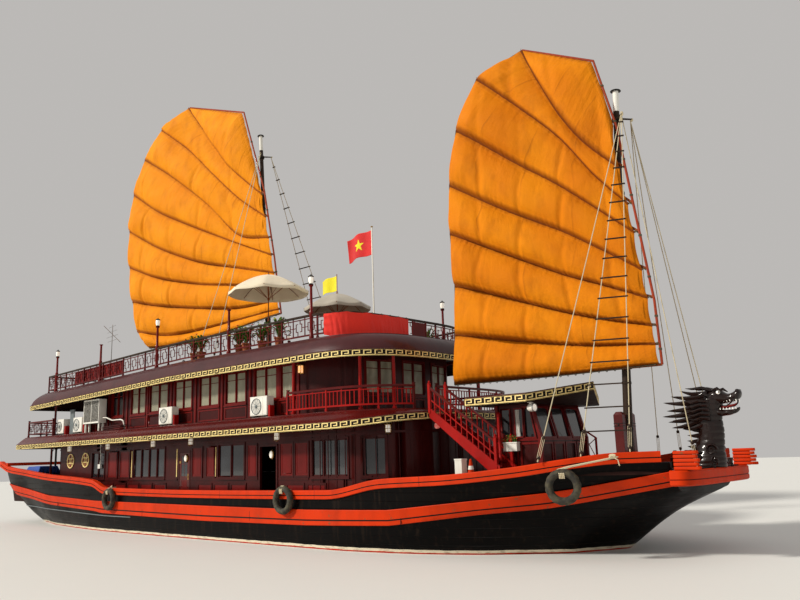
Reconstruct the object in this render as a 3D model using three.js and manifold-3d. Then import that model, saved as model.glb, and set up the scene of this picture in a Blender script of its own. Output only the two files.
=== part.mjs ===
// Two-masted wooden passenger junk: two covered decks, a sun deck and a dragon figurehead.
// Millimetres. +X is towards the bow, +Y to port, +Z up. z = 0 is the waterline.
import * as THREE from 'three';
import { mergeVertices } from 'three/addons/utils/BufferGeometryUtils.js';
import Module from 'manifold-3d';

const wasm = await Module();
wasm.setup();

// Driving dimensions
const GAP = 0.3;
const LIMIT = 30000; // further than any part reaches
const PLATE = 60;
const DECK = { mainZ: 1000, foreZ: 2000, foreStart: 8200, aft: -18450, wall: 110, flare: 40 };
const CAP = { height: 260, outside: 60, inside: 160, sternX: -18750, sternRise: 0.3 };

// Hull sections, stern to bow: each row is one half section, from the keel up to the rail.
// x, keelZ, bilgeY, bilgeZ, waterY, waterZ, sideY, sideZ, railY, railZ
const HULL_SECTIONS = [
  [-18750, 1120, 2500, 1170, 3100, 1300, 3550, 1700, 3800, 2680],
  [-18000, 720, 2500, 780, 3100, 940, 3600, 1400, 3850, 2600],
  [-16650, -150, 2200, -80, 2800, 100, 3600, 1050, 3900, 2500],
  [-14000, -950, 2300, -700, 3350, 0, 3900, 1000, 4050, 2290],
  [-9300, -1350, 2900, -950, 3950, 0, 4150, 1000, 4200, 2020],
  [-8200, -1380, 3000, -980, 4020, 0, 4180, 1000, 4200, 1720],
  [-2000, -1400, 3100, -1000, 4100, 0, 4200, 1000, 4200, 1650],
  [4800, -1380, 3050, -960, 4080, 0, 4190, 1000, 4200, 1690],
  [6900, -1300, 2700, -880, 3800, 0, 4080, 1050, 4180, 2000],
  [9050, -1100, 1950, -750, 3100, 0, 3750, 1150, 4030, 2090],
  [10900, -700, 1050, -480, 1900, 0, 2950, 1150, 3640, 2250],
  [12100, 40, 620, 220, 1350, 620, 2300, 1300, 3200, 2410],
  [13300, 920, 600, 990, 1200, 1120, 1950, 1480, 2680, 2530],
  [14300, 1440, 600, 1470, 1200, 1530, 1750, 1660, 2180, 2540],
];
const STEM_HALF = 120;
const KEEL = {
  aft: -17250, fore: 10600, forefoot: 9000, rise: [-14250, -300], heel: -200, half: 90, bottom: -1620,
  top: -700, solePiece: 110,
};
const PROPELLER_GAP_FORE = -15050;

const LOWER_EAVE = { aft: -16800, start: 3300, front: 7200, half: 4250, power: 3.5 };
const UPPER_EAVE = { aft: -16000, start: 2600, front: 6450, half: 4050, power: 3.5 };
const MAIN_CABIN = { aft: -14200, start: 3000, front: 6800, half: 3300, power: 3.2 };
const UPPER_CABIN = { aft: -12000, start: 1600, front: 4700, half: 3250, power: 3.2 };
const SECOND_DECK = { bandLow: 3450, bandHigh: 3650, floor: 4000, under: 3760, lipUp: 230, lipStart: 4800 };
const SUN_DECK = { bandLow: 5620, bandHigh: 5820, shoulder: 6180, floor: 6400, under: 6100 };
// The sun deck falls towards the stern, behind this place, by this much for each millimetre
const SHEER = { start: -4000, slope: 0.031 };

const WHEELHOUSE = {
  aft: 8950, front: 10350, half: 1300, floor: 2000, sill: 3000, head: 3840, top: 3940, rake: 250,
  rakeFrom: 9850, panes: [-1200, -350, 500], paneWidth: 700, sidePane: [9850, 10200],
};
const WHEELHOUSE_ROOF = { aft: 8400, corner: 10450, nose: 11400, half: 2100, thick: 270, lift: 330 };
const STAIRS = { topX: 7130, footX: 9500, outer: -2250, inner: -1420, topZ: 4000, footZ: 2000, steps: 9 };

const FORE_MAST = { baseX: 12280, baseZ: 2000, topX: 12868, topZ: 12900, baseRadius: 130, topRadius: 85 };
const AFT_MAST = { baseX: -3050, baseZ: 6400, topX: -3700, topZ: 16640, baseRadius: 115, topRadius: 75 };

// Sails: points are u (forward of the mast's place at the boom) and w (height above the water), in a
// vertical plane that stands to starboard of the mast. Battens run from the leech to the luff.
const SAIL = { thickness: 30, sparRadius: 38, sparSides: 6, seat: 30, offset: 240, clewOverhang: 60 };
const FORE_SAIL = {
  mast: FORE_MAST, swing: 6, throat: 5, ringBattens: [0, 5],
  outline: [
    [-5350, 4750], [1070, 4780], [1030, 6520], [850, 8090], [430, 11750], [-80, 13970],
    [-2340, 15110], [-4030, 14710], [-4890, 13200], [-5260, 11470], [-5310, 9600], [-5260, 7760],
    [-5230, 6190],
  ],
  battens: [
    [[-5270, 6300], [-3710, 5980], [-1710, 5610], [-580, 5460], [1057, 5340]],
    [[-5200, 7880], [-3630, 7310], [-1640, 6570], [-230, 6130], [1045, 5850]],
    [[-5290, 9620], [-3540, 8690], [-1610, 7700], [-430, 7190], [1019, 6620]],
    [[-5230, 11250], [-3450, 10100], [-1150, 8770], [927, 7420]],
    [[-4880, 13080], [-4030, 12420], [-2670, 11320], [-1380, 10330], [803, 8500]],
    [[-4010, 14640], [-2540, 13180], [-1290, 11830], [-300, 10400], [705, 9350]],
    [[-2360, 15080], [-1930, 14040], [-1240, 12560], [-530, 11470], [579, 10450]],
  ],
};
const AFT_SAIL = {
  mast: AFT_MAST, swing: 0, throat: 4, ringBattens: [1, 5],
  outline: [
    [-8700, 8120], [1130, 8400], [700, 10840], [30, 13900], [-1450, 18000],
    [-5760, 19680], [-8160, 19290], [-9720, 18120], [-10700, 16460], [-11020, 14510],
    [-10820, 12380], [-10400, 10630], [-9800, 9020],
  ],
  battens: [
    [[-9860, 9060], [-7590, 8580], [-5310, 8420], [-2000, 8500], [1095, 8600]],
    [[-10420, 10660], [-7930, 10060], [-4560, 9450], [-1570, 9010], [1028, 8980]],
    [[-10840, 12520], [-8010, 11460], [-4590, 10580], [-1590, 10020], [933, 9520]],
    [[-11000, 14500], [-8090, 13000], [-4630, 11630], [-1600, 10780], [822, 10150]],
    [[-10700, 16420], [-8190, 14880], [-5510, 13600], [-2350, 12200], [676, 10950]],
    [[-9720, 18080], [-6910, 16330], [-3920, 14200], [-1620, 12270], [501, 11750]],
    [[-8180, 19250], [-5660, 17420], [-3560, 15570], [-1650, 13970], [293, 12700]],
    [[-5800, 19640], [-4690, 18350], [-3200, 16590], [-2260, 15550], [63, 13750]],
  ],
};

const colours = {
  hull: 0x14100e, orange: 0xd9480f, lacquer: 0x5a0b0a, deck: 0x7a5a3c, skirt: 0x5a3a3f, rail: 0x4a1216,
  stair: 0x9c100c, sail: 0xd07f16, spar: 0x8a4a1c, mast: 0x2a201c, rope: 0xc9bda0, dragon: 0x140b09,
  white: 0xe8e6dc, bronze: 0x9a7434, steel: 0x6e6e70, tyre: 0x2c2a25, cream: 0xe9dfc4, red: 0xc41a14,
};

// Shape helpers
const X = new THREE.Vector3(1, 0, 0);
const Y = new THREE.Vector3(0, 1, 0);
const Z = new THREE.Vector3(0, 0, 1);

function toSolid(geometry) {
  geometry.deleteAttribute('normal');
  geometry.deleteAttribute('uv');
  const merged = mergeVertices(geometry, 1e-3);
  return new wasm.Manifold(new wasm.Mesh({
    numProp: 3,
    vertProperties: new Float32Array(merged.attributes.position.array),
    triVerts: new Uint32Array(merged.index.array),
  }));
}

function toGeometry(solid) {
  const mesh = solid.getMesh();
  const geometry = new THREE.BufferGeometry();
  geometry.setAttribute('position', new THREE.BufferAttribute(mesh.vertProperties, 3));
  geometry.setIndex(new THREE.BufferAttribute(mesh.triVerts, 1));
  geometry.computeVertexNormals();
  return geometry;
}

function join(solids) {
  return solids.reduce((whole, solid) => whole.add(solid));
}

function box(x0, x1, y0, y1, z0, z1) {
  const geometry = new THREE.BoxGeometry(x1 - x0, y1 - y0, z1 - z0);
  geometry.translate((x0 + x1) / 2, (y0 + y1) / 2, (z0 + z1) / 2);
  return toSolid(geometry);
}

function extrusion(points, depth) {
  const shape = new THREE.Shape(points.map(([a, b]) => new THREE.Vector2(a, b)));
  return new THREE.ExtrudeGeometry(shape, { depth, bevelEnabled: false });
}

// Plan outline, from z0 to z1
function prism(points, z0, z1) {
  return toSolid(extrusion(points, z1 - z0).translate(0, 0, z0));
}

// Side outline of x and z, from y0 to y1
function sidePrism(points, y0, y1) {
  const geometry = extrusion(points, y1 - y0);
  geometry.applyMatrix4(new THREE.Matrix4().makeBasis(X, Z, Y.clone().negate()));
  return toSolid(geometry.translate(0, y1, 0));
}

function rod(from, to, radius, sides = 8, endRadius = radius) {
  const start = new THREE.Vector3(...from);
  const end = new THREE.Vector3(...to);
  const run = end.clone().sub(start);
  const geometry = new THREE.CylinderGeometry(endRadius, radius, run.length(), sides);
  geometry.applyQuaternion(new THREE.Quaternion().setFromUnitVectors(Y, run.clone().normalize()));
  const middle = start.add(end).multiplyScalar(0.5);
  return toSolid(geometry.translate(middle.x, middle.y, middle.z));
}

// Body through rings of the same number of points; each end is closed by a fan from its middle.
function loft(rings) {
  const count = rings[0].length;
  const points = rings.flat();
  const faces = [];
  for (let ring = 0; ring + 1 < rings.length; ring += 1) {
    for (let step = 0; step < count; step += 1) {
      const a = ring * count + step;
      const b = ring * count + (step + 1) % count;
      faces.push(a, b, a + count, b, b + count, a + count);
    }
  }
  for (const [ring, flip] of [[0, true], [rings.length - 1, false]]) {
    const middle = points.length;
    const total = rings[ring].reduce((sum, p) => sum.map((value, axis) => value + p[axis]), [0, 0, 0]);
    points.push(total.map((value) => value / count));
    for (let step = 0; step < count; step += 1) {
      const a = ring * count + step;
      const b = ring * count + (step + 1) % count;
      faces.push(...(flip ? [b, a, middle] : [a, b, middle]));
    }
  }
  const geometry = new THREE.BufferGeometry();
  geometry.setAttribute('position', new THREE.BufferAttribute(new Float32Array(points.flat()), 3));
  geometry.setIndex(facesOutward(points, faces));
  return toSolid(geometry);
}

// Faces of a closed body, all turned over if they enclose a negative volume
function facesOutward(points, faces) {
  let volume = 0;
  for (let face = 0; face < faces.length; face += 3) {
    const [a, b, c] = [0, 1, 2].map((corner) => new THREE.Vector3(...points[faces[face + corner]]));
    volume += a.dot(b.cross(c));
  }
  return volume < 0 ? faces.reverse() : faces;
}

// Plan of a deck or cabin: square aft, a broad rounded front, straight sides with points every 2 m
function planOutline({ aft, start, front, half, power }, inset = 0, arcSteps = 14) {
  const side = [];
  const bays = Math.round((start - aft) / 2600);
  for (let bay = 0; bay < bays; bay += 1) {
    side.push([aft + inset + (start - aft - inset) * bay / bays, -(half - inset)]);
  }
  const points = [...side];
  for (let step = 0; step <= arcSteps; step += 1) {
    const angle = Math.PI * (step / arcSteps - 0.5);
    const along = Math.abs(Math.cos(angle)) ** (2 / power);
    const across = Math.sign(Math.sin(angle)) * Math.abs(Math.sin(angle)) ** (2 / power);
    points.push([start + (front - inset - start) * along, (half - inset) * across]);
  }
  side.reverse().forEach(([x, y]) => points.push([x, -y]));
  return points;
}

function level(points, z) {
  return points.map(([x, y]) => [x, y, z]);
}

function bend(solid, lift) {
  return solid.warp((vertex) => {
    vertex[2] += lift(vertex[0], vertex[1], vertex[2]);
  });
}

function sunDeckDrop(x) {
  return -SHEER.slope * Math.max(0, SHEER.start - x);
}

// A body split at the start of the sheer, with its aft half let down above a height
function sheered(solid, above = 0) {
  const far = 40000;
  const aft = solid.intersect(box(-far, SHEER.start, -far, far, -far, far));
  const fore = solid.intersect(box(SHEER.start, far, -far, far, -far, far));
  return fore.add(bend(aft, (x, y, z) => (z > above ? sunDeckDrop(x) : 0)));
}

// The second deck's eave turns up at its front
function eaveLift(x) {
  const run = Math.max(0, x - SECOND_DECK.lipStart) / (LOWER_EAVE.front - SECOND_DECK.lipStart);
  return SECOND_DECK.lipUp * run ** 2;
}

function interpolate(rows, x, column) {
  const last = rows.length - 1;
  let index = rows.findIndex((row) => row[0] > x) - 1;
  if (x >= rows[last][0]) index = last - 1;
  index = Math.max(0, index);
  const share = (x - rows[index][0]) / (rows[index + 1][0] - rows[index][0]);
  return rows[index][column] + (rows[index + 1][column] - rows[index][column]) * share;
}
const railHalf = (x) => interpolate(HULL_SECTIONS, x, 8);
const railHeight = (x) => interpolate(HULL_SECTIONS, x, 9);

const group = new THREE.Group();
group.name = 'passenger_junk';

function place(name, solid, colour, roughness = 0.6, metalness = 0) {
  const material = new THREE.MeshStandardMaterial({ color: colour, roughness, metalness });
  const mesh = new THREE.Mesh(toGeometry(solid), material);
  mesh.name = name;
  group.add(mesh);
}

// A hinge stands just outside the face that it is on. The leaf's barrel turns between the two fixed ones.
// at: hinge axis in plan, along: unit step towards the leaf, low: height of the leaf's barrel
const HINGE = { radius: 9, barrel: 90, reach: 70, deep: 4, shift: 3, proud: 12 };
function hingeBarrels(at, along, faceShift, low, high) {
  const leaf = [];
  const frame = [];
  for (const z of [low, high]) {
    leaf.push(rod([at[0], at[1], z], [at[0], at[1], z + HINGE.barrel], HINGE.radius));
    leaf.push(armBox(at, along, faceShift, z, z + HINGE.barrel));
    for (const [from, to] of [[z - HINGE.barrel, z - GAP], [z + HINGE.barrel + GAP, z + 2 * HINGE.barrel]]) {
      frame.push(rod([at[0], at[1], from], [at[0], at[1], to], HINGE.radius));
      frame.push(armBox(at, along.map((value) => -value), faceShift, from, to));
    }
  }
  return { leaf: join(leaf), frame: join(frame) };
}

function armBox(at, along, faceShift, z0, z1) {
  const cross = faceShift.map((value) => Math.sign(value));
  const end = [at[0] + along[0] * HINGE.reach, at[1] + along[1] * HINGE.reach];
  const deep = [faceShift[0] + cross[0] * HINGE.deep, faceShift[1] + cross[1] * HINGE.deep];
  const x = [at[0], end[0], at[0] + deep[0] * Math.abs(along[1]), end[0] + deep[0] * Math.abs(along[1])];
  const y = [at[1], end[1], at[1] + deep[1] * Math.abs(along[0]), end[1] + deep[1] * Math.abs(along[0])];
  return box(Math.min(...x), Math.max(...x), Math.min(...y), Math.max(...y), z0, z1);
}

// Hull
// Columns of y and z for each level of a ring, above the keel
const HULL_RING_LEVELS = [[2, 3], [4, 5], [6, 7], [8, 9]];
function hullRing(x, railDrop) {
  const keelZ = interpolate(HULL_SECTIONS, x, 1);
  const side = [[STEM_HALF, keelZ]];
  for (const [column, row] of HULL_RING_LEVELS) {
    side.push([interpolate(HULL_SECTIONS, x, column), interpolate(HULL_SECTIONS, x, row)]);
  }
  side[side.length - 1][1] -= railDrop;
  return [...side.map(([y, z]) => [x, -y, z]), ...side.reverse().map(([y, z]) => [x, y, z])];
}

const stationX = HULL_SECTIONS.map((row) => row[0]);
const outerHull = loft(stationX.map((x) => hullRing(x, CAP.height)));

function deckWell(from, to, floor) {
  const stations = [from, ...stationX.filter((x) => x > from && x < to), to];
  const above = 600;
  return loft(stations.map((x) => {
    const half = Math.min(railHalf(x), interpolate(HULL_SECTIONS, x, 6) + DECK.flare) - DECK.wall;
    const topHalf = railHalf(x) - DECK.wall;
    const top = railHeight(x) + above;
    return [[x, -half, floor], [x, -topHalf, top], [x, topHalf, top], [x, half, floor]];
  }));
}

const ENGINE_ROOM = { x: [-13300, -9900], half: 1100, bottom: -700 };
const HATCH = { half: 800, x: [-12900, -11300] };
const SHAFT = { radius: 45, z: -1020, propellerX: -15620, foreEnd: -13200, bearing: 160, play: 12, fit: 0.6 };
const RUDDER = {
  stockX: -16450, stockRadius: 60, play: 12, aft: -17300, fore: -16360, bottom: -1480, top: -330,
  aftDrop: -150, stockFoot: -430, stockTop: 1500, half: 45, pintle: 90, tube: [-400, 2000],
};

const keelFin = sidePrism([
  [KEEL.aft, KEEL.bottom], [KEEL.forefoot, KEEL.bottom], [KEEL.fore, KEEL.top], KEEL.rise,
  [PROPELLER_GAP_FORE, KEEL.heel], [PROPELLER_GAP_FORE, KEEL.bottom + KEEL.solePiece],
  [KEEL.aft, KEEL.bottom + KEEL.solePiece],
], -KEEL.half, KEEL.half);
// The foredeck stands a little higher than the hull's sides as far as here
const FORE_DECK = { stations: [DECK.foreStart, 9050, 10900, 11200], under: 1600, underInset: 400 };
const foreDeck = loft(FORE_DECK.stations.map((x) => {
  const half = railHalf(x) - CAP.inside - GAP;
  const low = half - FORE_DECK.underInset;
  const { under } = FORE_DECK;
  return [[x, -low, under], [x, -half, DECK.foreZ], [x, half, DECK.foreZ], [x, low, under]];
}));
let hull = join([outerHull, keelFin, foreDeck]);
hull = hull.subtract(deckWell(DECK.aft, DECK.foreStart, DECK.mainZ));
hull = hull.subtract(deckWell(DECK.foreStart - 1, 14400, DECK.foreZ));
hull = hull.subtract(box(ENGINE_ROOM.x[0], ENGINE_ROOM.x[1], -ENGINE_ROOM.half, ENGINE_ROOM.half,
  ENGINE_ROOM.bottom, DECK.mainZ + 1));
hull = hull.subtract(rod([PROPELLER_GAP_FORE + SHAFT.bearing, 0, SHAFT.z], [SHAFT.foreEnd, 0, SHAFT.z],
  SHAFT.radius + SHAFT.play, 16));
hull = hull.subtract(rod([PROPELLER_GAP_FORE - SHAFT.bearing, 0, SHAFT.z], [SHAFT.foreEnd, 0, SHAFT.z],
  SHAFT.radius + SHAFT.fit, 32));
hull = hull.subtract(rod([RUDDER.stockX, 0, RUDDER.tube[0]], [RUDDER.stockX, 0, RUDDER.tube[1]],
  RUDDER.stockRadius + RUDDER.play, 16));
const pintle = rod([RUDDER.stockX, 0, KEEL.bottom + KEEL.solePiece / 2],
  [RUDDER.stockX, 0, RUDDER.bottom - GAP], RUDDER.pintle, 16);
place('hull', hull.add(pintle), colours.hull, 0.45);

// Gunwale: an orange rail log on top of each side, joined across the stern
const CAP_ENDS = [-19600, 14150];
const CAP_STATIONS = [CAP_ENDS[0], ...stationX.slice(0, -1), CAP_ENDS[1]];
function capRing(x, sign) {
  const rise = Math.max(0, CAP.sternX - x) * CAP.sternRise;
  const top = railHeight(Math.max(x, CAP.sternX)) + rise;
  const low = top - CAP.height + GAP;
  const out = railHalf(Math.max(x, CAP.sternX)) + CAP.outside;
  const inn = out - CAP.outside - CAP.inside;
  const ring = [[x, sign * out, low], [x, sign * out, top], [x, sign * inn, top], [x, sign * inn, low]];
  return sign > 0 ? ring : ring.reverse();
}
const capPort = loft(CAP_STATIONS.map((x) => capRing(x, 1)));
const capStarboard = loft(CAP_STATIONS.map((x) => capRing(x, -1)));
const STERN_RAIL = { x: [-18940, -18780], half: 3800, z: [2700, 2850] };
const sternRail = box(...STERN_RAIL.x, -STERN_RAIL.half, STERN_RAIL.half, ...STERN_RAIL.z);
const gunwale = join([capPort, capStarboard, sternRail]);
place('gunwale', gunwale, colours.orange, 0.5);

// Bow: a curved beam across the stem head, and a stack of rounded planks at each end of it
const BOW_BEAM = { x: 14300 + GAP, reach: 560, half: 2230, low: 1720, high: 2080 };
const bowBeam = prism(planOutline({
  aft: BOW_BEAM.x, start: BOW_BEAM.x, front: BOW_BEAM.x + BOW_BEAM.reach, half: BOW_BEAM.half, power: 4,
}, 0, 16), BOW_BEAM.low, BOW_BEAM.high);
place('bow_beam', bowBeam, colours.orange, 0.5);

const STACK = { planks: 5, width: 130, length: 640, aft: 14360, half: 2020, top: 2530 };
for (const [name, sign] of [['bow_cheek_starboard', -1], ['bow_cheek_port', 1]]) {
  const planks = [];
  const step = (STACK.top - BOW_BEAM.high) / STACK.planks;
  for (let index = 0; index < STACK.planks; index += 1) {
    const z = BOW_BEAM.high + GAP + step * (index + 0.5);
    planks.push(box(STACK.aft, STACK.aft + STACK.length, sign * STACK.half - STACK.width / 2,
      sign * STACK.half + STACK.width / 2, z - step / 2, z + step / 2));
  }
  place(name, join(planks), colours.orange, 0.5);
}

// Dragon figurehead: a neck that rises from the bow beam, and a head that looks forward
const DRAGON = [
  // x, z, half width, half depth
  [14420, 2080 + GAP, 330, 420], [14480, 2500, 270, 360], [14620, 2950, 220, 300], [14560, 3350, 210, 320],
  [14600, 3650, 240, 330], [14750, 3880, 200, 260],
];
const NECK_SIDES = 10;
// Side outlines of x and z
const SNOUT = { half: 170, outline: [[14500, 3450], [15250, 3300], [15330, 3480], [15100, 3560],
  [15380, 3650], [15400, 3950], [15150, 3900], [14900, 4080], [14500, 4050]] };
const MANE = { half: 130, outline: [[14600, 3300], [14050, 3050], [13600, 3200], [13950, 3350], [13450, 3450],
  [13950, 3600], [13500, 3780], [14150, 3850], [14000, 4050], [14700, 4080]] };
const neck = loft(DRAGON.map(([x, z, half, deep]) => {
  const ring = [];
  for (let step = 0; step < NECK_SIDES; step += 1) {
    const angle = Math.PI * 2 * step / NECK_SIDES;
    ring.push([x + deep * Math.cos(angle), half * Math.sin(angle), z]);
  }
  return ring;
}));
const snout = sidePrism(SNOUT.outline, -SNOUT.half, SNOUT.half);
const mane = sidePrism(MANE.outline, -MANE.half, MANE.half);
place('dragon_figurehead', join([neck, snout, mane]), colours.dragon, 0.3);

// Running gear below the water
const BLADE = {
  count: 4, thick: 30, pitch: 32,
  outline: [[-60, 60], [60, 60], [140, 260], [80, 430], [-80, 430], [-140, 260]],
};
const HUB = { radius: 110, half: 150 };
const blades = [];
for (let index = 0; index < BLADE.count; index += 1) {
  const blade = extrusion(BLADE.outline, BLADE.thick);
  blade.translate(0, 0, -BLADE.thick / 2);
  blade.applyMatrix4(new THREE.Matrix4().makeRotationY(THREE.MathUtils.degToRad(BLADE.pitch)));
  blade.applyMatrix4(new THREE.Matrix4().makeBasis(Y, Z, X));
  blade.rotateX(Math.PI * 2 / BLADE.count * index);
  blades.push(toSolid(blade.translate(SHAFT.propellerX, 0, SHAFT.z)));
}
const hub = rod([SHAFT.propellerX - HUB.half, 0, SHAFT.z], [SHAFT.propellerX + HUB.half, 0, SHAFT.z],
  HUB.radius, 12);
place('propeller', join([hub, ...blades]), colours.bronze, 0.35, 0.9);
place('propeller_shaft', rod([SHAFT.propellerX + HUB.half + GAP, 0, SHAFT.z], [SHAFT.foreEnd, 0, SHAFT.z],
  SHAFT.radius, 32), colours.steel, 0.4, 0.9);
const ENGINE = { x: [-13000, -10400], half: 520, bottom: -600, top: 450, bedHalf: 420 };
const engine = box(...ENGINE.x, -ENGINE.half, ENGINE.half, ENGINE.bottom, ENGINE.top);
const engineBed = box(...ENGINE.x, -ENGINE.bedHalf, ENGINE.bedHalf, ENGINE_ROOM.bottom + GAP,
  ENGINE.bottom + 1);
place('engine', join([engine, engineBed]), colours.steel, 0.6, 0.5);

const rudderBlade = sidePrism([[RUDDER.fore, RUDDER.bottom], [RUDDER.aft, RUDDER.bottom],
  [RUDDER.aft, RUDDER.aftDrop], [RUDDER.fore, RUDDER.top]], -RUDDER.half, RUDDER.half);
const stock = rod([RUDDER.stockX, 0, RUDDER.stockFoot], [RUDDER.stockX, 0, RUDDER.stockTop],
  RUDDER.stockRadius, 16);
place('rudder', rudderBlade.add(stock), colours.hull, 0.5);

// Cabin walls with their windows and doorways cut out
const DOOR = { width: 640, height: 1850, thick: 40, play: 8, step: 120 };

function doorLeaf(x0, x1, y0, y1, z0) {
  return box(x0, x1, y0, y1, z0 + DOOR.play, z0 + DOOR.height - DOOR.play);
}

function cabinShell(plan, z0, z1) {
  return prism(planOutline(plan), z0, z1).subtract(prism(planOutline(plan, PLATE), z0 - 1, z1 + 1));
}

const OPENING_CUT = [2500, 3500];
let mainCabin = cabinShell(MAIN_CABIN, DECK.mainZ + GAP, SECOND_DECK.under - GAP);
// Openings in both side walls: from x, to x, from z, to z. The fourth is a doorway without a leaf.
const MAIN_OPENINGS = [[-11150, -10050, 2050, 3150], [-7660, -5360, 2050, 3200], [-1850, -330, 2050, 3200],
  [560, 1400, 1120, 3050], [3150, 4700, 2050, 3200], [5200, 5900, 2050, 3200]];
for (const [x0, x1, z0, z1] of MAIN_OPENINGS) {
  for (const sign of [-1, 1]) {
    const y = [sign * OPENING_CUT[0], sign * OPENING_CUT[1]].sort((a, b) => a - b);
    mainCabin = mainCabin.subtract(box(x0, x1, ...y, z0, z1));
  }
}
const SIDE_DOOR = { x: -4320, low: DECK.mainZ + DOOR.step, hinges: [250, 1450] };
const AFT_DOORWAY = { half: 500, head: 3000 };
mainCabin = mainCabin.subtract(box(SIDE_DOOR.x, SIDE_DOOR.x + DOOR.width, -OPENING_CUT[1], OPENING_CUT[1],
  SIDE_DOOR.low, SIDE_DOOR.low + DOOR.height));
mainCabin = mainCabin.subtract(box(MAIN_CABIN.aft - 100, MAIN_CABIN.aft + 100, -AFT_DOORWAY.half,
  AFT_DOORWAY.half, DECK.mainZ + DOOR.step, AFT_DOORWAY.head));
for (const [name, sign] of [['cabin_door_starboard', -1], ['cabin_door_port', 1]]) {
  const face = sign * MAIN_CABIN.half;
  const at = [SIDE_DOOR.x + HINGE.shift, face + sign * HINGE.proud];
  const hinges = hingeBarrels(at, [1, 0], [0, -sign * HINGE.proud],
    ...SIDE_DOOR.hinges.map((height) => SIDE_DOOR.low + height));
  const y = [face, face - sign * DOOR.thick].sort((a, b) => a - b);
  const leaf = doorLeaf(SIDE_DOOR.x + DOOR.play, SIDE_DOOR.x + DOOR.width - DOOR.play, ...y, SIDE_DOOR.low);
  mainCabin = mainCabin.add(hinges.frame);
  place(name, leaf.add(hinges.leaf), colours.lacquer, 0.4);
}
place('main_cabin', mainCabin, colours.lacquer, 0.4);

let upperCabin = cabinShell(UPPER_CABIN, SECOND_DECK.floor + GAP, SUN_DECK.under - GAP);
// Windows in both side walls, from x to x, and in the front wall, from y to y
const UPPER_WINDOWS = [[-11300, -10300], [-9680, -8750], [-8100, -6990], [-6650, -5330], [-4850, -3680],
  [-3150, -1940], [-1520, -340], [160, 1360], [1570, 2280]];
const UPPER_FRONT_WINDOWS = [[-2100, -1000], [-550, 550], [1000, 2100]];
const UPPER_WINDOW = { low: 4620, high: 5740 };
for (const [x0, x1] of UPPER_WINDOWS) {
  upperCabin = upperCabin.subtract(box(x0, x1, -OPENING_CUT[1], OPENING_CUT[1], UPPER_WINDOW.low,
    UPPER_WINDOW.high));
}
for (const [y0, y1] of UPPER_FRONT_WINDOWS) {
  upperCabin = upperCabin.subtract(box(3000, UPPER_CABIN.front + 1, y0, y1, UPPER_WINDOW.low,
    UPPER_WINDOW.high));
}
const SALOON_DOOR = { y: -380, low: SECOND_DECK.floor + 60, height: 1680, hinges: [250, 1200] };
upperCabin = upperCabin.subtract(box(UPPER_CABIN.aft - 100, UPPER_CABIN.aft + 100, SALOON_DOOR.y,
  SALOON_DOOR.y + DOOR.width, SALOON_DOOR.low, SALOON_DOOR.low + SALOON_DOOR.height));
const saloonHinges = hingeBarrels([UPPER_CABIN.aft - HINGE.proud, SALOON_DOOR.y + HINGE.shift], [0, 1],
  [HINGE.proud, 0], ...SALOON_DOOR.hinges.map((height) => SALOON_DOOR.low + height));
const saloonLeaf = box(UPPER_CABIN.aft, UPPER_CABIN.aft + DOOR.thick, SALOON_DOOR.y + DOOR.play,
  SALOON_DOOR.y + DOOR.width - DOOR.play, SALOON_DOOR.low + DOOR.play,
  SALOON_DOOR.low + SALOON_DOOR.height - DOOR.play);
upperCabin = sheered(upperCabin, SUN_DECK.bandHigh);
place('upper_cabin', upperCabin.add(saloonHinges.frame), colours.lacquer, 0.4);
place('saloon_door', saloonLeaf.add(saloonHinges.leaf), colours.lacquer, 0.4);

// Decks: a thick slab whose hanging lip carries the patterned band
function deckSlab(plan, outside, inside) {
  const body = (levels) => loft(levels.map(([inset, z]) => level(planOutline(plan, inset), z)));
  return body(outside).subtract(body(inside));
}
const secondDeck = deckSlab(LOWER_EAVE,
  [[0, SECOND_DECK.bandLow], [0, SECOND_DECK.bandHigh], [260, SECOND_DECK.floor - 40],
    [300, SECOND_DECK.floor]],
  [[PLATE, SECOND_DECK.bandLow - 100], [PLATE, SECOND_DECK.bandHigh - 60], [340, SECOND_DECK.under]]);
place('second_deck', bend(secondDeck, (x, y, z) => (z < SECOND_DECK.bandHigh + 10 ? eaveLift(x) : 0)),
  colours.skirt, 0.35);

const sunDeck = deckSlab(UPPER_EAVE,
  [[0, SUN_DECK.bandLow], [0, SUN_DECK.bandHigh], [180, SUN_DECK.shoulder], [480, SUN_DECK.floor]],
  [[PLATE, SUN_DECK.bandLow - 100], [PLATE, SUN_DECK.bandHigh - 60], [420, SUN_DECK.under]]);
place('sun_deck', sheered(sunDeck), colours.skirt, 0.3);

// Rails: bars over stanchions that stand on the deck's edge
// Places along a closed line, at a pitch
function walk(line, pitch) {
  const places = [];
  let along = pitch / 2;
  line.forEach((from, index) => {
    const to = line[(index + 1) % line.length];
    const length = Math.hypot(to[0] - from[0], to[1] - from[1]);
    for (; along < length; along += pitch) {
      const share = along / length;
      places.push([from[0] + (to[0] - from[0]) * share, from[1] + (to[1] - from[1]) * share]);
    }
    along -= length;
  });
  return places;
}
const RAIL = { width: 60, stanchion: 20 };
function railing(plan, floor, bars, pitch) {
  const rings = bars.map(([low, high]) => prism(planOutline(plan), floor + low, floor + high)
    .subtract(prism(planOutline(plan, RAIL.width), floor + low - 1, floor + high + 1)));
  const stanchions = walk(planOutline(plan, RAIL.width / 2), pitch).map(([x, y]) => box(
    x - RAIL.stanchion, x + RAIL.stanchion, y - RAIL.stanchion, y + RAIL.stanchion,
    floor + GAP, floor + bars[0][1] - 5));
  return join([...rings, ...stanchions]);
}

const SUN_RAIL = { aft: -15440, start: 2600, front: 4850, half: 3490, power: 4 };
const sunRailParts = [railing(SUN_RAIL, SUN_DECK.floor, [[760, 820], [120, 170]], 1900)];
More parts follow.
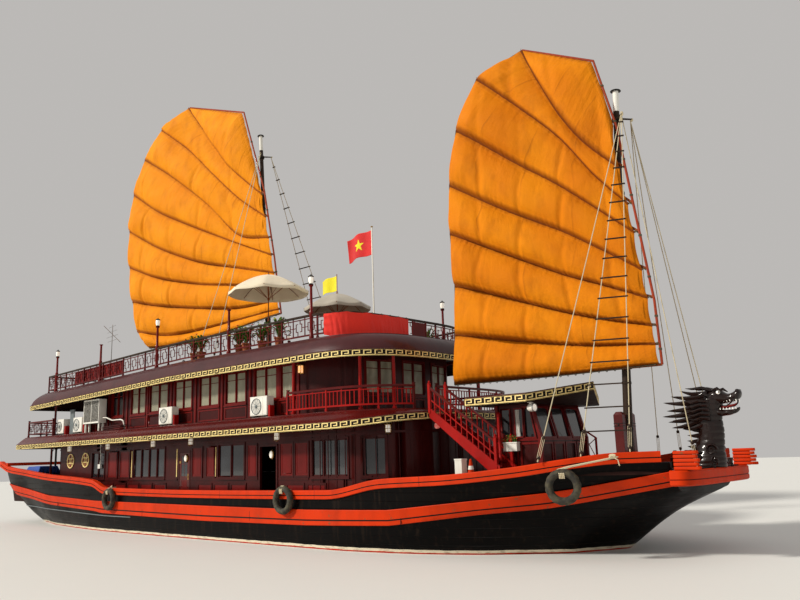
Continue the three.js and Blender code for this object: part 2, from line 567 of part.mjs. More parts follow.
// Lamp posts on both sides: x, height above the deck
const LAMP_POSTS = [[-14700, 2040], [-10500, 1660], [-5900, 2080], [-1100, 1640], [3360, 1800]];
const LAMP_POST_RADIUS = 55;
for (const [x, height] of LAMP_POSTS) {
  for (const sign of [-1, 1]) {
    const y = sign * (SUN_RAIL.half - RAIL.width / 2);
    sunRailParts.push(rod([x, y, SUN_DECK.floor + GAP], [x, y, SUN_DECK.floor + height],
      LAMP_POST_RADIUS, 8));
  }
}
place('sun_deck_rail', sheered(join(sunRailParts)), colours.rail, 0.4);

const SECOND_RAIL = { aft: -16440, start: 3300, front: 6840, half: 3900, power: 3.5 };
const VERANDA_RAIL = {
  aft: 2640, gateOuter: STAIRS.outer - 20, gateInner: STAIRS.inner + 20, gatePosts: [6640, 6783],
  postHalf: 30, postHeight: 760,
};
const STERN_RAIL_END = -13850;
const secondRail = railing(SECOND_RAIL, SECOND_DECK.floor, [[660, 720], [90, 140]], 1100);
const railEnd = (x, side) => box(x - VERANDA_RAIL.postHalf, x + VERANDA_RAIL.postHalf,
  side - VERANDA_RAIL.postHalf, side + VERANDA_RAIL.postHalf, SECOND_DECK.floor + GAP,
  SECOND_DECK.floor + VERANDA_RAIL.postHeight);
// name, and the limits of x and y of each stretch
const SECOND_RAILS = [
  ['veranda_rail_starboard', VERANDA_RAIL.aft, SECOND_RAIL.front, -LIMIT, VERANDA_RAIL.gateOuter],
  ['veranda_rail_port', VERANDA_RAIL.aft, SECOND_RAIL.front, VERANDA_RAIL.gateInner, LIMIT],
  ['stern_rail', -LIMIT, STERN_RAIL_END, -LIMIT, LIMIT],
];
const endX = [VERANDA_RAIL.aft + VERANDA_RAIL.postHalf, STERN_RAIL_END - VERANDA_RAIL.postHalf];
const endPlaces = endX.flatMap((x) =>
  [-1, 1].map((sign) => [x, sign * (SECOND_RAIL.half - RAIL.width / 2)]));
endPlaces.push([VERANDA_RAIL.gatePosts[0], VERANDA_RAIL.gateOuter - 40]);
endPlaces.push([VERANDA_RAIL.gatePosts[1], VERANDA_RAIL.gateInner + 40]);
const endPosts = join(endPlaces.map(([x, side]) => railEnd(x, side)));
for (const [name, x0, x1, y0, y1] of SECOND_RAILS) {
  const stretch = box(x0, x1, y0, y1, SECOND_DECK.floor - 1, SECOND_DECK.floor + 1000);
  place(name, secondRail.add(endPosts).intersect(stretch), colours.rail, 0.4);
}

// Cloth banner on the front of the sun deck's rail
const BANNER = { low: 6440, high: 7180, thick: 12, from: -3380, to: 600, aft: 3900 };
const bannerOut = GAP + BANNER.thick;
const bannerPlan = { ...SUN_RAIL, front: SUN_RAIL.front + bannerOut, half: SUN_RAIL.half + bannerOut };
const banner = prism(planOutline(bannerPlan), BANNER.low, BANNER.high)
  .subtract(prism(planOutline(bannerPlan, BANNER.thick), BANNER.low - 1, BANNER.high + 1))
  .intersect(box(BANNER.aft, bannerPlan.front + 1, BANNER.from, BANNER.to, BANNER.low, BANNER.high));
place('banner', banner, colours.red, 0.8);

// Posts under a head beam. The front beam follows the rounded edge of the sun deck.
const POST = {
  radius: 55, beam: 90, beamInset: 420, beamWidth: 110, beamAft: 2300, places: [0, 3, 5, 9, 11, 14],
};
function postRow(places, low, high) {
  return places.map(([x, y]) => rod([x, y, low + GAP], [x, y, high - POST.beam + 10], POST.radius, 8));
}
const frontLine = planOutline(UPPER_EAVE, POST.beamInset + POST.beamWidth / 2).filter(([x]) => x > 2000);
const beamFoot = SUN_DECK.under - POST.beam;
const frontBeam = prism(planOutline(UPPER_EAVE, POST.beamInset), beamFoot, SUN_DECK.under - GAP)
  .subtract(prism(planOutline(UPPER_EAVE, POST.beamInset + POST.beamWidth), beamFoot - 1, SUN_DECK.under + 1))
  .subtract(box(-LIMIT, POST.beamAft, -LIMIT, LIMIT, 0, LIMIT));
const frontPlaces = POST.places.map((index) => frontLine[index]);
place('veranda_posts', join([frontBeam, ...postRow(frontPlaces, SECOND_DECK.floor, SUN_DECK.under)]),
  colours.stair, 0.4);
// name, x, half spacing, foot, head
const STERN_FRAMES = [
  ['stern_posts_upper', -14500, 3500, SECOND_DECK.floor, SUN_DECK.under + sunDeckDrop(-14560)],
  ['stern_posts_lower', -15800, 3000, DECK.mainZ, SECOND_DECK.under],
];
for (const [name, x, half, low, high] of STERN_FRAMES) {
  const beam = box(x - POST.radius, x + POST.radius, -half - 100, half + 100, high - POST.beam, high - GAP);
  place(name, join([beam, ...postRow([[x, -half], [x, half]], low, high)]), colours.rail, 0.4);
}

// Stairs from the second deck down to the foredeck
const STAIR_RAIL = {
  string: 50, tread: 40, top: 4650, head: 4600, foot: 2900, footTop: 3010, radius: 34, post: 42,
};
const STRING_SIDE = [[STAIRS.topX, 3700], [STAIRS.topX, 3990], [STAIRS.footX + 60, 2230],
  [STAIRS.footX + 60, DECK.foreZ + GAP], [STAIRS.footX - 160, DECK.foreZ + GAP]];
const stairParts = [];
const rise = (STAIRS.topZ - STAIRS.footZ) / (STAIRS.steps + 1);
const run = (STAIRS.footX - STAIRS.topX) / (STAIRS.steps + 1);
for (let index = 1; index <= STAIRS.steps; index += 1) {
  const x = STAIRS.topX + run * index;
  const z = STAIRS.topZ - rise * index;
  stairParts.push(box(x - STAIR_RAIL.tread, x + run, STAIRS.outer + 20, STAIRS.inner - 20,
    z - STAIR_RAIL.tread, z));
}
const headX = STAIRS.topX + 60;
const footX = STAIRS.footX - 30;
for (const y of [STAIRS.outer, STAIRS.inner - STAIR_RAIL.string]) {
  stairParts.push(sidePrism(STRING_SIDE, y, y + STAIR_RAIL.string));
  const middle = y + STAIR_RAIL.string / 2;
  stairParts.push(rod([headX, middle, STAIR_RAIL.head], [footX, middle, STAIR_RAIL.foot],
    STAIR_RAIL.radius, 8));
  stairParts.push(rod([headX, middle, 3900], [headX, middle, STAIR_RAIL.top], STAIR_RAIL.post, 8));
  stairParts.push(rod([footX, middle, DECK.foreZ + GAP], [footX, middle, STAIR_RAIL.footTop],
    STAIR_RAIL.post, 8));
}
place('bow_stairs', join(stairParts).translate(40, 0, 0), colours.stair, 0.4);

// Wheelhouse
// The front leans aft above the sill
const leanAt = (z) => WHEELHOUSE.rake * Math.max(0, z - WHEELHOUSE.sill) / (WHEELHOUSE.top - WHEELHOUSE.sill);
function houseBody(inset, low, high) {
  const half = WHEELHOUSE.half - inset;
  return loft([low, WHEELHOUSE.sill, high].map((z) => {
    const front = WHEELHOUSE.front - inset - leanAt(z);
    const aft = WHEELHOUSE.aft + inset;
    return [[aft, -half, z], [front, -half, z], [front, half, z], [aft, half, z]];
  }));
}
let house = houseBody(0, WHEELHOUSE.floor + GAP, WHEELHOUSE.top)
  .subtract(houseBody(PLATE, WHEELHOUSE.floor - 1, WHEELHOUSE.top + 1));
for (const y of WHEELHOUSE.panes) {
  house = house.subtract(box(WHEELHOUSE.front - WHEELHOUSE.rake - 2 * PLATE, WHEELHOUSE.front + 1, y,
    y + WHEELHOUSE.paneWidth, WHEELHOUSE.sill, WHEELHOUSE.head));
}
const [paneAft, paneFore] = WHEELHOUSE.sidePane;
const paneShare = (paneFore - WHEELHOUSE.rakeFrom) / (WHEELHOUSE.front - WHEELHOUSE.rakeFrom);
const paneTop = paneFore - leanAt(WHEELHOUSE.head) * paneShare;
house = house.subtract(sidePrism([[paneAft, WHEELHOUSE.sill], [paneFore, WHEELHOUSE.sill],
  [paneTop, WHEELHOUSE.head], [paneAft, WHEELHOUSE.head]], -WHEELHOUSE.half - 1, WHEELHOUSE.half + 1));
const HOUSE_DOOR = { x: 9060, width: 640, low: 2120, height: 1720, hinges: [250, 1250] };
house = house.subtract(box(HOUSE_DOOR.x, HOUSE_DOOR.x + HOUSE_DOOR.width, WHEELHOUSE.half - PLATE - 1,
  WHEELHOUSE.half + 1, HOUSE_DOOR.low, HOUSE_DOOR.low + HOUSE_DOOR.height));
const houseHinges = hingeBarrels([HOUSE_DOOR.x + HINGE.shift, WHEELHOUSE.half + HINGE.proud], [1, 0],
  [0, -HINGE.proud], ...HOUSE_DOOR.hinges.map((height) => HOUSE_DOOR.low + height));
const houseLeaf = box(HOUSE_DOOR.x + DOOR.play, HOUSE_DOOR.x + HOUSE_DOOR.width - DOOR.play,
  WHEELHOUSE.half - DOOR.thick, WHEELHOUSE.half, HOUSE_DOOR.low + DOOR.play,
  HOUSE_DOOR.low + HOUSE_DOOR.height - DOOR.play);
place('wheelhouse', house.add(houseHinges.frame), colours.lacquer, 0.4);
place('wheelhouse_door', houseLeaf.add(houseHinges.leaf), colours.lacquer, 0.4);
const roofLevels = [WHEELHOUSE.top + GAP, WHEELHOUSE.top + WHEELHOUSE_ROOF.thick];
const roofFlat = box(WHEELHOUSE_ROOF.aft, WHEELHOUSE_ROOF.corner, -WHEELHOUSE_ROOF.half, WHEELHOUSE_ROOF.half,
  ...roofLevels);
const roofNose = prism([[WHEELHOUSE_ROOF.corner, -WHEELHOUSE_ROOF.half], [WHEELHOUSE_ROOF.nose, 0],
  [WHEELHOUSE_ROOF.corner, WHEELHOUSE_ROOF.half]], ...roofLevels);
const noseSlope = WHEELHOUSE_ROOF.lift / (WHEELHOUSE_ROOF.nose - WHEELHOUSE_ROOF.corner);
const noseUp = bend(roofNose, (x) => (x - WHEELHOUSE_ROOF.corner) * noseSlope);
place('wheelhouse_roof', roofFlat.add(noseUp), colours.skirt, 0.3);

const HELM = {
  x: 9900, z: 3050, radius: 360, console: [70, 330], consoleHalf: 300, consoleTop: 3150, pin: 30,
  hub: [-70, -10], hubRadius: 60, rimX: -40, rim: 290, rimThick: 22, spokes: 8, spoke: 14,
};
const consoleBody = box(HELM.x + HELM.console[0], HELM.x + HELM.console[1], -HELM.consoleHalf,
  HELM.consoleHalf, WHEELHOUSE.floor + GAP, HELM.consoleTop);
const helmPin = rod([HELM.x + HELM.hub[1] + GAP, 0, HELM.z], [HELM.x + HELM.console[0] + 10, 0, HELM.z],
  HELM.pin, 12);
place('helm_console', consoleBody.add(helmPin), colours.lacquer, 0.5);
const rim = new THREE.TorusGeometry(HELM.rim, HELM.rimThick, 6, 16);
rim.rotateY(Math.PI / 2);
const wheelMiddle = [HELM.x + HELM.rimX, 0, HELM.z];
const wheelParts = [toSolid(rim.translate(...wheelMiddle)),
  rod([HELM.x + HELM.hub[0], 0, HELM.z], [HELM.x + HELM.hub[1], 0, HELM.z], HELM.hubRadius, 12)];
for (let index = 0; index < HELM.spokes; index += 1) {
  const angle = Math.PI * 2 / HELM.spokes * index;
  wheelParts.push(rod(wheelMiddle, [wheelMiddle[0], HELM.radius * Math.cos(angle),
    HELM.z + HELM.radius * Math.sin(angle)], HELM.spoke, 6));
}
place('helm_wheel', join(wheelParts), colours.spar, 0.4);

// Engine hatch in the deck of the main cabin
const COAMING = { high: DECK.mainZ + 100, wall: 50, lid: 50, panel: 40, panelOut: 100, panelHalf: 1250 };
const HATCH_HINGE = {
  radius: 14, back: 22, z: DECK.mainZ + 125, y: [-500, 500], leaf: 40, arm: 100, low: 60, flat: 90,
};
const hatchHole = (low, high) => box(HATCH.x[0] + COAMING.wall, HATCH.x[1] - COAMING.wall,
  -HATCH.half + COAMING.wall, HATCH.half - COAMING.wall, low, high);
const hatchLid = box(...HATCH.x, -HATCH.half, HATCH.half, COAMING.high + GAP, COAMING.high + COAMING.lid);
const coaming = box(...HATCH.x, -HATCH.half, HATCH.half, DECK.mainZ + GAP, COAMING.high)
  .subtract(hatchHole(DECK.mainZ - 1, COAMING.high + 1));
const hatchAxisX = HATCH.x[0] - HATCH_HINGE.back;
const hatchBarrel = (from, to) => rod([hatchAxisX, from, HATCH_HINGE.z], [hatchAxisX, to, HATCH_HINGE.z],
  HATCH_HINGE.radius, 10);
const hatchLeaf = [];
const hatchFrame = [];
for (const y of HATCH_HINGE.y) {
  const inner = [y - HATCH_HINGE.leaf, y + HATCH_HINGE.leaf];
  hatchLeaf.push(hatchBarrel(...inner));
  hatchLeaf.push(box(hatchAxisX, HATCH.x[0] + 20, ...inner, HATCH_HINGE.z - 6,
    HATCH_HINGE.z + HATCH_HINGE.radius));
  for (const [from, to] of [[y - HATCH_HINGE.arm, inner[0] - GAP], [inner[1] + GAP, y + HATCH_HINGE.arm]]) {
    const back = hatchAxisX - HATCH_HINGE.radius;
    const foot = DECK.mainZ + HATCH_HINGE.low;
    hatchFrame.push(hatchBarrel(from, to));
    hatchFrame.push(box(back, hatchAxisX + HATCH_HINGE.radius, from, to, foot, HATCH_HINGE.z));
    hatchFrame.push(box(back, HATCH.x[0] + 10, from, to, foot, DECK.mainZ + HATCH_HINGE.flat));
  }
}
const deckPanel = box(ENGINE_ROOM.x[0] - COAMING.panelOut, ENGINE_ROOM.x[1] + COAMING.panelOut,
  -COAMING.panelHalf, COAMING.panelHalf, DECK.mainZ + GAP, DECK.mainZ + COAMING.panel)
  .subtract(hatchHole(DECK.mainZ - 1, DECK.mainZ + COAMING.panel + 1));
place('engine_hatch_coaming', join([deckPanel, coaming, ...hatchFrame]), colours.deck, 0.6);
place('engine_hatch', join([hatchLid, ...hatchLeaf]), colours.deck, 0.6);

// Masts: tapered poles with a cap, and a flat shoulder under each ring that turns or rests on them
function mastPoint(mast, z) {
  const share = (z - mast.baseZ) / (mast.topZ - mast.baseZ);
  return [mast.baseX + (mast.topX - mast.baseX) * share, 0, z];
}
function mastRadius(mast, z) {
  return mast.baseRadius + (mast.topRadius - mast.baseRadius) * (z - mast.baseZ) / (mast.topZ - mast.baseZ);
}
function mastAxis(mast) {
  return new THREE.Vector3(mast.topX - mast.baseX, 0, mast.topZ - mast.baseZ).normalize();
}
// Disc or ring around the mast: from low to high along its axis
function mastDisc(mast, z, height, radius, inner = 0) {
  const axis = mastAxis(mast);
  const start = new THREE.Vector3(...mastPoint(mast, z));
  const end = start.clone().addScaledVector(axis, height);
  const disc = rod(start.toArray(), end.toArray(), radius, 16);
  if (inner === 0) return disc;
  const below = start.clone().addScaledVector(axis, -1);
  const above = end.clone().addScaledVector(axis, 1);
  return disc.subtract(rod(below.toArray(), above.toArray(), inner, 16));
}
const SHOULDER = { height: 40, grow: 45, capHeight: 60, capGrow: 70 };
function mastSolid(mast, heel, heights) {
  const foot = mastPoint(mast, heel);
  const pole = rod(foot, mastPoint(mast, mast.topZ), mast.baseRadius, 16, mast.topRadius);
  const discs = heights.map((z) => mastDisc(mast, z - SHOULDER.height, SHOULDER.height,
    mastRadius(mast, z) + SHOULDER.grow));
  const cap = mastDisc(mast, mast.topZ - SHOULDER.capHeight / 3, SHOULDER.capHeight,
    mast.topRadius + SHOULDER.capGrow);
  return join([pole, ...discs, cap]);
}
const RIGGING_Z = { fore: 12000, aft: 15600 };
const HEEL = 100;
const trim = (z) => box(-LIMIT, LIMIT, -500, 500, z - 2 * HEEL, z + GAP);
const TABERNACLE = { x: 12120, width: 260, height: 1600, side: 190, deep: 200, tie: [2150, 2350], into: 5 };
const cheeks = [-1, 1].map((sign) => {
  const y = [sign * TABERNACLE.side, sign * (TABERNACLE.side + TABERNACLE.deep)].sort((a, b) => a - b);
  return box(TABERNACLE.x, TABERNACLE.x + TABERNACLE.width, y[0], y[1], DECK.foreZ + GAP,
    DECK.foreZ + TABERNACLE.height);
});
const tieHalf = TABERNACLE.side + TABERNACLE.deep - 50;
const tie = box(TABERNACLE.x - 55, TABERNACLE.x + TABERNACLE.into, -tieHalf, tieHalf, ...TABERNACLE.tie);
place('mast_tabernacle', join([...cheeks, tie]), colours.stair, 0.4);

// Sails: the cloth hangs on a frame of boom, battens, yard and luff pole that turns about the mast
function sailPlace(sail) {
  const pivot = mastPoint(sail.mast, sail.outline[0][1]);
  return (geometrySolid) => geometrySolid.rotate([0, 0, sail.swing]).translate([pivot[0], 0, 0]);
}
// Height at which a batten crosses the mast
function battenHeight(sail, line) {
  const foot = sail.outline[0][1];
  const slope = (sail.mast.topX - sail.mast.baseX) / (sail.mast.topZ - sail.mast.baseZ);
  for (let index = 0; index + 1 < line.length; index += 1) {
    const [[u0, w0], [u1, w1]] = line.slice(index, index + 2);
    const share = (slope * (w0 - foot) - u0) / (u1 - u0 - slope * (w1 - w0));
    if (share >= 0 && share <= 1) return w0 + (w1 - w0) * share;
  }
  throw new Error('a batten misses its mast');
}
const PARREL = { height: 90, wall: 40, play: 12, arm: 30, into: 8 };
const ringHeights = (sail) => sail.ringBattens.map((index) =>
  battenHeight(sail, sail.battens[index]) - PARREL.height / 2);

function sailNodes(sail, clothName, frameName) {
  const put = sailPlace(sail);
  const side = -SAIL.offset;
  const face = side - SAIL.seat;
  const [clew, tack] = sail.outline;
  const spars = [
    [[clew[0] - SAIL.clewOverhang, clew[1]], tack],
    sail.outline.slice(1, sail.throat + 2),
    ...sail.battens,
  ];
  const parts = spars.flatMap((line) => line.slice(1).map((to, index) => rod(
    [line[index][0], side, line[index][1]], [to[0], side, to[1]], SAIL.sparRadius, SAIL.sparSides)));
  const foot = mastPoint(sail.mast, clew[1])[0];
  const rings = ringHeights(sail).map((z) => {
    const radius = mastRadius(sail.mast, z);
    return mastDisc(sail.mast, z + GAP, PARREL.height, radius + PARREL.wall, radius + PARREL.play);
  });
  ringHeights(sail).forEach((z) => {
    const middle = z + PARREL.height / 2;
    const u = mastPoint(sail.mast, middle)[0] - foot;
    const ringEdge = mastRadius(sail.mast, z) + PARREL.wall - PARREL.into;
    parts.push(rod([u, -ringEdge, middle], [u, side, middle], PARREL.arm, 8));
  });
  place(clothName, put(sidePrism(sail.outline, face - SAIL.thickness, face)), colours.sail, 0.9);
  const frame = join(parts).subtract(box(-LIMIT, LIMIT, face - SAIL.thickness, face + GAP, 0, LIMIT));
  place(frameName, join([put(frame), ...rings]), colours.spar, 0.5);
}
sailNodes(FORE_SAIL, 'fore_sail', 'fore_sail_frame');
sailNodes(AFT_SAIL, 'aft_sail', 'aft_sail_frame');
place('fore_mast', mastSolid(FORE_MAST, DECK.foreZ - HEEL, [ringHeights(FORE_SAIL)[0], RIGGING_Z.fore])
  .subtract(trim(DECK.foreZ)), colours.mast, 0.5);
place('aft_mast', mastSolid(AFT_MAST, SUN_DECK.floor - HEEL, [ringHeights(AFT_SAIL)[0], RIGGING_Z.aft])
  .subtract(trim(SUN_DECK.floor)), colours.mast, 0.5);

// Standing rigging: shrouds and stays that meet at a ring on the mast
// name, mast, ring height, feet of the ropes, what the feet rest on
const ROPE = { radius: 16, into: 20 };
const CROSSTREE = { ringHeight: 70, wall: 45, play: 4, reach: 330, spread: 330, arm: 26, root: 40 };
const RIGGING = [
  ['fore_rigging', FORE_MAST, RIGGING_Z.fore,
    [[11600, 3560, 2350], [12500, 3055, 2455], [13560, 2590, 2535], [14450, 850, 2080]],
    join([gunwale, bowBeam]).translate([0, 0, GAP])],
  ['aft_rigging', AFT_MAST, RIGGING_Z.aft,
    [[-3300, 3390, 6400], [-2100, 3390, 6400]], box(-LIMIT, LIMIT, -LIMIT, LIMIT, 0, SUN_DECK.floor + GAP)],
];
for (const [name, mast, z, feet, base] of RIGGING) {
  const radius = mastRadius(mast, z);
  const centre = mastPoint(mast, z + CROSSTREE.ringHeight / 2);
  const parts = [mastDisc(mast, z + GAP, CROSSTREE.ringHeight, radius + CROSSTREE.wall,
    radius + CROSSTREE.play)];
  for (const sign of [-1, 1]) {
    const tip = [centre[0] + CROSSTREE.reach, sign * CROSSTREE.spread, centre[2]];
    const knot = [tip[0] - ROPE.into, sign * (CROSSTREE.spread - ROPE.into), tip[2]];
    parts.push(rod([centre[0] + radius, sign * CROSSTREE.root, centre[2]], tip, CROSSTREE.arm, 8));
    for (const [x, y, footZ] of feet) {
      parts.push(rod(knot, [x, sign * y, footZ - ROPE.into], ROPE.radius, 6));
    }
  }
  place(name, join(parts).subtract(base), colours.rope, 0.8);
}

// Deck gear
// Tyres hang outside the gunwale on a strop over it: name, x, z of the middle, turn to lie along the side
const TYRES = [['tyre_fender_aft', -7600, 1260, 0], ['tyre_fender_middle', 3000, 1380, 0],
  ['tyre_fender_fore', 12100, 1750, 21.8]];
const TYRE = { ring: 330, tube: 105, strop: 34, stropHalf: 25, stropIn: 120 };
for (const [name, x, z, turn] of TYRES) {
  const angle = THREE.MathUtils.degToRad(turn);
  const outer = railHalf(x) + CAP.outside;
  const off = TYRE.tube + GAP;
  const torus = new THREE.TorusGeometry(TYRE.ring, TYRE.tube, 8, 18);
  torus.rotateX(Math.PI / 2);
  torus.rotateZ(angle);
  torus.translate(x + off * Math.sin(angle), -(outer + off * Math.cos(angle)), z);
  const top = railHeight(x) + TYRE.strop;
  const across = [x - TYRE.stropHalf, x + TYRE.stropHalf, -(outer + TYRE.strop)];
  const side = box(...across, -outer, z + TYRE.ring - 20, top);
  const over = box(...across, -(outer - TYRE.stropIn), railHeight(x) - 10, top);
  const strop = side.add(over).subtract(gunwale.translate([0, 0, GAP]))
    .subtract(gunwale.translate([0, -GAP, 0]));
  place(name, toSolid(torus).add(strop), colours.tyre, 0.9);
}
// Fan units stand on two feet on the side of the second deck: name, x of the middle, width
const FAN_UNITS = [['fan_unit_1', -13500, 640], ['fan_unit_2', -11850, 800], ['fan_unit_3', -4750, 900],
  ['fan_unit_4', 950, 900]];
const FAN = { outer: -3720, inner: -3420, foot: 75, top: 715, footHalf: 40, footInset: 130 };
for (const [name, x, width] of FAN_UNITS) {
  const floor = SECOND_DECK.floor;
  const body = box(x - width / 2, x + width / 2, FAN.outer, FAN.inner, floor + FAN.foot, floor + FAN.top);
  const feet = [-1, 1].map((sign) => {
    const middle = x + sign * (width / 2 - FAN.footInset);
    return box(middle - FAN.footHalf, middle + FAN.footHalf, FAN.outer + 20, FAN.inner - 20, floor + GAP,
      floor + FAN.foot + 5);
  });
  place(name, join([body, ...feet]), colours.white, 0.5);
}
const CABINET = { x: [-11200, -9850], y: [-3780, -3430], low: 4380, high: 5400, leg: 35, inset: 90 };
const cabinetLegs = CABINET.x.flatMap((x, end) => CABINET.y.map((y, side) => {
  const middle = [x + (end ? -1 : 1) * CABINET.inset, y + (side ? -1 : 1) * CABINET.inset];
  return box(middle[0] - CABINET.leg, middle[0] + CABINET.leg, middle[1] - CABINET.leg,
    middle[1] + CABINET.leg, SECOND_DECK.floor + GAP, CABINET.low + 5);
}));
place('condenser_cabinet', join([box(...CABINET.x, ...CABINET.y, CABINET.low, CABINET.high), ...cabinetLegs]),
  colours.white, 0.5);

// name, x, y, height of the canopy's edge, radius
const UMBRELLAS = [['umbrella_aft', -650, -2000, 8800, 1500], ['umbrella_fore', 2030, -1000, 7950, 1200]];
const UMBRELLA = {
  rise: 520, under: 480, hem: -25, pole: 28, poleTop: 500, foot: 260, footHeight: 90, sides: 8,
};
for (const [name, x, y, z, radius] of UMBRELLAS) {
  const profile = [[0, UMBRELLA.under], [radius, UMBRELLA.hem], [radius, 0], [0, UMBRELLA.rise]];
  const canopy = new THREE.LatheGeometry(profile.map(([r, h]) => new THREE.Vector2(r, h)), UMBRELLA.sides);
  canopy.rotateX(Math.PI / 2);
  const stand = [x, y, SUN_DECK.floor + GAP];
  const pole = rod(stand, [x, y, z + UMBRELLA.poleTop], UMBRELLA.pole, 8);
  const foot = rod(stand, [x, y, SUN_DECK.floor + UMBRELLA.footHeight], UMBRELLA.foot, 12);
  place(name, join([toSolid(canopy.translate(x, y, z)), pole, foot]), colours.cream, 0.8);
}
const FLAG = { x: 1960, y: 1000, top: 11440, low: 10300, high: 11290, length: 1350, pole: 30, half: 12 };
const flagPole = rod([FLAG.x, FLAG.y, SUN_DECK.floor + GAP], [FLAG.x, FLAG.y, FLAG.top], FLAG.pole, 8);
const hoist = FLAG.x - FLAG.pole - GAP;
place('flagpole', flagPole, colours.white, 0.5);
place('flag', box(hoist - FLAG.length, hoist, FLAG.y - FLAG.half, FLAG.y + FLAG.half, FLAG.low, FLAG.high),
  colours.red, 0.8);

const BITT = { y: 1300, posts: [13040, 13360], post: 70, height: 520, bar: [12900, 13500], barHalf: 45,
  barZ: [2220, 2320] };
for (const [name, sign] of [['bitt_starboard', -1], ['bitt_port', 1]]) {
  const y = sign * BITT.y;
  const pair = BITT.posts.map((x) => box(x - BITT.post, x + BITT.post, y - BITT.post, y + BITT.post,
    DECK.foreZ + GAP, DECK.foreZ + BITT.height));
  const bar = box(...BITT.bar, y - BITT.barHalf, y + BITT.barHalf, ...BITT.barZ);
  place(name, join([...pair, bar]), colours.lacquer, 0.5);
}
const SEARCHLIGHT = {
  back: [10330, -1800, 3790], lens: [10560, -1830, 3790], radius: 110, stem: [10380, 10440],
};
const lampBody = rod(SEARCHLIGHT.back, SEARCHLIGHT.lens, SEARCHLIGHT.radius, 16);
const lampStem = box(...SEARCHLIGHT.stem, SEARCHLIGHT.lens[1], SEARCHLIGHT.lens[1] + 40,
  SEARCHLIGHT.lens[2] - 10, WHEELHOUSE.top);
place('searchlight', lampBody.add(lampStem), colours.white, 0.4);

export default group;
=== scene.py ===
# Two-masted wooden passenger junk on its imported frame.
# Metres: +X is the bow, +Y is port, +Z is up, and the floor stands for the water at z = 0.
import bisect
import math
import random

import bmesh
import bpy
from mathutils import Matrix, Vector, noise as field


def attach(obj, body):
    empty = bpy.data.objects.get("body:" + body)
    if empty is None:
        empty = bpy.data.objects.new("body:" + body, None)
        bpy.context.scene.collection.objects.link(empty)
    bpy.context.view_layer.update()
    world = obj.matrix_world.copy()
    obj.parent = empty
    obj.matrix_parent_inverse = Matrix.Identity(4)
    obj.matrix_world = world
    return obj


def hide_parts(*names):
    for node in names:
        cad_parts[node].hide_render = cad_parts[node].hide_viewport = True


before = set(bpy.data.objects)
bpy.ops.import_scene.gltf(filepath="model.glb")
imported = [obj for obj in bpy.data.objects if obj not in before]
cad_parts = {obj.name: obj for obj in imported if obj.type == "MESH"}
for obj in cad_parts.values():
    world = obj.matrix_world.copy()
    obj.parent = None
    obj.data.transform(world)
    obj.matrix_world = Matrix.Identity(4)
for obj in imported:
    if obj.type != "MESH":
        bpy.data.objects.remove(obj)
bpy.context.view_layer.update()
print("frame loaded")


# camera
camera = {
    "place": (21.84, -20.10, 2.65),
    "azimuth": 41.29,  # degrees, 0 looks along +Y
    "pitch": 11.33,
    "roll": 1.843,
    "lens": 34.66,
    "sensor": 36,
}


def makeCamera():
    turn, pitch, roll = (math.radians(camera[k]) for k in ("azimuth", "pitch", "roll"))
    ahead = Vector((-math.sin(turn) * math.cos(pitch), math.cos(turn) * math.cos(pitch), math.sin(pitch)))
    right = Vector((math.cos(turn), math.sin(turn), 0))
    up = right.cross(ahead)
    across = right * math.cos(roll) - up * math.sin(roll)
    upright = right * math.sin(roll) + up * math.cos(roll)
    data = bpy.data.cameras.new("camera")
    data.lens, data.sensor_width, data.sensor_fit = camera["lens"], camera["sensor"], "HORIZONTAL"
    data.clip_end = 400
    eye = bpy.data.objects.new("camera", data)
    eye.matrix_world = Matrix((across, upright, -ahead)).transposed().to_4x4()
    eye.location = camera["place"]
    bpy.context.scene.collection.objects.link(eye)
    bpy.context.scene.camera = eye


makeCamera()
bpy.context.scene.view_settings.view_transform = "Standard"


# shader maths
def tint(red, green, blue):  # screen colour, 0 to 255, to a linear one
    def straight(c):
        c /= 255
        return c / 12.92 if c <= 0.04045 else ((c + 0.055) / 1.055) ** 2.4

    return (straight(red), straight(green), straight(blue), 1)


class Wire:  # an output socket that adds Math nodes when it is used in arithmetic
    def __init__(self, recipe, socket):
        self.recipe, self.socket = recipe, socket

    def join(self, operation, first, second):
        return self.recipe.node("Math", {"operation": operation}, {0: first, 1: second})

    def __add__(self, other):
        return self.join("ADD", self, other)

    def __mul__(self, other):
        return self.join("MULTIPLY", self, other)

    def __sub__(self, other):
        return self.join("SUBTRACT", self, other)

    def __rsub__(self, other):
        return self.join("SUBTRACT", other, self)

    def __gt__(self, other):
        return self.join("GREATER_THAN", self, other)

    def __lt__(self, other):
        return self.join("LESS_THAN", self, other)

    __radd__, __rmul__ = __add__, __mul__


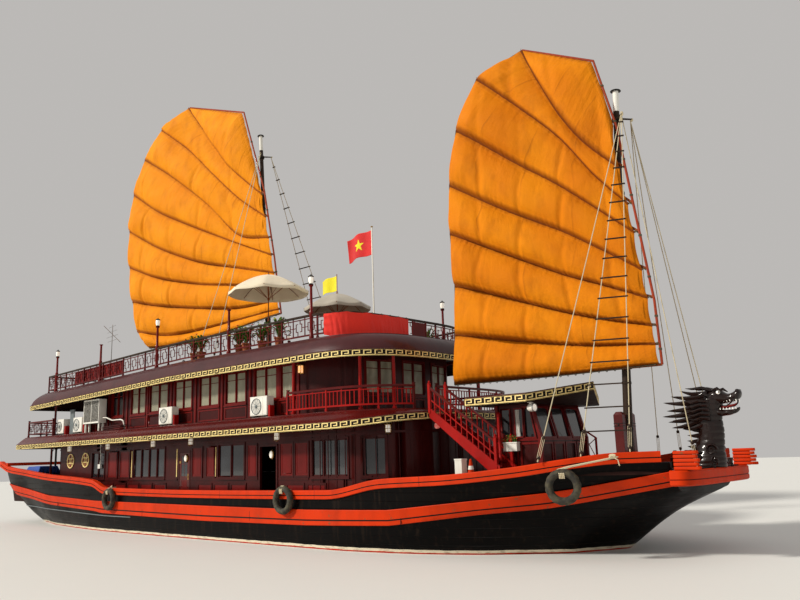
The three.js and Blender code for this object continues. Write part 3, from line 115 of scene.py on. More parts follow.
class Recipe:  # one material and the nodes behind it
    def __init__(self, name, **uniform):
        self.material = bpy.data.materials.new(name)
        self.material.use_nodes = True
        self.tree = self.material.node_tree
        self.surface = self.tree.nodes["Principled BSDF"]
        for key, value in uniform.items():
            self.surface.inputs[key.replace("_", " ")].default_value = value
        self.here = self.node("TexCoord", out="Object")

    def feed(self, socket, value):
        if isinstance(value, Wire):
            self.tree.links.new(value.socket, socket)
        else:
            socket.default_value = value

    def node(self, kind, settings=None, sockets=None, out=0):
        made = self.tree.nodes.new("ShaderNode" + kind)
        for key, value in (settings or {}).items():
            if key == "stops":
                ends = made.color_ramp.elements
                while len(ends) < len(value):
                    ends.new(0.5)
                for end, (place, colour) in zip(ends, value):
                    end.position, end.color = place, colour
            else:
                setattr(made, key, value)
        for key, value in (sockets or {}).items():
            self.feed(made.inputs[key], value)
        return Wire(self, made.outputs[out])

    def set(self, key, value):
        self.feed(self.surface.inputs[key], value)

    def stretched(self, scale, start=None):
        return self.node("VectorMath", {"operation": "MULTIPLY"}, {0: start or self.here, 1: scale})

    def noise(self, scale=1, detail=3, stretch=(1, 1, 1), start=None):
        return self.node("TexNoise", None, {"Vector": self.stretched(stretch, start), "Scale": scale,
                                            "Detail": detail, "Roughness": 0.55})

    def mix(self, factor, first, second):
        return self.node("Mix", {"data_type": "RGBA"}, {0: factor, 6: first, 7: second}, 2)

    def ramp(self, value, low, high, first=(0, 0, 0, 1), second=(1, 1, 1, 1)):
        return self.node("ValToRGB", {"stops": [(low, first), (high, second)]}, {0: value})

    def axis(self, letter, start=None):
        return self.node("SeparateXYZ", None, {0: start or self.here}, letter)

    def relief(self, height, depth, strength=1.0):
        self.set("Normal", self.node("Bump", None, {"Height": height, "Distance": depth, "Strength": strength}))


# finishes
def painted(name, colour, dirt, rough=0.35, wear=0.25, coat=0.0, grain=(1, 8, 8), chips=None):
    # brushed paint on wood: faint grain, grime in broad patches, chips where chips is given
    r = Recipe(name, Coat_Roughness=0.12, Coat_Weight=coat, Specular_IOR_Level=0.12)
    patches = r.ramp(r.noise(0.9, 5), 0.42, 0.72)
    streaks = r.ramp(r.noise(2.2, 4, (1.2, 1.2, 0.25)), 0.45, 0.8)
    shade = r.mix(patches * wear, colour, dirt)
    shade = r.mix(streaks * wear, shade, dirt)
    if chips:
        flakes = r.ramp(r.noise(7, 6), 0.66, 0.7)
        shade = r.mix(flakes * 0.8, shade, chips)
    r.set("Base Color", shade)
    r.set("Roughness", r.noise(5, 4) * 0.3 + (rough - 0.1))
    r.relief(r.noise(6, 5, grain), 0.006, 0.5)
    return r.material


def woven(name, colour, second, folds=0.02):
    r = Recipe(name, Sheen_Weight=0.15, Sheen_Roughness=0.5)
    tone = r.ramp(r.noise(1.1, 5), 0.35, 0.75)
    r.set("Base Color", r.mix(tone * 0.55, colour, second))
    r.set("Roughness", r.noise(3, 3) * 0.2 + 0.75)
    threads = r.node("TexWave", {"wave_type": "BANDS", "bands_direction": "Z"}, {"Vector": r.here, "Scale": 120})
    r.relief(threads * 0.08 + r.noise(4, 5), folds, 0.6)
    return r.material


def planked(name, colour, second):
    # boards with dark seams, laid along x
    r = Recipe(name)
    laid = {"Vector": r.here, "Scale": 1, "Brick Width": 2.6, "Row Height": 0.14}
    bond = {"offset": 0.37, "offset_frequency": 2}
    boards = r.node("TexBrick", bond, {**laid, "Color1": colour, "Color2": second, "Mortar": tint(14, 10, 8),
                                       "Mortar Size": 0.005})
    grain = r.ramp(r.noise(9, 6, (0.6, 9, 9)), 0.35, 0.8)
    worn = r.ramp(r.noise(0.6, 4), 0.45, 0.75)
    shade = r.mix(grain * 0.45, boards, second)
    r.set("Base Color", r.mix(worn * 0.25, shade, tint(120, 100, 80)))
    r.set("Roughness", r.noise(4, 3) * 0.25 + 0.45)
    seam = r.node("TexBrick", bond, {**laid, "Mortar Size": 0.006}, "Fac")
    r.relief(seam * -1 + grain * 0.15, 0.006)
    return r.material


def metal(name, colour, second, rough=0.35, metallic=0.9):
    r = Recipe(name, Metallic=metallic)
    stains = r.ramp(r.noise(6, 5), 0.45, 0.75)
    r.set("Base Color", r.mix(stains * 0.6, colour, second))
    r.set("Roughness", stains * 0.3 + rough)
    r.relief(r.noise(30, 3), 0.002, 0.4)
    return r.material


def glowing(name, colour, strength):
    r = Recipe(name, Roughness=0.3, Emission_Strength=strength)
    tone = r.mix(r.ramp(r.noise(14, 2), 0.3, 0.7) * 0.4, colour, tint(255, 246, 225))
    r.set("Base Color", tone)
    r.set("Emission Color", tone)
    return r.material


def hullPaint():
    # black topsides with plank seams, a white line and red below it
    r = Recipe("hullPaint", Specular_IOR_Level=0.06)
    height = r.axis("Z")
    seams = r.node("TexWave", {"wave_type": "BANDS", "bands_direction": "Z", "wave_profile": "SAW"},
                   {"Vector": r.here, "Scale": 1.35, "Distortion": 0.25, "Detail Scale": 0.4})
    seamLine = r.ramp(seams, 0.0, 0.05, (1, 1, 1, 1), (0, 0, 0, 1))
    dust = r.ramp(r.noise(1.3, 6, (0.5, 0.5, 1.6)), 0.48, 0.8)
    runs = r.ramp(r.noise(3.5, 5, (2.2, 2.2, 0.14)), 0.55, 0.8)
    topsides = r.mix(dust * 0.2, tint(5, 4, 4), tint(28, 22, 18))
    topsides = r.mix(runs * 0.3, topsides, tint(66, 50, 38))
    topsides = r.mix(seamLine * 0.6, topsides, tint(6, 5, 5))
    ragged = height + (r.noise(2.5, 4) - 0.5) * 0.045
    line = r.mix(r.ramp(r.noise(4, 4, (1, 1, 3)), 0.5, 0.75) * 0.75, tint(225, 215, 190), tint(120, 80, 50))
    red = r.mix(r.ramp(r.noise(3, 6), 0.4, 0.8) * 0.6, tint(196, 52, 28), tint(96, 40, 22))
    shade = r.mix(ragged < 0.115, topsides, line)
    r.set("Base Color", r.mix(ragged < 0.04, shade, red))
    r.set("Roughness", dust * 0.3 + 0.32)
    r.relief(seamLine * -1 + r.noise(2.2, 5, (0.35, 0.35, 1.5)) * 0.7, 0.012, 0.8)
    return r.material


# shade is the stain colour and also the painted shade at the seams and creases
def sailCloth(name, colour, shade, light):
    # U runs along the battens in metres, V counts the panels: seams lie where V is whole
    r = Recipe(name, Specular_IOR_Level=0.12)
    spread = r.node("TexCoord", out="UV")
    panel = r.node("Math", {"operation": "FRACT"}, {0: r.axis("Y", spread)})
    # nearLow and nearHigh mark the cloth next to the seam below and the batten above; they carry painted shade and also
    # place the tucks
    nearLow = r.ramp(panel, 0.0, 0.13, (1, 1, 1, 1), (0, 0, 0, 1))
    nearHigh = r.ramp(panel, 0.90, 1.0)
    broad = r.ramp(r.noise(0.55, 4), 0.35, 0.7)
    stains = r.ramp(r.noise(2.3, 6, (1, 1, 0.5)), 0.5, 0.85)
    base = r.mix(broad * 0.6, colour, light)
    base = r.mix(stains * 0.35, base, shade)
    # painted shade: thin dark upright lines, broken by noise, where the cloth creases
    upright = r.node("Math", {"operation": "FRACT"}, {0: r.axis("X", spread) * 0.62 + r.noise(0.5, 2) * 0.5})
    fold = r.ramp(upright, 0.0, 0.05, (1, 1, 1, 1), (0, 0, 0, 1)) * r.ramp(r.noise(0.8, 3), 0.42, 0.6)
    base = r.mix(fold * 0.35, base, shade)
    # painted shade: the cloth darkens just above each seam, where the belly turns under, and just under each batten
    base = r.mix(nearLow * 0.9, base, shade)
    r.set("Base Color", r.mix(nearHigh * 0.4, base, shade))
    r.set("Roughness", r.noise(2, 3) * 0.2 + 0.62)
    tucks = r.noise(1, 3, (7.5, 0.9, 0), spread)  # gathers that run out from the seams
    crease = r.noise(1.0, 5, (1.6, 1.3, 0), spread)
    weave = r.node("TexWave", {"wave_type": "BANDS", "bands_direction": "X"}, {"Vector": spread, "Scale": 60})
    near = nearLow + nearHigh + 0.10
    r.relief(tucks * near + crease * 0.7 + weave * 0.012, 0.10, 1.0)
    return r.material


def glassy():
    r = Recipe("windowGlass", Coat_Weight=0.6, Coat_Roughness=0.03)
    tone = r.ramp(r.noise(0.8, 3), 0.4, 0.7)
    r.set("Base Color", r.mix(tone * 0.6, tint(16, 16, 18), tint(44, 48, 54)))
    r.set("Roughness", tone * 0.12 + 0.08)
    return r.material


def curtained(name, colour, second):
    r = Recipe(name, Coat_Weight=0.3, Coat_Roughness=0.08)
    folds = r.node("TexWave", {"wave_type": "BANDS", "bands_direction": "X"},
                   {"Vector": r.here, "Scale": 4.5, "Distortion": 3, "Detail": 2, "Detail Scale": 0.6})
    lower = r.ramp(r.noise(1.5, 3), 0.4, 0.7)
    # painted shade: the colour darkens in bands that follow the folds
    shade = r.mix(folds * 0.6, colour, second)
    r.set("Base Color", r.mix(lower * 0.4, shade, second))
    r.set("Roughness", lower * 0.2 + 0.45)
    r.relief(folds, 0.02)
    return r.material


def rubber():
    r = Recipe("tyreRubber", Roughness=0.8)
    dry = r.ramp(r.noise(7, 6), 0.4, 0.75)
    r.set("Base Color", r.mix(dry, tint(34, 31, 24), tint(84, 78, 56)))
    r.relief(r.noise(24, 5), 0.008)
    return r.material


def twisted(name, colour, second):
    r = Recipe(name, Roughness=0.9)
    strands = r.node("TexWave", {"wave_type": "BANDS", "bands_direction": "DIAGONAL"},
                     {"Vector": r.here, "Scale": 14, "Distortion": 1})
    r.set("Base Color", r.mix(strands * 0.6, colour, second))
    r.relief(strands, 0.004)
    return r.material


def makeStageFinish():
    r = Recipe("paleFloor", Roughness=0.65)
    r.set("Base Color", r.mix(r.noise(0.3, 3) * 0.3, tint(226, 226, 222), tint(214, 215, 213)))
    return r.material


finish = {
    "hull": hullPaint(),
    "orange": painted("orangePaint", tint(202, 50, 0), tint(128, 34, 4), 0.5, 0.35, 0.0, (0.4, 5, 12),
                      tint(120, 74, 44)),
    "lacquer": painted("redLacquer", tint(66, 10, 8), tint(26, 7, 6), 0.34, 0.5, 0.12, (8, 8, 0.7)),
    "panel": painted("panelRed", tint(108, 14, 10), tint(56, 10, 8), 0.32, 0.4, 0.12, (8, 8, 0.7)),
    "rail": painted("railRed", tint(92, 14, 12), tint(38, 9, 9), 0.34, 0.45, 0.12),
    "stair": painted("stairRed", tint(160, 14, 8), tint(90, 10, 7), 0.36, 0.35, 0.08, (4, 4, 4)),
    "skirt": painted("roofSkirt", tint(74, 34, 36), tint(44, 18, 20), 0.36, 0.5, 0.3, (0.5, 0.5, 3)),
    "fascia": painted("fasciaRed", tint(84, 14, 10), tint(44, 9, 7), 0.24, 0.4, 0.45, (6, 6, 1)),
    "band": painted("bandBlack", tint(18, 11, 8), tint(34, 22, 14), 0.45, 0.3, 0.05),
    "gold": metal("goldLeaf", tint(250, 226, 150), tint(190, 148, 70), 0.42, 0.15),
    "brass": metal("agedBrass", tint(190, 150, 80), tint(90, 66, 36), 0.3, 0.85),
    "deck": planked("deckBoards", tint(122, 88, 58), tint(92, 64, 42)),
    "ceiling": painted("deckUnderside", tint(44, 22, 18), tint(28, 16, 12), 0.6, 0.4, 0.0, (8, 1, 1)),
    "spar": painted("sparWood", tint(140, 72, 36), tint(92, 46, 26), 0.5, 0.4, 0.1),
    "luff": painted("luffPole", tint(160, 62, 34), tint(104, 44, 28), 0.5, 0.4, 0.1),
    "mast": painted("mastWood", tint(52, 38, 28), tint(28, 22, 18), 0.5, 0.5, 0.1, (9, 9, 0.5)),
    "dragon": painted("dragonWood", tint(30, 14, 10), tint(12, 7, 6), 0.28, 0.5, 0.5, (5, 5, 5)),
    # each sail's second colour is its stains and also the painted shade at the seams and creases
    "sail": sailCloth("foreSailCloth", tint(206, 114, 2), tint(96, 38, 0), tint(226, 138, 4)),
    "aftSail": sailCloth("aftSailCloth", tint(220, 130, 2), tint(124, 56, 0), tint(236, 150, 6)),
    "red": woven("redCloth", tint(238, 48, 30), tint(206, 26, 22), 0.04),
    "flag": woven("flagRed", tint(214, 32, 30), tint(170, 20, 22)),
    "yellow": woven("yellowCloth", tint(236, 226, 30), tint(206, 186, 16)),
    "cream": woven("creamCanvas", tint(238, 226, 200), tint(206, 190, 158)),
    "grey": woven("greyCanvas", tint(182, 174, 158), tint(140, 132, 118)),
    "blue": woven("blueTarpaulin", tint(40, 82, 170), tint(24, 52, 118)),
    "rope": twisted("paleRope", tint(214, 202, 170), tint(150, 134, 100)),
    "cord": twisted("darkRope", tint(110, 96, 70), tint(60, 52, 38)),
    "white": painted("whiteEnamel", tint(236, 234, 226), tint(186, 178, 158), 0.35, 0.35, 0.2, (1, 1, 1)),
    "greyPaint": painted("greyPaint", tint(112, 120, 122), tint(78, 82, 84), 0.5, 0.4),
    "black": painted("blackIron", tint(24, 23, 22), tint(44, 36, 30), 0.45, 0.4),
    "steel": metal("wornSteel", tint(150, 150, 150), tint(92, 86, 80), 0.35, 0.9),
    "bronze": metal("propellerBronze", tint(176, 130, 62), tint(92, 96, 66), 0.35, 0.9),
    "iron": painted("engineGreen", tint(64, 82, 74), tint(36, 34, 30), 0.5, 0.5),
    "glass": glassy(),
    # each curtain's second colour is the painted shade of its folds and also its darker patches
    "curtain": curtained("beigeCurtain", tint(176, 172, 146), tint(104, 100, 82)),
    "whiteCurtain": curtained("whiteCurtain", tint(226, 224, 214), tint(150, 148, 140)),
    # near black for the insides behind the fan grilles and the cabinet's louvres: painted shade
    "dark": painted("paintedShadeInside", tint(16, 11, 9), tint(26, 18, 14), 0.7, 0.3),
    "tyre": rubber(),
    "lamp": glowing("lampGlass", tint(250, 246, 236), 0.25),
    "warmLamp": glowing("warmLamp", tint(255, 170, 84), 1.1),
    "redLamp": glowing("redLamp", tint(230, 24, 18), 0.35),
    "leaf": painted("plantLeaf", tint(64, 104, 34), tint(110, 130, 50), 0.6, 0.6, 0.0, (3, 3, 3)),
    "clay": painted("clayPot", tint(160, 92, 60), tint(110, 66, 46), 0.7, 0.4, 0.0),
    "floor": makeStageFinish(),
}
slotFinish = {
    "hull_paint": "hull", "orange_paint": "orange", "red_lacquer": "lacquer", "dark_rail": "rail",
    "stair_red": "stair", "roof_skirt": "skirt", "deck_wood": "deck", "spar_wood": "spar", "mast_wood": "mast",
    "dragon_wood": "dragon", "sail_cloth": "sail", "red_cloth": "red", "cream_cloth": "cream", "rope": "rope",
    "bronze": "bronze", "steel": "steel", "engine_iron": "iron", "tyre": "tyre", "white_paint": "white",
}
print("finishes made")


# mesh building
def circle(count):  # angles all the way round
    return [math.tau * n / count for n in range(count)]


def corners(low, high, z):  # a flat rectangle between two corners in plan
    (a, b), (c, d) = low, high
    return [(a, b, z), (c, b, z), (c, d, z), (a, d, z)]


class Shape:  # points and faces in ship metres; mark is the finish that new faces take
    def __init__(self):
        self.points, self.faces, self.marks, self.mark = [], [], [], 0

    def add(self, points, faces):
        first = len(self.points)
        self.points.extend(tuple(p) for p in points)
        for face in faces:
            self.faces.append([first + i for i in face])
            self.marks.append(self.mark)

    def box(self, one, other):  # between two opposite corners, in either order
        (a, d), (b, e), (c, f) = (sorted(ends) for ends in zip(one, other))
        self.hexa(corners((a, b), (d, e), c), corners((a, b), (d, e), f))

    def hexa(self, low, high):
        self.add(low + high, [(3, 2, 1, 0), (4, 5, 6, 7), (0, 1, 5, 4), (1, 2, 6, 5), (2, 3, 7, 6), (3, 0, 4, 7)])

    def beam(self, start, end, wide, deep, up=(0, 0, 1)):
        start, end = Vector(start), Vector(end)
        ahead = (end - start).normalized()
        across = ahead.cross(Vector(up))
        if across.length < 1e-4:
            across = ahead.cross(Vector((1, 0, 0)))
        across = across.normalized() * wide / 2
        lift = across.cross(ahead).normalized() * deep / 2
        ring = [-across - lift, across - lift, across + lift, -across + lift]
        self.hexa([start + p for p in ring], [end + p for p in ring])

    def tube(self, path, radius, sides=8, closed=False):
        path = [Vector(p) for p in path]
        radii = radius if isinstance(radius, (list, tuple)) else [radius] * len(path)
        count, rings, side = len(path), [], None
        for i, here in enumerate(path):
            before = path[i - 1] if i or closed else here
            after = path[(i + 1) % count] if i + 1 < count or closed else here
            ahead = (after - before).normalized()
            if side is None:
                side = ahead.orthogonal().normalized()
            side = (side - ahead * side.dot(ahead)).normalized()
            other = ahead.cross(side)
            rings.append([here + (side * math.cos(a) + other * math.sin(a)) * radii[i]
                          for a in circle(sides)])
        self.rings(rings, closed)

    def rings(self, rings, closed=False, caps=True):
        width, faces = len(rings[0]), []
        spans = len(rings) if closed else len(rings) - 1
        for r in range(spans):
            a, b = r * width, (r + 1) % len(rings) * width
            for s in range(width):
                t = (s + 1) % width
                faces.append((a + s, a + t, b + t, b + s))
        if caps and not closed:
            faces += [tuple(reversed(range(width))), tuple(range(len(rings) * width - width, len(rings) * width))]
        self.add([p for ring in rings for p in ring], faces)

    def lathe(self, profile, place, ahead=(0, 0, 1), sides=24):
        ahead, place = Vector(ahead).normalized(), Vector(place)
        side = ahead.orthogonal().normalized()
        other = ahead.cross(side)
        self.rings([[place + ahead * z + (side * math.cos(a) + other * math.sin(a)) * max(r, 0.0004)
                     for a in circle(sides)] for r, z in profile])

    def ball(self, place, size, sides=12):
        w, d, h = size if isinstance(size, (list, tuple)) else (size,) * 3
        place = Vector(place)
        rows = []
        for i in range(sides // 2 + 1):
            lat = math.pi * i / (sides // 2) - math.pi / 2
            ring = max(math.cos(lat), 0.01)
            rows.append([place + Vector((w * ring * math.cos(a), d * ring * math.sin(a), h * math.sin(lat)))
                         for a in circle(sides)])
        self.rings(rows)

    def slab(self, outline, low, high):  # a flat outline of x and y
        count = len(outline)
        points = [(x, y, low) for x, y in outline] + [(x, y, high) for x, y in outline]
        sides = [(i, (i + 1) % count, count + (i + 1) % count, count + i) for i in range(count)]
        self.add(points, [tuple(reversed(range(count))), tuple(range(count, 2 * count))] + sides)

    def prism(self, outline, near, far):  # an outline of x and z between two y
        count = len(outline)
        self.add([(x, near, z) for x, z in outline] + [(x, far, z) for x, z in outline],
                 [tuple(range(count)), tuple(reversed(range(count, 2 * count)))]
                 + [(i, count + i, count + (i + 1) % count, (i + 1) % count) for i in range(count)])

    def cloth(self, across, up, at, skin, closed=True):  # two skins of a sheet, closed round its rim
        wide = across + 1
        faces = [(j * wide + i, j * wide + i + 1, (j + 1) * wide + i + 1, (j + 1) * wide + i)
                 for j in range(up) for i in range(across)]
        for side in (skin, -skin):
            self.add([at(i, j, side) for j in range(up + 1) for i in range(wide)],
                     faces if side > 0 else [tuple(reversed(f)) for f in faces])
        if not closed:
            return
        rim = list(range(wide)) + [j * wide + across for j in range(1, up + 1)]
        rim += [up * wide + i for i in range(across - 1, -1, -1)] + [j * wide for j in range(up - 1, 0, -1)]
        total = wide * (up + 1)
        for one, two in zip(rim, rim[1:] + rim[:1]):
            self.faces.append([two, one, total + one, total + two])
            self.marks.append(self.mark)

    def mirrored(self):  # the same shape again on the other side of the centreline
        count = len(self.points)
        self.points += [(x, -y, z) for x, y, z in self.points]
        self.faces += [[count + i for i in reversed(face)] for face in self.faces]
        self.marks += list(self.marks)
        return self


def piece(name, shape, body, finishes, replaces=(), sharp=35, bevel=0.0, uv=None):
    mesh = bpy.data.meshes.new(name)
    mesh.from_pydata(shape.points, [], shape.faces)
    for key in finishes:
        mesh.materials.append(finish[key])
    mesh.polygons.foreach_set("material_index", shape.marks)
    if not uv:
        work = bmesh.new()
        work.from_mesh(mesh)
        bmesh.ops.remove_doubles(work, verts=work.verts, dist=0.0001)
        bmesh.ops.recalc_face_normals(work, faces=work.faces)
        work.to_mesh(mesh)
        work.free()
    mesh.validate()
    mesh.shade_smooth()
    mesh.set_sharp_from_angle(angle=math.radians(sharp))
    if uv:
        layer = mesh.uv_layers.new(name="UVMap")
        for loop in mesh.loops:
            layer.data[loop.index].uv = uv[loop.vertex_index]
    made = bpy.data.objects.new(name, mesh)
    bpy.context.scene.collection.objects.link(made)
    if bevel:
        edge = made.modifiers.new("edges", "BEVEL")
        edge.width, edge.segments, edge.limit_method, edge.angle_limit = bevel, 2, "ANGLE", math.radians(40)
    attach(made, body)
    if replaces:
        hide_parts(*replaces)
    return made


def titled(name):  # a node's name as a piece's name: fan_unit_1 becomes FanUnit1
    return name.title().replace("_", "")


def plainName(name):  # the same with a small first letter: stern_rail becomes sternRail
    first, rest = name.split("_", 1)
    return first + titled(rest)


def oneSide(made):  # area of a cloth of two skins
    return sum(f.area for f in made.data.polygons) / 2


def blendTo(values, share):  # a smooth curve through values, share from 0 to 1
    spot = min(max(share, 0), 1) * (len(values) - 1)
    i = min(int(spot), len(values) - 2)
    t = spot - i
    p = [values[min(max(k, 0), len(values) - 1)] for k in (i - 1, i, i + 1, i + 2)]
    if isinstance(p[0], (int, float)):
        p = [Vector((v, 0)) for v in p]
        return curveAt(p, t).x
    return curveAt([Vector(v) for v in p], t)


def curveAt(p, t):
    return 0.5 * (2 * p[1] + (p[2] - p[0]) * t + (2 * p[0] - 5 * p[1] + 4 * p[2] - p[3]) * t * t
                  + (3 * p[1] - p[0] - 3 * p[2] + p[3]) * t ** 3)


def table(rows, x, column):  # straight lines between the rows of a table
    for low, high in zip(rows, rows[1:]):
        if x <= high[0] or high is rows[-1]:
            share = (x - low[0]) / (high[0] - low[0])
            return low[column] + (high[column] - low[column]) * share


def smoothTable(rows, x, column):  # a curve with no overshoot through the rows of a table
    n = len(rows)
    i = next((k for k in range(n - 1) if x <= rows[k + 1][0]), n - 2)

    def slope(k):
        if k <= 0 or k >= n - 1:
            j = 0 if k <= 0 else n - 2
            return (rows[j + 1][column] - rows[j][column]) / (rows[j + 1][0] - rows[j][0])
        a = (rows[k][column] - rows[k - 1][column]) / (rows[k][0] - rows[k - 1][0])
        b = (rows[k + 1][column] - rows[k][column]) / (rows[k + 1][0] - rows[k][0])
        return 0 if a * b <= 0 else 2 * a * b / (a + b)

    run = rows[i + 1][0] - rows[i][0]
    t = (x - rows[i][0]) / run
    a, b = rows[i][column], rows[i + 1][column]
    m, k = slope(i) * run, slope(i + 1) * run
    return (a * (2 * t ** 3 - 3 * t * t + 1) + m * (t ** 3 - 2 * t * t + t) + b * (3 * t * t - 2 * t ** 3)
            + k * (t ** 3 - t * t))


# stage and lights
stage = {"floor": 260, "sky": 0.5, "sun": 3.4, "sunTurn": -34, "sunHeight": 32, "softness": 6}


def makeStage():
    half = stage["floor"] / 2
    mesh = bpy.data.meshes.new("floor")
    mesh.from_pydata(corners((-half, -half), (half, half), 0), [], [(0, 1, 2, 3)])
    mesh.materials.append(finish["floor"])
    ground = bpy.data.objects.new("floor", mesh)
    bpy.context.scene.collection.objects.link(ground)
    world = bpy.data.worlds.new("studio")
    world.use_nodes = True
    back = world.node_tree.nodes["Background"]
    back.inputs["Color"].default_value = (1.0, 0.97, 0.94, 1)
    back.inputs["Strength"].default_value = stage["sky"]
    bpy.context.scene.world = world
    data = bpy.data.lights.new("key", "SUN")
    data.energy, data.angle, data.color = stage["sun"], math.radians(stage["softness"]), (1.0, 0.95, 0.86)
    lamp = bpy.data.objects.new("key", data)
    turn, height = math.radians(stage["sunTurn"]), math.radians(stage["sunHeight"])
    toLamp = Vector((math.sin(turn) * math.cos(height), -math.cos(turn) * math.cos(height), math.sin(height)))
    lamp.rotation_mode = "QUATERNION"
    lamp.rotation_quaternion = toLamp.to_track_quat("Z", "Y")
    bpy.context.scene.collection.objects.link(lamp)


makeStage()

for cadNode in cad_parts.values():  # every CAD node takes the finish of its slot, whether it stays or not
    for place in cadNode.material_slots:
        place.material = finish[slotFinish[place.material.name.split(".")[0]]]
print("stage and frame finished")


# sails
foreSail = {
    "name": "foreSail", "body": "fore_sail_body", "replaces": "fore_sail", "cloth": "sail",
    "pivot": 12.4283, "swing": 6, "face": -0.290, "belly": 0.36, "clear": 9.0, "across": 250, "rows": 13,
    "strips": 1.35, "seams": [  # leech to luff: forward of the mast's foot, height
        [(-5.38, 4.74), (-3.5, 4.73), (-1.5, 4.74), (1.02, 4.80)],
        [(-5.27, 6.30), (-3.71, 5.98), (-1.71, 5.61), (-0.58, 5.46), (0.97, 5.34)],
        [(-5.20, 7.88), (-3.63, 7.31), (-1.64, 6.57), (-0.23, 6.13), (0.93, 5.85)],
        [(-5.29, 9.62), (-3.54, 8.69), (-1.61, 7.70), (-0.43, 7.19), (0.88, 6.62)],
        [(-5.23, 11.25), (-3.45, 10.1), (-2.13, 9.34), (-1.15, 8.77), (0.80, 7.42)],
        [(-4.88, 13.08), (-4.03, 12.42), (-2.67, 11.32), (-1.38, 10.33), (0.68, 8.50)],
        [(-4.01, 14.64), (-2.54, 13.18), (-1.29, 11.83), (-0.3, 10.4), (0.58, 9.35)],
        [(-2.36, 15.08), (-1.93, 14.04), (-1.24, 12.56), (-0.53, 11.47), (0.44, 10.45)],
        [(-2.34, 15.09), (-0.12, 13.93), (0.14, 12.9), (0.37, 11.75)],
    ],
    "cornered": 8, "flat": (6.6, 10.9), "seed": 3,
}
aftSail = {
    "name": "aftSail", "body": "aft_sail_body", "replaces": "aft_sail", "cloth": "aftSail",
    "pivot": -3.1592, "swing": 0, "face": -0.290, "belly": 0.28, "clear": 12.5, "across": 300, "rows": 12,
    "strips": 2.3, "seams": [
        [(-8.72, 8.12), (-7.6, 8.02), (-5.2, 7.98), (-2.2, 8.12), (1.08, 8.42)],
        [(-9.86, 9.06), (-7.59, 8.58), (-5.31, 8.42), (-2.0, 8.50), (1.06, 8.60)],
        [(-10.42, 10.66), (-7.93, 10.06), (-4.56, 9.45), (-1.57, 9.01), (1.0, 8.98)],
        [(-10.84, 12.52), (-8.01, 11.46), (-4.59, 10.58), (-1.59, 10.02), (0.90, 9.52)],
        [(-11.00, 14.50), (-8.09, 13.0), (-4.63, 11.63), (-1.6, 10.78), (0.78, 10.15)],
        [(-10.70, 16.42), (-8.19, 14.88), (-5.51, 13.6), (-2.35, 12.2), (0.60, 10.95)],
        [(-9.72, 18.08), (-6.91, 16.33), (-3.92, 14.2), (-1.62, 12.27), (0.42, 11.75)],
        [(-8.18, 19.25), (-5.66, 17.42), (-3.56, 15.57), (-1.65, 13.97), (0.20, 12.7)],
        [(-5.80, 19.64), (-4.69, 18.35), (-3.2, 16.59), (-2.26, 15.55), (-0.06, 13.75)],
        [(-5.76, 19.65), (-1.5, 17.96), (-1.02, 16.6), (-0.30, 14.5)],
    ],
    "cornered": 9, "flat": (12.4, 12.2), "seed": 8,
}


sailFolds = {  # what breaks up a panel of sail cloth, depths in metres
    "strip": 0.13, "stripWide": 0.10, "pucker": 0.019, "puckerPitch": 0.19, "slant": 0.05, "fine": 0.022,
    "scallop": 0.035, "room": (0.13, 0.30, 0.12),  # belly before the shrouds: least, more aside, more below
}


def evenLine(points, count, cornered):
    dense = [Vector(p) for p in points]
    if not cornered:
        dense = [blendTo(points, i / 80).copy() for i in range(81)]
        dense = [Vector(p[:2]) for p in dense]
    lengths = [0]
    for a, b in zip(dense, dense[1:]):
        lengths.append(lengths[-1] + (b - a).length)
    line, k = [], 0
    for i in range(count + 1):
        want = lengths[-1] * i / count
        while k < len(dense) - 2 and lengths[k + 1] < want:
            k += 1
        line.append(dense[k].lerp(dense[k + 1], (want - lengths[k]) / (lengths[k + 1] - lengths[k])))
    return line


def sailPoint(sail, u, w, out):
    turn = math.radians(sail["swing"])
    y = sail["face"] - out
    return (sail["pivot"] + u * math.cos(turn) - y * math.sin(turn), u * math.sin(turn) + y * math.cos(turn), w)


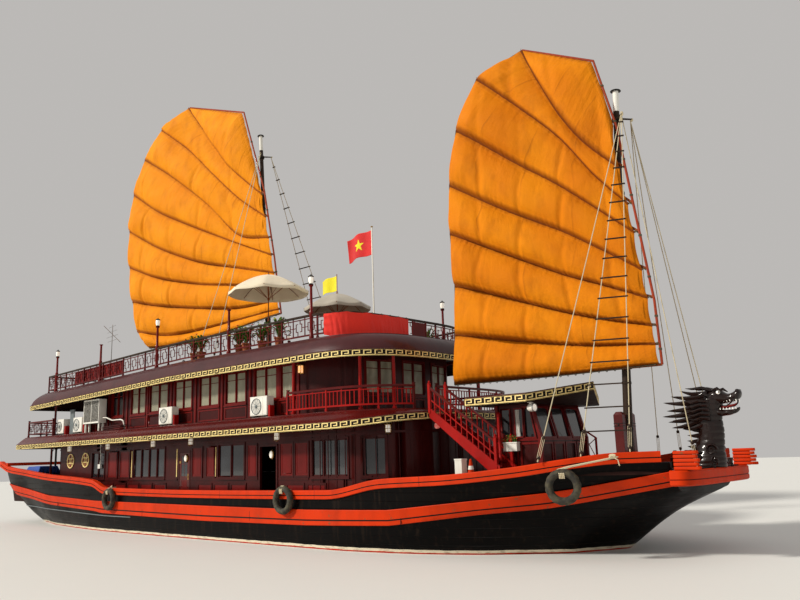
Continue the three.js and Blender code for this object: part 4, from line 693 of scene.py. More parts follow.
def makeSail(sail):
    across, rows = sail["across"], sail["rows"]
    seams = [evenLine(s, across, i == sail["cornered"]) for i, s in enumerate(sail["seams"])]
    cloth, uv = Shape(), []
    seed = Vector((sail["seed"], 0, 0))
    width = (seams[0][-1] - seams[0][0]).length
    least, aside, below = sailFolds["room"]
    for k, (low, high) in enumerate(zip(seams, seams[1:])):
        for j in range(rows + (k == len(seams) - 2)):
            t = j / rows
            t = t * t * (3 - 2 * t) * 0.5 + t * 0.5
            for i in range(across + 1):
                s = i / across
                a, b = low[i], high[i]
                gap = (b - a).length
                spot = a.lerp(b, t)
                hold = min(s / 0.10, 1) ** 0.6 * min((1 - s) / 0.07, 1) ** 0.6
                profile = (t ** 0.42) * ((1 - t) ** 0.85) / 0.53
                out = gap * sail["belly"] * profile * (0.22 + 0.78 * hold)
                broad = field.noise(Vector((spot.x * 0.45, spot.y * 0.5, k * 3.1)) + seed)
                out *= 1 + 0.5 * broad
                strip = spot.x / sail["strips"] + 0.25 * field.noise(Vector((spot.y * 0.5, k * 2.7, 0)) + seed)
                valley = math.exp(-((strip - round(strip)) * sail["strips"] / sailFolds["stripWide"]) ** 2)
                depth = 0.5 + 0.5 * field.noise(Vector((round(strip) * 1.7, k * 5.3, 1)) + seed)
                out -= valley * depth * sailFolds["strip"] * profile * min(gap, 1.2)
                near = math.exp(-t / 0.10) + 0.7 * math.exp(-(1 - t) / 0.08)
                wander = field.noise(Vector((spot.x * 1.1, k * 4.0, 2)) + seed) * 5
                pucker = math.sin(spot.x * math.tau / sailFolds["puckerPitch"] + wander)
                out += pucker * near * (1 - math.exp(-t / 0.02)) * sailFolds["pucker"] * min(gap, 1)
                slant = Vector(((spot.x + spot.y * 0.7) * 2.1, (spot.y - spot.x * 0.7) * 0.5, k * 2.3))
                out += sailFolds["slant"] * profile * min(gap, 1) * field.noise(slant + seed)
                out += sailFolds["fine"] * profile * field.noise(Vector((spot.x * 1.6, spot.y * 2.2, k)) + seed)
                room = least + aside * abs(spot.x) + below * max(0, sail["clear"] - spot.y)  # shrouds stand here
                out = room * math.tanh(out / room)
                scallop = 4 * t * (1 - t) * gap * (sailFolds["scallop"] if s > 0.98 else 0)
                cloth.points.append(sailPoint(sail, spot.x - scallop, spot.y, max(out, -0.01)))
                uv.append((s * width, k + t))
    width = across + 1
    for r in range(len(cloth.points) // width - 1):
        for i in range(across):
            a = r * width + i
            cloth.faces.append([a, a + 1, a + width + 1, a + width])
            cloth.marks.append(0)
    made = piece(sail["name"] + "Cloth", cloth, sail["body"], [sail["cloth"]], [sail["replaces"]],
                 sharp=180, uv=uv)

    edging = Shape()  # a pocket over each batten, between two rows of gathers
    for k, seam in enumerate(seams[1:-1], 1):
        path, radii = [], []
        for i in range(across + 1):
            rough = field.noise(Vector((seam[i].x * 6, k * 9.0, 4)) + seed)
            path.append(sailPoint(sail, seam[i].x, seam[i].y - 0.012 * rough, 0.012))
            radii.append(0.034 + 0.012 * rough)
        edging.tube(path, radii, 7)
        for lift in (-0.055, 0.055):
            edging.tube([sailPoint(sail, p.x, p.y + lift, 0.014 + 0.02 * (lift > 0)) for p in seam[::3]], 0.007, 4)
    pockets = piece(sail["name"] + "Pockets", edging, sail["body"], [sail["cloth"]], sharp=60)

    ropes = Shape()  # bolt rope round the edge, and lashings along the luff
    edge = [seams[k][0] for k in range(len(seams) - 1)]
    leech = [sailPoint(sail, p.x - 0.01, p.y, 0.0) for p in edge]
    ropes.tube(leech, 0.018, 6)
    ropes.tube([sailPoint(sail, p.x, p.y - 0.01, 0.01) for p in seams[0][::6]], 0.02, 6)
    for k in range(1, len(seams) - 1):
        p = seams[k][-1]
        tag = [sailPoint(sail, p.x + dx, p.y + dz, 0.0) for dx, dz in ((0, 0), (0.05, 0.03), (0.09, -0.04))]
        ropes.tube(tag, [0.03, 0.022, 0.008], 6)
    for i in range(3, len(seams[0]) - 3, 9):
        p = seams[0][i]
        loop = [sailPoint(sail, p.x, p.y + 0.05 * math.sin(a), -0.052 + 0.062 * math.cos(a))
                for a in circle(10)]
        ropes.tube(loop, 0.009, 5, closed=True)
    lines = piece(sail["name"] + "BoltRopes", ropes, sail["body"], ["cord"])


makeSail(foreSail)
makeSail(aftSail)


# masts and rigging
foreMast = {"name": "foreMast", "replaces": "fore_mast", "base": (12.28, 0, 2.0), "top": (12.868, 0, 12.9),
            "radius": (0.130, 0.085), "white": 12.27, "hoops": (3.1, 4.35, 6.2, 9.4, 11.2), "shoulders": (5.37, 12.0)}
aftMast = {"name": "aftMast", "replaces": "aft_mast", "base": (-3.05, 0, 6.4), "top": (-3.7, 0, 16.64),
           "radius": (0.115, 0.075), "white": 15.95, "hoops": (7.0, 8.3, 10.4, 13.2), "shoulders": (8.948, 15.6)}


def mastAt(mast, z):
    low, high = Vector(mast["base"]), Vector(mast["top"])
    return low.lerp(high, (z - low.z) / (high.z - low.z))


def mastRadius(mast, z):
    share = (z - mast["base"][2]) / (mast["top"][2] - mast["base"][2])
    return mast["radius"][0] + (mast["radius"][1] - mast["radius"][0]) * share


def makeMast(mast):
    low, high = Vector(mast["base"]), Vector(mast["top"])
    ahead = (high - low).normalized()
    shape = Shape()
    heights = [low.z + (mast["white"] - low.z) * i / 30 for i in range(31)]
    shape.rings([ringAt(mastAt(mast, z), ahead, mastRadius(mast, z) * (1 + 0.02 * field.noise(Vector((0, 0, z)))))
                 for z in heights])
    shape.mark = 1
    shape.lathe([(mastRadius(mast, mast["white"]) + 0.001, 0), (mast["radius"][1], high.z - mast["white"])],
                mastAt(mast, mast["white"]), ahead, 28)
    shape.mark = 2
    for z in mast["hoops"]:
        shape.lathe([(0.05, 0), (mastRadius(mast, z) + 0.011, 0), (mastRadius(mast, z) + 0.011, 0.07), (0.05, 0.07)],
                    mastAt(mast, z), ahead, 28)
    for z in mast["shoulders"]:
        shape.lathe([(0.05, 0), (mastRadius(mast, z) + 0.036, 0), (mastRadius(mast, z) + 0.042, 0.036),
                     (0.05, 0.038)], mastAt(mast, z - 0.045), ahead, 28)
    cap = mast["radius"][1] + 0.068
    shape.lathe([(0.02, 0), (cap, 0.004), (cap, 0.02), (cap * 0.92, 0.034), (0.3 * cap, 0.044), (0.01, 0.05)],
                high - ahead * 0.012, ahead, 28)
    piece(mast["name"] + "Pole", shape, "ship", ["mast", "white", "black"], [mast["replaces"]])


def ringAt(place, ahead, radius, sides=28):
    side = ahead.orthogonal().normalized()
    other = ahead.cross(side)
    return [place + (side * math.cos(a) + other * math.sin(a)) * radius for a in circle(sides)]


makeMast(foreMast)
makeMast(aftMast)

rigging = {
    "fore": {"mast": foreMast, "height": 12.035, "ahead": 0.33, "spread": 0.33, "replaces": "fore_rigging",
             "feet": [(11.6, 3.56, 2.36), (12.5, 3.055, 2.46), (13.56, 2.60, 2.54), (14.45, 0.85, 2.09)],
             "ladder": (1, 2, -1), "rungs": 17, "top": 11.75, "bottom": 3.05},
    "aft": {"mast": aftMast, "height": 15.635, "ahead": 0.33, "spread": 0.33, "replaces": "aft_rigging",
            "feet": [(-3.3, 3.39, 6.42), (-2.1, 3.39, 6.42)], "ladder": (0, 1, 1), "rungs": 12, "top": 15.2,
            "bottom": 8.15},
}


def makeRigging(name, plan):
    mast, z = plan["mast"], plan["height"]
    hub, radius = mastAt(mast, z), mastRadius(mast, z)
    ahead = (Vector(mast["top"]) - Vector(mast["base"])).normalized()
    shape = Shape()
    shape.mark = 1
    shape.lathe([(radius + 0.004, -0.035), (radius + 0.045, -0.035), (radius + 0.045, 0.035),
                 (radius + 0.004, 0.035)], hub, ahead, 24)
    for sign in (-1, 1):
        tip = hub + Vector((plan["ahead"], sign * plan["spread"], 0))
        shape.mark = 1
        shape.tube([hub + Vector((radius, sign * 0.04, 0)), hub.lerp(tip, 0.6) + Vector((0.02, 0, 0)), tip],
                   [0.03, 0.026, 0.022], 10)
        starts, shroud = [], []
        for k, (x, y, foot) in enumerate(plan["feet"]):
            start = tip.lerp(hub, 0.12) + Vector((0.0, 0, -0.015 * k))
            end = Vector((x, sign * y, foot))
            starts.append(start)
            shroud.append((start, end))
            shape.mark = 0
            dead = start.lerp(end, 1 - 0.62 / (end - start).length)  # the rope ends in a lashing above its foot
            shape.tube([start, start.lerp(dead, 0.5) + Vector((0, 0, -0.03)), dead], 0.013, 7)
            side = (end - start).normalized().orthogonal() * 0.028
            for shift in (-side, Vector((0, 0, 0)), side):
                shape.tube([dead + shift, end - (end - dead).normalized() * 0.1 + shift], 0.007, 5)
            shape.mark = 1
            for spot in (dead, end - (end - dead).normalized() * 0.1):
                shape.ball(spot, (0.05, 0.034, 0.05), 10)
            shape.mark = 0
            shape.tube([end - (end - dead).normalized() * 0.1, end], 0.016, 6)
            wrap = [start + (start - hub) * 0.1 + Vector((0.035 * math.cos(a), 0.02 * math.sin(a) * sign,
                    0.03 * math.sin(a))) for a in circle(8)]
            shape.tube(wrap, 0.009, 5, closed=True)
        first, second, side = plan["ladder"]
        if sign == side:
            one, two = shroud[first], shroud[second]
            shape.mark = 1
            for n in range(plan["rungs"]):
                height = plan["top"] + (plan["bottom"] - plan["top"]) * (n / (plan["rungs"] - 1)) ** 1.06
                ends = [a.lerp(b, (a.z - height) / (a.z - b.z)) for a, b in (one, two)]
                away = (ends[1] - ends[0]).normalized() * 0.05
                shape.beam(ends[0] - away, ends[1] + away, 0.05, 0.032)
    piece(name + "Shrouds", shape, "ship", ["rope", "mast"], [plan["replaces"]])


makeRigging("fore", rigging["fore"])
makeRigging("aft", rigging["aft"])
print("sails, masts and rigging made")


# hull
hullRows = [  # x, keel z, then y and z of the bilge, the waterline, the side and the rail
    (-18.75, 1.12, 2.50, 1.17, 3.10, 1.30, 3.55, 1.70, 3.80, 2.68),
    (-18.00, 0.72, 2.50, 0.78, 3.10, 0.94, 3.60, 1.40, 3.85, 2.60),
    (-16.65, -0.15, 2.20, -0.08, 2.80, 0.10, 3.60, 1.05, 3.90, 2.50),
    (-14.00, -0.95, 2.30, -0.70, 3.35, 0.00, 3.90, 1.00, 4.05, 2.29),
    (-9.30, -1.35, 2.90, -0.95, 3.95, 0.00, 4.15, 1.00, 4.20, 2.02),
    (-8.20, -1.38, 3.00, -0.98, 4.02, 0.00, 4.18, 1.00, 4.20, 1.72),
    (-2.00, -1.40, 3.10, -1.00, 4.10, 0.00, 4.20, 1.00, 4.20, 1.65),
    (4.80, -1.38, 3.05, -0.96, 4.08, 0.00, 4.19, 1.00, 4.20, 1.69),
    (6.90, -1.30, 2.70, -0.88, 3.80, 0.00, 4.08, 1.05, 4.18, 2.00),
    (9.05, -1.10, 1.95, -0.75, 3.10, 0.00, 3.75, 1.15, 4.03, 2.09),
    (10.90, -0.70, 1.05, -0.48, 1.90, 0.00, 2.95, 1.15, 3.64, 2.25),
    (12.10, 0.04, 0.62, 0.22, 1.35, 0.62, 2.30, 1.30, 3.20, 2.41),
    (13.30, 0.92, 0.60, 0.99, 1.20, 1.12, 1.95, 1.48, 2.68, 2.53),
    (14.30, 1.44, 0.60, 1.47, 1.20, 1.53, 1.75, 1.66, 2.18, 2.54),
]
sternEnd, bowEnd = hullRows[0][0], hullRows[-1][0]
hull = {
    "cap": 0.26, "wall": 0.11, "mainDeck": 1.0, "foreDeck": 2.0, "foreStart": 8.2, "wellAft": -18.45,
    "engineRoom": (-13.3, -9.9), "engineHalf": 1.1, "engineFloor": -0.7,
    "strake": [  # x, top and bottom of the lower orange band
        (-18.76, 1.84, 1.40), (-18.0, 1.77, 1.32), (-13.5, 1.34, 0.94), (-9.0, 1.19, 0.78), (-8.5, 1.19, 0.72),
        (-1.4, 1.14, 0.64), (3.85, 1.12, 0.67), (7.1, 1.17, 0.75), (9.75, 1.43, 1.07), (11.3, 1.58, 1.20),
        (12.2, 1.70, 1.35), (14.3, 2.06, 1.72),
    ],
    "keel": [(-17.25, -1.62), (9.0, -1.62), (10.6, -0.7), (-14.25, -0.3), (-15.05, -0.2), (-15.05, -1.51),
             (-17.25, -1.51)],
    "keelHalf": 0.09,
}


def railHalf(x):
    return smoothTable(hullRows, x, 8)


def railTop(x):
    return smoothTable(hullRows, x, 9)


def sideLine(x, count=22):  # half section from the keel to under the rail cap
    knots = [Vector((0.12, smoothTable(hullRows, x, 1)))]
    knots += [Vector((smoothTable(hullRows, x, c), smoothTable(hullRows, x, c + 1))) for c in (2, 4, 6)]
    knots.append(Vector((railHalf(x), railTop(x) - hull["cap"])))
    knots = [Vector((k.x, k.y, 0)) for k in knots]
    return [blendTo(knots, i / count) for i in range(count + 1)]


def hullSide(x, z):  # y of the outside of the hull
    line = sideLine(x, 40)
    for a, b in zip(line, line[1:]):
        if a.y <= z <= b.y:
            return a.x + (b.x - a.x) * (z - a.y) / max(b.y - a.y, 1e-6)
    return line[-1].x if z > line[-1].y else line[0].x


def makeHull():
    marks = set(row[0] for row in hullRows) | {hull["wellAft"], hull["foreStart"], *hull["engineRoom"]}
    marks |= {sternEnd + 0.33 * i for i in range(101)}
    kept = (*hull["engineRoom"], hull["wellAft"], hull["foreStart"], sternEnd, bowEnd)
    stations = []
    for x in sorted(marks):
        if x <= bowEnd and (x in kept or x - stations[-1] > 0.12):
            stations.append(x)
    shape, rings = Shape(), []
    step = hull["foreStart"]
    for x in stations:
        for low in ([hull["mainDeck"], hull["foreDeck"]] if x == step else [None]):
            side = sideLine(x)
            half, top = railHalf(x), railTop(x) - hull["cap"]
            if x < hull["wellAft"]:
                floor = top
            else:
                floor = low or (hull["mainDeck"] if x < step else hull["foreDeck"])
            floor = min(floor, top) if x < 8 else floor
            edge = half - (0.16 if floor > 1.5 else hull["wall"])
            foot = min(half, smoothTable(hullRows, x, 6) + 0.04) - hull["wall"] if floor < 1.5 else edge
            ring = [(0, side[0].y)] + [(p.x, p.y) for p in side]
            ring += [(edge, max(top, floor) if floor > 1.5 else top), (foot, floor), (hull["engineHalf"], floor)]
            rings.append([(x, y, z) for y, z in ring])
    width = len(rings[0])
    points = [p for ring in rings for p in ring]
    faces, kinds = [], []
    for r in range(len(rings) - 1):
        for s in range(width - 1):
            a = r * width + s
            faces.append((a, a + width, a + width + 1, a + 1))
            kinds.append(1 if s >= width - 2 else (2 if s == width - 3 else 0))
    shape.points, shape.faces, shape.marks = points, [list(f) for f in faces], kinds
    for end in (0, len(rings) - 1):
        ring = [end * width + s for s in range(width)]
        shape.faces.append(ring if end == 0 else ring[::-1])
        shape.marks.append(0)
    shape.mirrored()
    for r in range(len(rings) - 1):  # the middle of the deck, open over the engine room
        x0, x1 = rings[r][-1][0], rings[r + 1][-1][0]
        if x0 >= hull["engineRoom"][0] and x1 <= hull["engineRoom"][1]:
            continue
        shape.mark = 1
        h, z0, z1 = hull["engineHalf"], rings[r][-1][2], rings[r + 1][-1][2]
        shape.add([(x0, -h, z0), (x1, -h, z1), (x1, h, z1), (x0, h, z0)], [(0, 1, 2, 3)])
    shape.mark = 0
    (a, b), h, low, high = hull["engineRoom"], hull["engineHalf"], hull["engineFloor"], hull["mainDeck"]
    room = [(a, -h, low), (b, -h, low), (b, h, low), (a, h, low), (a, -h, high), (b, -h, high), (b, h, high),
            (a, h, high)]
    shape.add(room, [(0, 1, 2, 3), (0, 4, 5, 1), (1, 5, 6, 2), (2, 6, 7, 3), (3, 7, 4, 0)])
    for end in (0, len(rings) - 1):  # the flat ends between the two halves
        x, low, high = rings[end][0][0], rings[end][0][2], rings[end][-1][2]
        h = hull["engineHalf"]
        shape.add([(x, -h, high), (x, h, high), (x, 0.01, low), (x, -0.01, low)], [(0, 1, 2, 3)])
    shape.prism(hull["keel"], -hull["keelHalf"], hull["keelHalf"])
    shape.lathe([(0.09, 0), (0.09, 0.11)], (-16.45, 0, -1.595), sides=20)
    piece("hullShell", shape, "ship", ["hull", "deck", "ceiling"], ["hull"], sharp=42)


makeHull()


def sweepSide(shape, stations, section, dark=()):
    # runs a section, out from the hull and up, along the port side of the hull
    rings = []
    for x in stations:
        here, ahead = section(x), section(x + 0.05)
        run = Vector((0.05, ahead[0][0] - here[0][0])).normalized()
        rings.append([(x - run.y * out, base + run.x * out, z) for base, out, z in here])
    first = len(shape.faces)
    shape.rings(rings)
    width = len(rings[0])
    for f in range((len(rings) - 1) * width):
        if f % width in dark:
            shape.marks[first + f] = 1


def capSection(x):
    inside = max(x, sternEnd)
    base = railHalf(inside)
    top = railTop(inside) + max(0, sternEnd - x) * 0.3
    profile = [(-0.158, -0.258), (0.05, -0.258), (0.06, -0.246), (0.06, -0.162), (0.042, -0.156), (0.042, -0.140),
               (0.06, -0.134), (0.06, -0.024), (0.048, -0.004), (0.036, 0), (-0.146, 0), (-0.158, -0.012)]
    return [(base, out, top + z) for out, z in profile]


def strakeSection(x):
    top, low = (table(hull["strake"], x, c) for c in (1, 2))
    high = top - low
    profile = [(-0.06, 1), (0.034, 1), (0.046, 0.96), (0.048, 0.38), (0.030, 0.355), (0.030, 0.31), (0.046, 0.285),
               (0.044, 0.03), (0.034, 0), (-0.06, 0)]
    x = min(max(x, sternEnd), bowEnd)
    return [(hullSide(x, low + high * z), out, low + high * z) for out, z in profile]


def makeRails():
    cap = Shape()
    knots = [-19.6, -19.3, -19.0, sternEnd] + [-18.5 + 0.25 * i for i in range(131)] + [14.15]
    sweepSide(cap, [x for x in knots if x <= 14.15], capSection, dark=(3, 4, 5))
    cap.mirrored()
    for sign in (-1, 1):  # scarf joints and the end block of the raised stern
        for x in (-15.4, -11.2, -4.9, -0.4, 4.3, 8.3, 11.6):
            out = railHalf(x) + 0.0606
            cap.mark = 1
            cap.box((x - 0.006, sign * out, railTop(x) - 0.25), (x + 0.006, sign * (out - 0.02), railTop(x) - 0.01))
    cap.mark = 0
    cap.box((-18.94, -3.8, 2.70), (-18.78, 3.8, 2.85))
    piece("gunwaleCap", cap, "ship", ["orange", "black"], ["gunwale"], sharp=30)
    band = Shape()
    sweepSide(band, [-18.76 + 0.29 * i for i in range(114)] + [bowEnd], strakeSection, dark=(3, 4, 5))
    for x in (-12.6, -5.3, 1.2, 7.5):
        rows = strakeSection(x)
        band.mark = 1
        band.box((x - 0.008, rows[3][0] + 0.03, rows[8][2]), (x + 0.008, rows[3][0] + 0.0505, rows[1][2] - 0.01))
    band.mark = 0
    band.mirrored()
    wale = Shape()  # thin pale wale along the quarter
    wale.tube([(x, hullSide(x, 0.62 + 0.02 * max(0, -x - 8)) + 0.012, 0.62 + 0.02 * max(0, -x - 8))
               for x in (-18.6 + 0.4 * i for i in range(32))], 0.02, 6)
    wale.mirrored()
    piece("lowerBand", band, "ship", ["orange", "black"], sharp=30)
    piece("quarterWale", wale, "ship", ["greyPaint"])


makeRails()

bow = {"beam": (14.3003, 0.56, 2.23, 1.72, 2.08), "planks": 5, "cheek": (14.36, 0.64, 2.02, 0.065),
       "cheekZ": (2.0803, 2.53)}


def rounded(start, reach, half, power):  # plan of a rounded front, starboard to port
    line, count = [], 40
    for i in range(count + 1):
        a = math.pi * (i / count - 0.5)
        line.append((start + reach * abs(math.cos(a)) ** (2 / power),
                     half * math.copysign(abs(math.sin(a)) ** (2 / power), math.sin(a))))
    return line


def makeBow():
    shape = Shape()
    start, reach, half, low, high = bow["beam"]
    levels = [(0.03, low), (0.0, low + 0.03), (0.0, 1.85), (0.018, 1.858), (0.018, 1.872), (0.0, 1.88),
              (0.0, high - 0.03), (0.03, high)]
    rings = [[(x, y, z) for x, y in rounded(start, reach - inset, half - inset, 4)] for inset, z in levels]
    shape.rings(rings)
    width = len(rings[0])
    for f in range(3 * width, 4 * width):  # the seam between its two timbers
        shape.marks[f] = 1
    piece("bowBeam", shape, "ship", ["orange", "black"], ["bow_beam"], sharp=40)
    aft, length, middle, half = bow["cheek"]
    low, high = bow["cheekZ"]
    step = (high - low) / bow["planks"]
    for side, sign in (("starboard", -1), ("port", 1)):
        shape = Shape()
        for k in range(bow["planks"]):
            z = low + step * (k + 0.5)
            grow = 0.035 * (k % 2) + 0.012 * k
            nose = []
            for n in range(9):
                a = math.pi * (n / 8 - 0.5)
                nose.append((aft + length - 0.07 - grow + 0.065 * math.cos(a), sign * middle + half * math.sin(a)))
            outline = [(aft, sign * middle - half)] + nose + [(aft, sign * middle + half)]
            shape.slab(outline, z - step / 2 + 0.006, z + step / 2 - 0.006)
        shape.mark = 1
        shape.slab([(aft + 0.01, sign * middle - half + 0.02), (aft + length - 0.2, sign * middle - half + 0.02),
                    (aft + length - 0.2, sign * middle + half - 0.02), (aft + 0.01, sign * middle + half - 0.02)],
                   low, high - 0.01)
        piece("bowPlanks" + side.title(), shape, "ship", ["orange", "black"],
              ["bow_cheek_" + side], bevel=0.018)


makeBow()

tyres = {"ring": 0.33, "tube": 0.105, "places": {"aft": (-7.6, 1.26, 0), "middle": (3.0, 1.38, 0),
                                                 "fore": (12.1, 1.75, 21.8)}}


def makeTyre(name, x, z, turn):
    shape = Shape()
    turn = math.radians(turn)
    out = railHalf(x) + 0.06
    off = tyres["tube"] + 0.0003
    centre = Vector((x + off * math.sin(turn), -(out + off * math.cos(turn)), z))
    along, away = Vector((math.cos(turn), math.sin(turn), 0)), Vector((math.sin(turn), -math.cos(turn), 0))
    sides, turns = 16, 64
    for t in range(turns):
        a = math.tau * t / turns
        spoke = along * math.cos(a) + Vector((0, 0, math.sin(a)))
        for s in range(sides):
            b = math.tau * s / sides
            tread = 0.9 if (t % 4 == 0 and math.cos(b) > 0.55) else 1.0
            groove = 0.93 if abs(abs(math.sin(b)) - 0.35) < 0.12 and math.cos(b) > 0 else 1.0
            flat = 1 - 0.16 * max(0, -math.cos(b)) - 0.06 * abs(math.sin(b)) ** 6
            r = tyres["tube"] * min(tread, groove) * flat
            sag = 1 + 0.04 * math.sin(a)
            shape.points.append(centre + spoke * (tyres["ring"] * sag + r * math.cos(b)) + away * r * math.sin(b))
    for t in range(turns):
        for s in range(sides):
            a, b = t * sides, (t + 1) % turns * sides
            shape.faces.append([a + s, b + s, b + (s + 1) % sides, a + (s + 1) % sides])
            shape.marks.append(0)
    shape.mark = 1
    crown = centre + Vector((0, 0, tyres["ring"]))
    top = railTop(x)
    rope = random.Random(round(x))
    for k in range(4):
        shift = along * (0.035 * (k - 1.5))
        lean = along * rope.uniform(-0.03, 0.03)
        hang = crown + away * -0.02
        path = [hang + shift + Vector((0, 0, -0.12)) + away * 0.10, hang + shift + away * 0.115,
                hang + shift + Vector((0, 0, 0.11)) + away * 0.02,
                Vector((x, 0, top)) + lean + shift + away * (out + 0.014), Vector((x, 0, top + 0.018)) + shift
                + away * (out - 0.02), Vector((x, 0, top + 0.016)) + shift * 1.3 + away * (out - 0.16)]
        path = [blendTo(path, i / 16) for i in range(17)]
        shape.tube(path, 0.016, 7)
    knot = Vector((x, 0, top + 0.02)) + away * out
    for k in range(3):
        loop = [knot + along * (0.07 * math.cos(a)) + Vector((0, 0, 0.018 * k + 0.028 * math.sin(a)))
                + away * (0.03 * math.sin(a + k)) for a in circle(12)]
        shape.tube(loop, 0.015, 6, closed=True)
    shape.tube([knot, knot + along * 0.12 + away * 0.04 - Vector((0, 0, 0.06)),
                knot + along * 0.15 + away * 0.045 - Vector((0, 0, 0.2))], [0.014, 0.012, 0.016], 6)
    piece("tyre" + name.title(), shape, "ship", ["tyre", "rope"], ["tyre_fender_" + name], sharp=50)


for name, (x, z, turn) in tyres["places"].items():
    makeTyre(name, x, z, turn)
print("hull and bow made")


# decks and cabins
deckTop = {"main": 1.0003, "fore": 2.0003, "second": 4.0003, "sun": 6.4003}  # the height that fittings stand at

# plans: aft end, start of the round front, front, half width, and how square the round is
plans = {
    "lowerEave": (-16.8, 3.3, 7.2, 4.25, 3.5), "upperEave": (-16.0, 2.6, 6.45, 4.05, 3.5),
    "mainCabin": (-14.2, 3.0, 6.8, 3.3, 3.2), "upperCabin": (-12.0, 1.6, 4.7, 3.25, 3.2),
    "sunRail": (-15.44, 2.6, 4.85, 3.49, 4), "secondRail": (-16.44, 3.3, 6.84, 3.9, 3.5),
}
sheer = {"start": -4.0, "slope": 0.031, "lipStart": 4.8, "lipUp": 0.23}


def sternDrop(x):  # how far the sun deck falls towards the stern
    return -sheer["slope"] * max(0, sheer["start"] - x)


def lipLift(x):  # how far the front of the lower eave turns up
    return sheer["lipUp"] * (max(0, x - sheer["lipStart"]) / (plans["lowerEave"][2] - sheer["lipStart"])) ** 2


def levelLine(x):
    return 0 * x


def steps(low, high, pitch, cuts=()):
    marks = sorted({low, high, *[c for c in cuts if low < c < high]})
    line = []
    for a, b in zip(marks, marks[1:]):
        count = max(1, round((b - a) / pitch))
        line += [a + (b - a) * i / count for i in range(count)]
    return line + [high]


def planMarks(key, cutsX=(), cutsY=()):
    # from the starboard quarter round the front to the port quarter: below 0 a straight side, then an angle
    aft, start, front, half, power = plans[key]
    turn = 0.5 ** (1 / power)
    shoulder = start + (front - start) * turn
    line = [(x - start) / (start - aft) for x in steps(aft, start, 0.7, cutsX)[:-1]]
    line += [math.asin(((x - start) / (front - start)) ** (power / 2))
             for x in steps(start, shoulder, 0.11, cutsX)[:-1]]
    line += [math.acos(min(1, (abs(y) / half) ** (power / 2)))
             for y in steps(-half * turn, 0, 0.16, [-abs(c) for c in cutsY])[:-1]]
    return line + [math.pi / 2] + [math.pi - m for m in reversed(line)]


def planAt(key, mark, inset=0.0):
    aft, start, front, half, power = plans[key]
    if mark < 0 or mark > math.pi:
        back = -mark if mark < 0 else mark - math.pi
        return start + (aft + inset - start) * back, (inset - half) * (1 if mark < 0 else -1)
    along, across = max(0, math.sin(mark)), -math.cos(mark)
    return (start + (front - inset - start) * along ** (2 / power),
            (half - inset) * math.copysign(abs(across) ** (2 / power), across))


class Run:  # a line in plan that boards, bars and patterns follow; s is the distance along it
    def __init__(self, points, lift=levelLine):
        self.points, self.lift = [Vector(p[:2]) for p in points], lift
        self.marks = [0]
        for a, b in zip(self.points, self.points[1:]):
            self.marks.append(self.marks[-1] + (b - a).length)
        self.length = self.marks[-1]
        away = [Vector((b.y - a.y, a.x - b.x)).normalized() for a, b in zip(self.points, self.points[1:])]
        self.away = [away[0]] + [(a + b).normalized() for a, b in zip(away, away[1:])] + [away[-1]]

    def at(self, s, out, z):
        i = min(max(bisect.bisect_right(self.marks, s) - 1, 0), len(self.points) - 2)
        t = (s - self.marks[i]) / (self.marks[i + 1] - self.marks[i])
        spot = self.points[i].lerp(self.points[i + 1], t) + self.away[i].lerp(self.away[i + 1], t) * out
        return spot.x, spot.y, z + self.lift(spot.x)

    def block(self, shape, span, outs, heights, pitch=9.0):  # a block between two places, depths and heights
        count = max(1, math.ceil((span[1] - span[0]) / pitch))
        for k in range(count):
            a, b = (span[0] + (span[1] - span[0]) * (k + n) / count for n in (0, 1))
            (near, far), (low, high) = outs, heights
            shape.hexa([self.at(a, near, low), self.at(b, near, low), self.at(b, far, low), self.at(a, far, low)],
                       [self.at(a, near, high), self.at(b, near, high), self.at(b, far, high), self.at(a, far, high)])

    def bar(self, shape, section):  # a section of (out, z) swept along the whole run
        shape.rings([[Vector(self.at(s, out, z)) for out, z in section] for s in self.marks])

    def walk(self, pitch):
        count = max(1, round(self.length / pitch))
        return [self.length * (k + 0.5) / count for k in range(count)], self.length / count


decks = {
    "second": {
        "plan": "lowerEave", "replaces": "second_deck", "band": (3.45, 3.65), "lift": lipLift, "slot": "roof_skirt",
        "outside": [(-0.012, 3.652), (-0.012, 3.675), (0.012, 3.69), (0.13, 3.83), (0.235, 3.944), (0.262, 3.962),
                    (0.262, 3.978), (0.30, 4.0)],
        "inside": [(0.06, 3.45), (0.06, 3.60), (0.34, 3.76)], "cover": "fascia", "liftTop": levelLine,
    },
    "sun": {
        "plan": "upperEave", "replaces": "sun_deck", "band": (5.62, 5.82), "lift": sternDrop, "slot": "roof_skirt",
        "outside": [(-0.014, 5.822), (-0.014, 5.848), (0.02, 5.86), (0.05, 5.95), (0.10, 6.06), (0.18, 6.17),
                    (0.28, 6.27), (0.39, 6.352), (0.45, 6.38), (0.452, 6.397), (0.48, 6.40)],
        "inside": [(0.06, 5.62), (0.06, 5.76), (0.42, 6.10)], "cover": "skirt", "liftTop": sternDrop,
    },
}
keyPattern = {  # strokes of one hook of the running key, in parts of its length and height
    "pitch": 0.345, "raise": 0.009,
    "strokes": [((0.00, 1.00), (0.00, 0.15)), ((0.00, 0.10), (0.15, 1.00)), ((0.10, 0.72), (0.85, 1.00)),
                ((0.62, 0.72), (0.36, 0.85)), ((0.30, 0.62), (0.36, 0.51))],
}


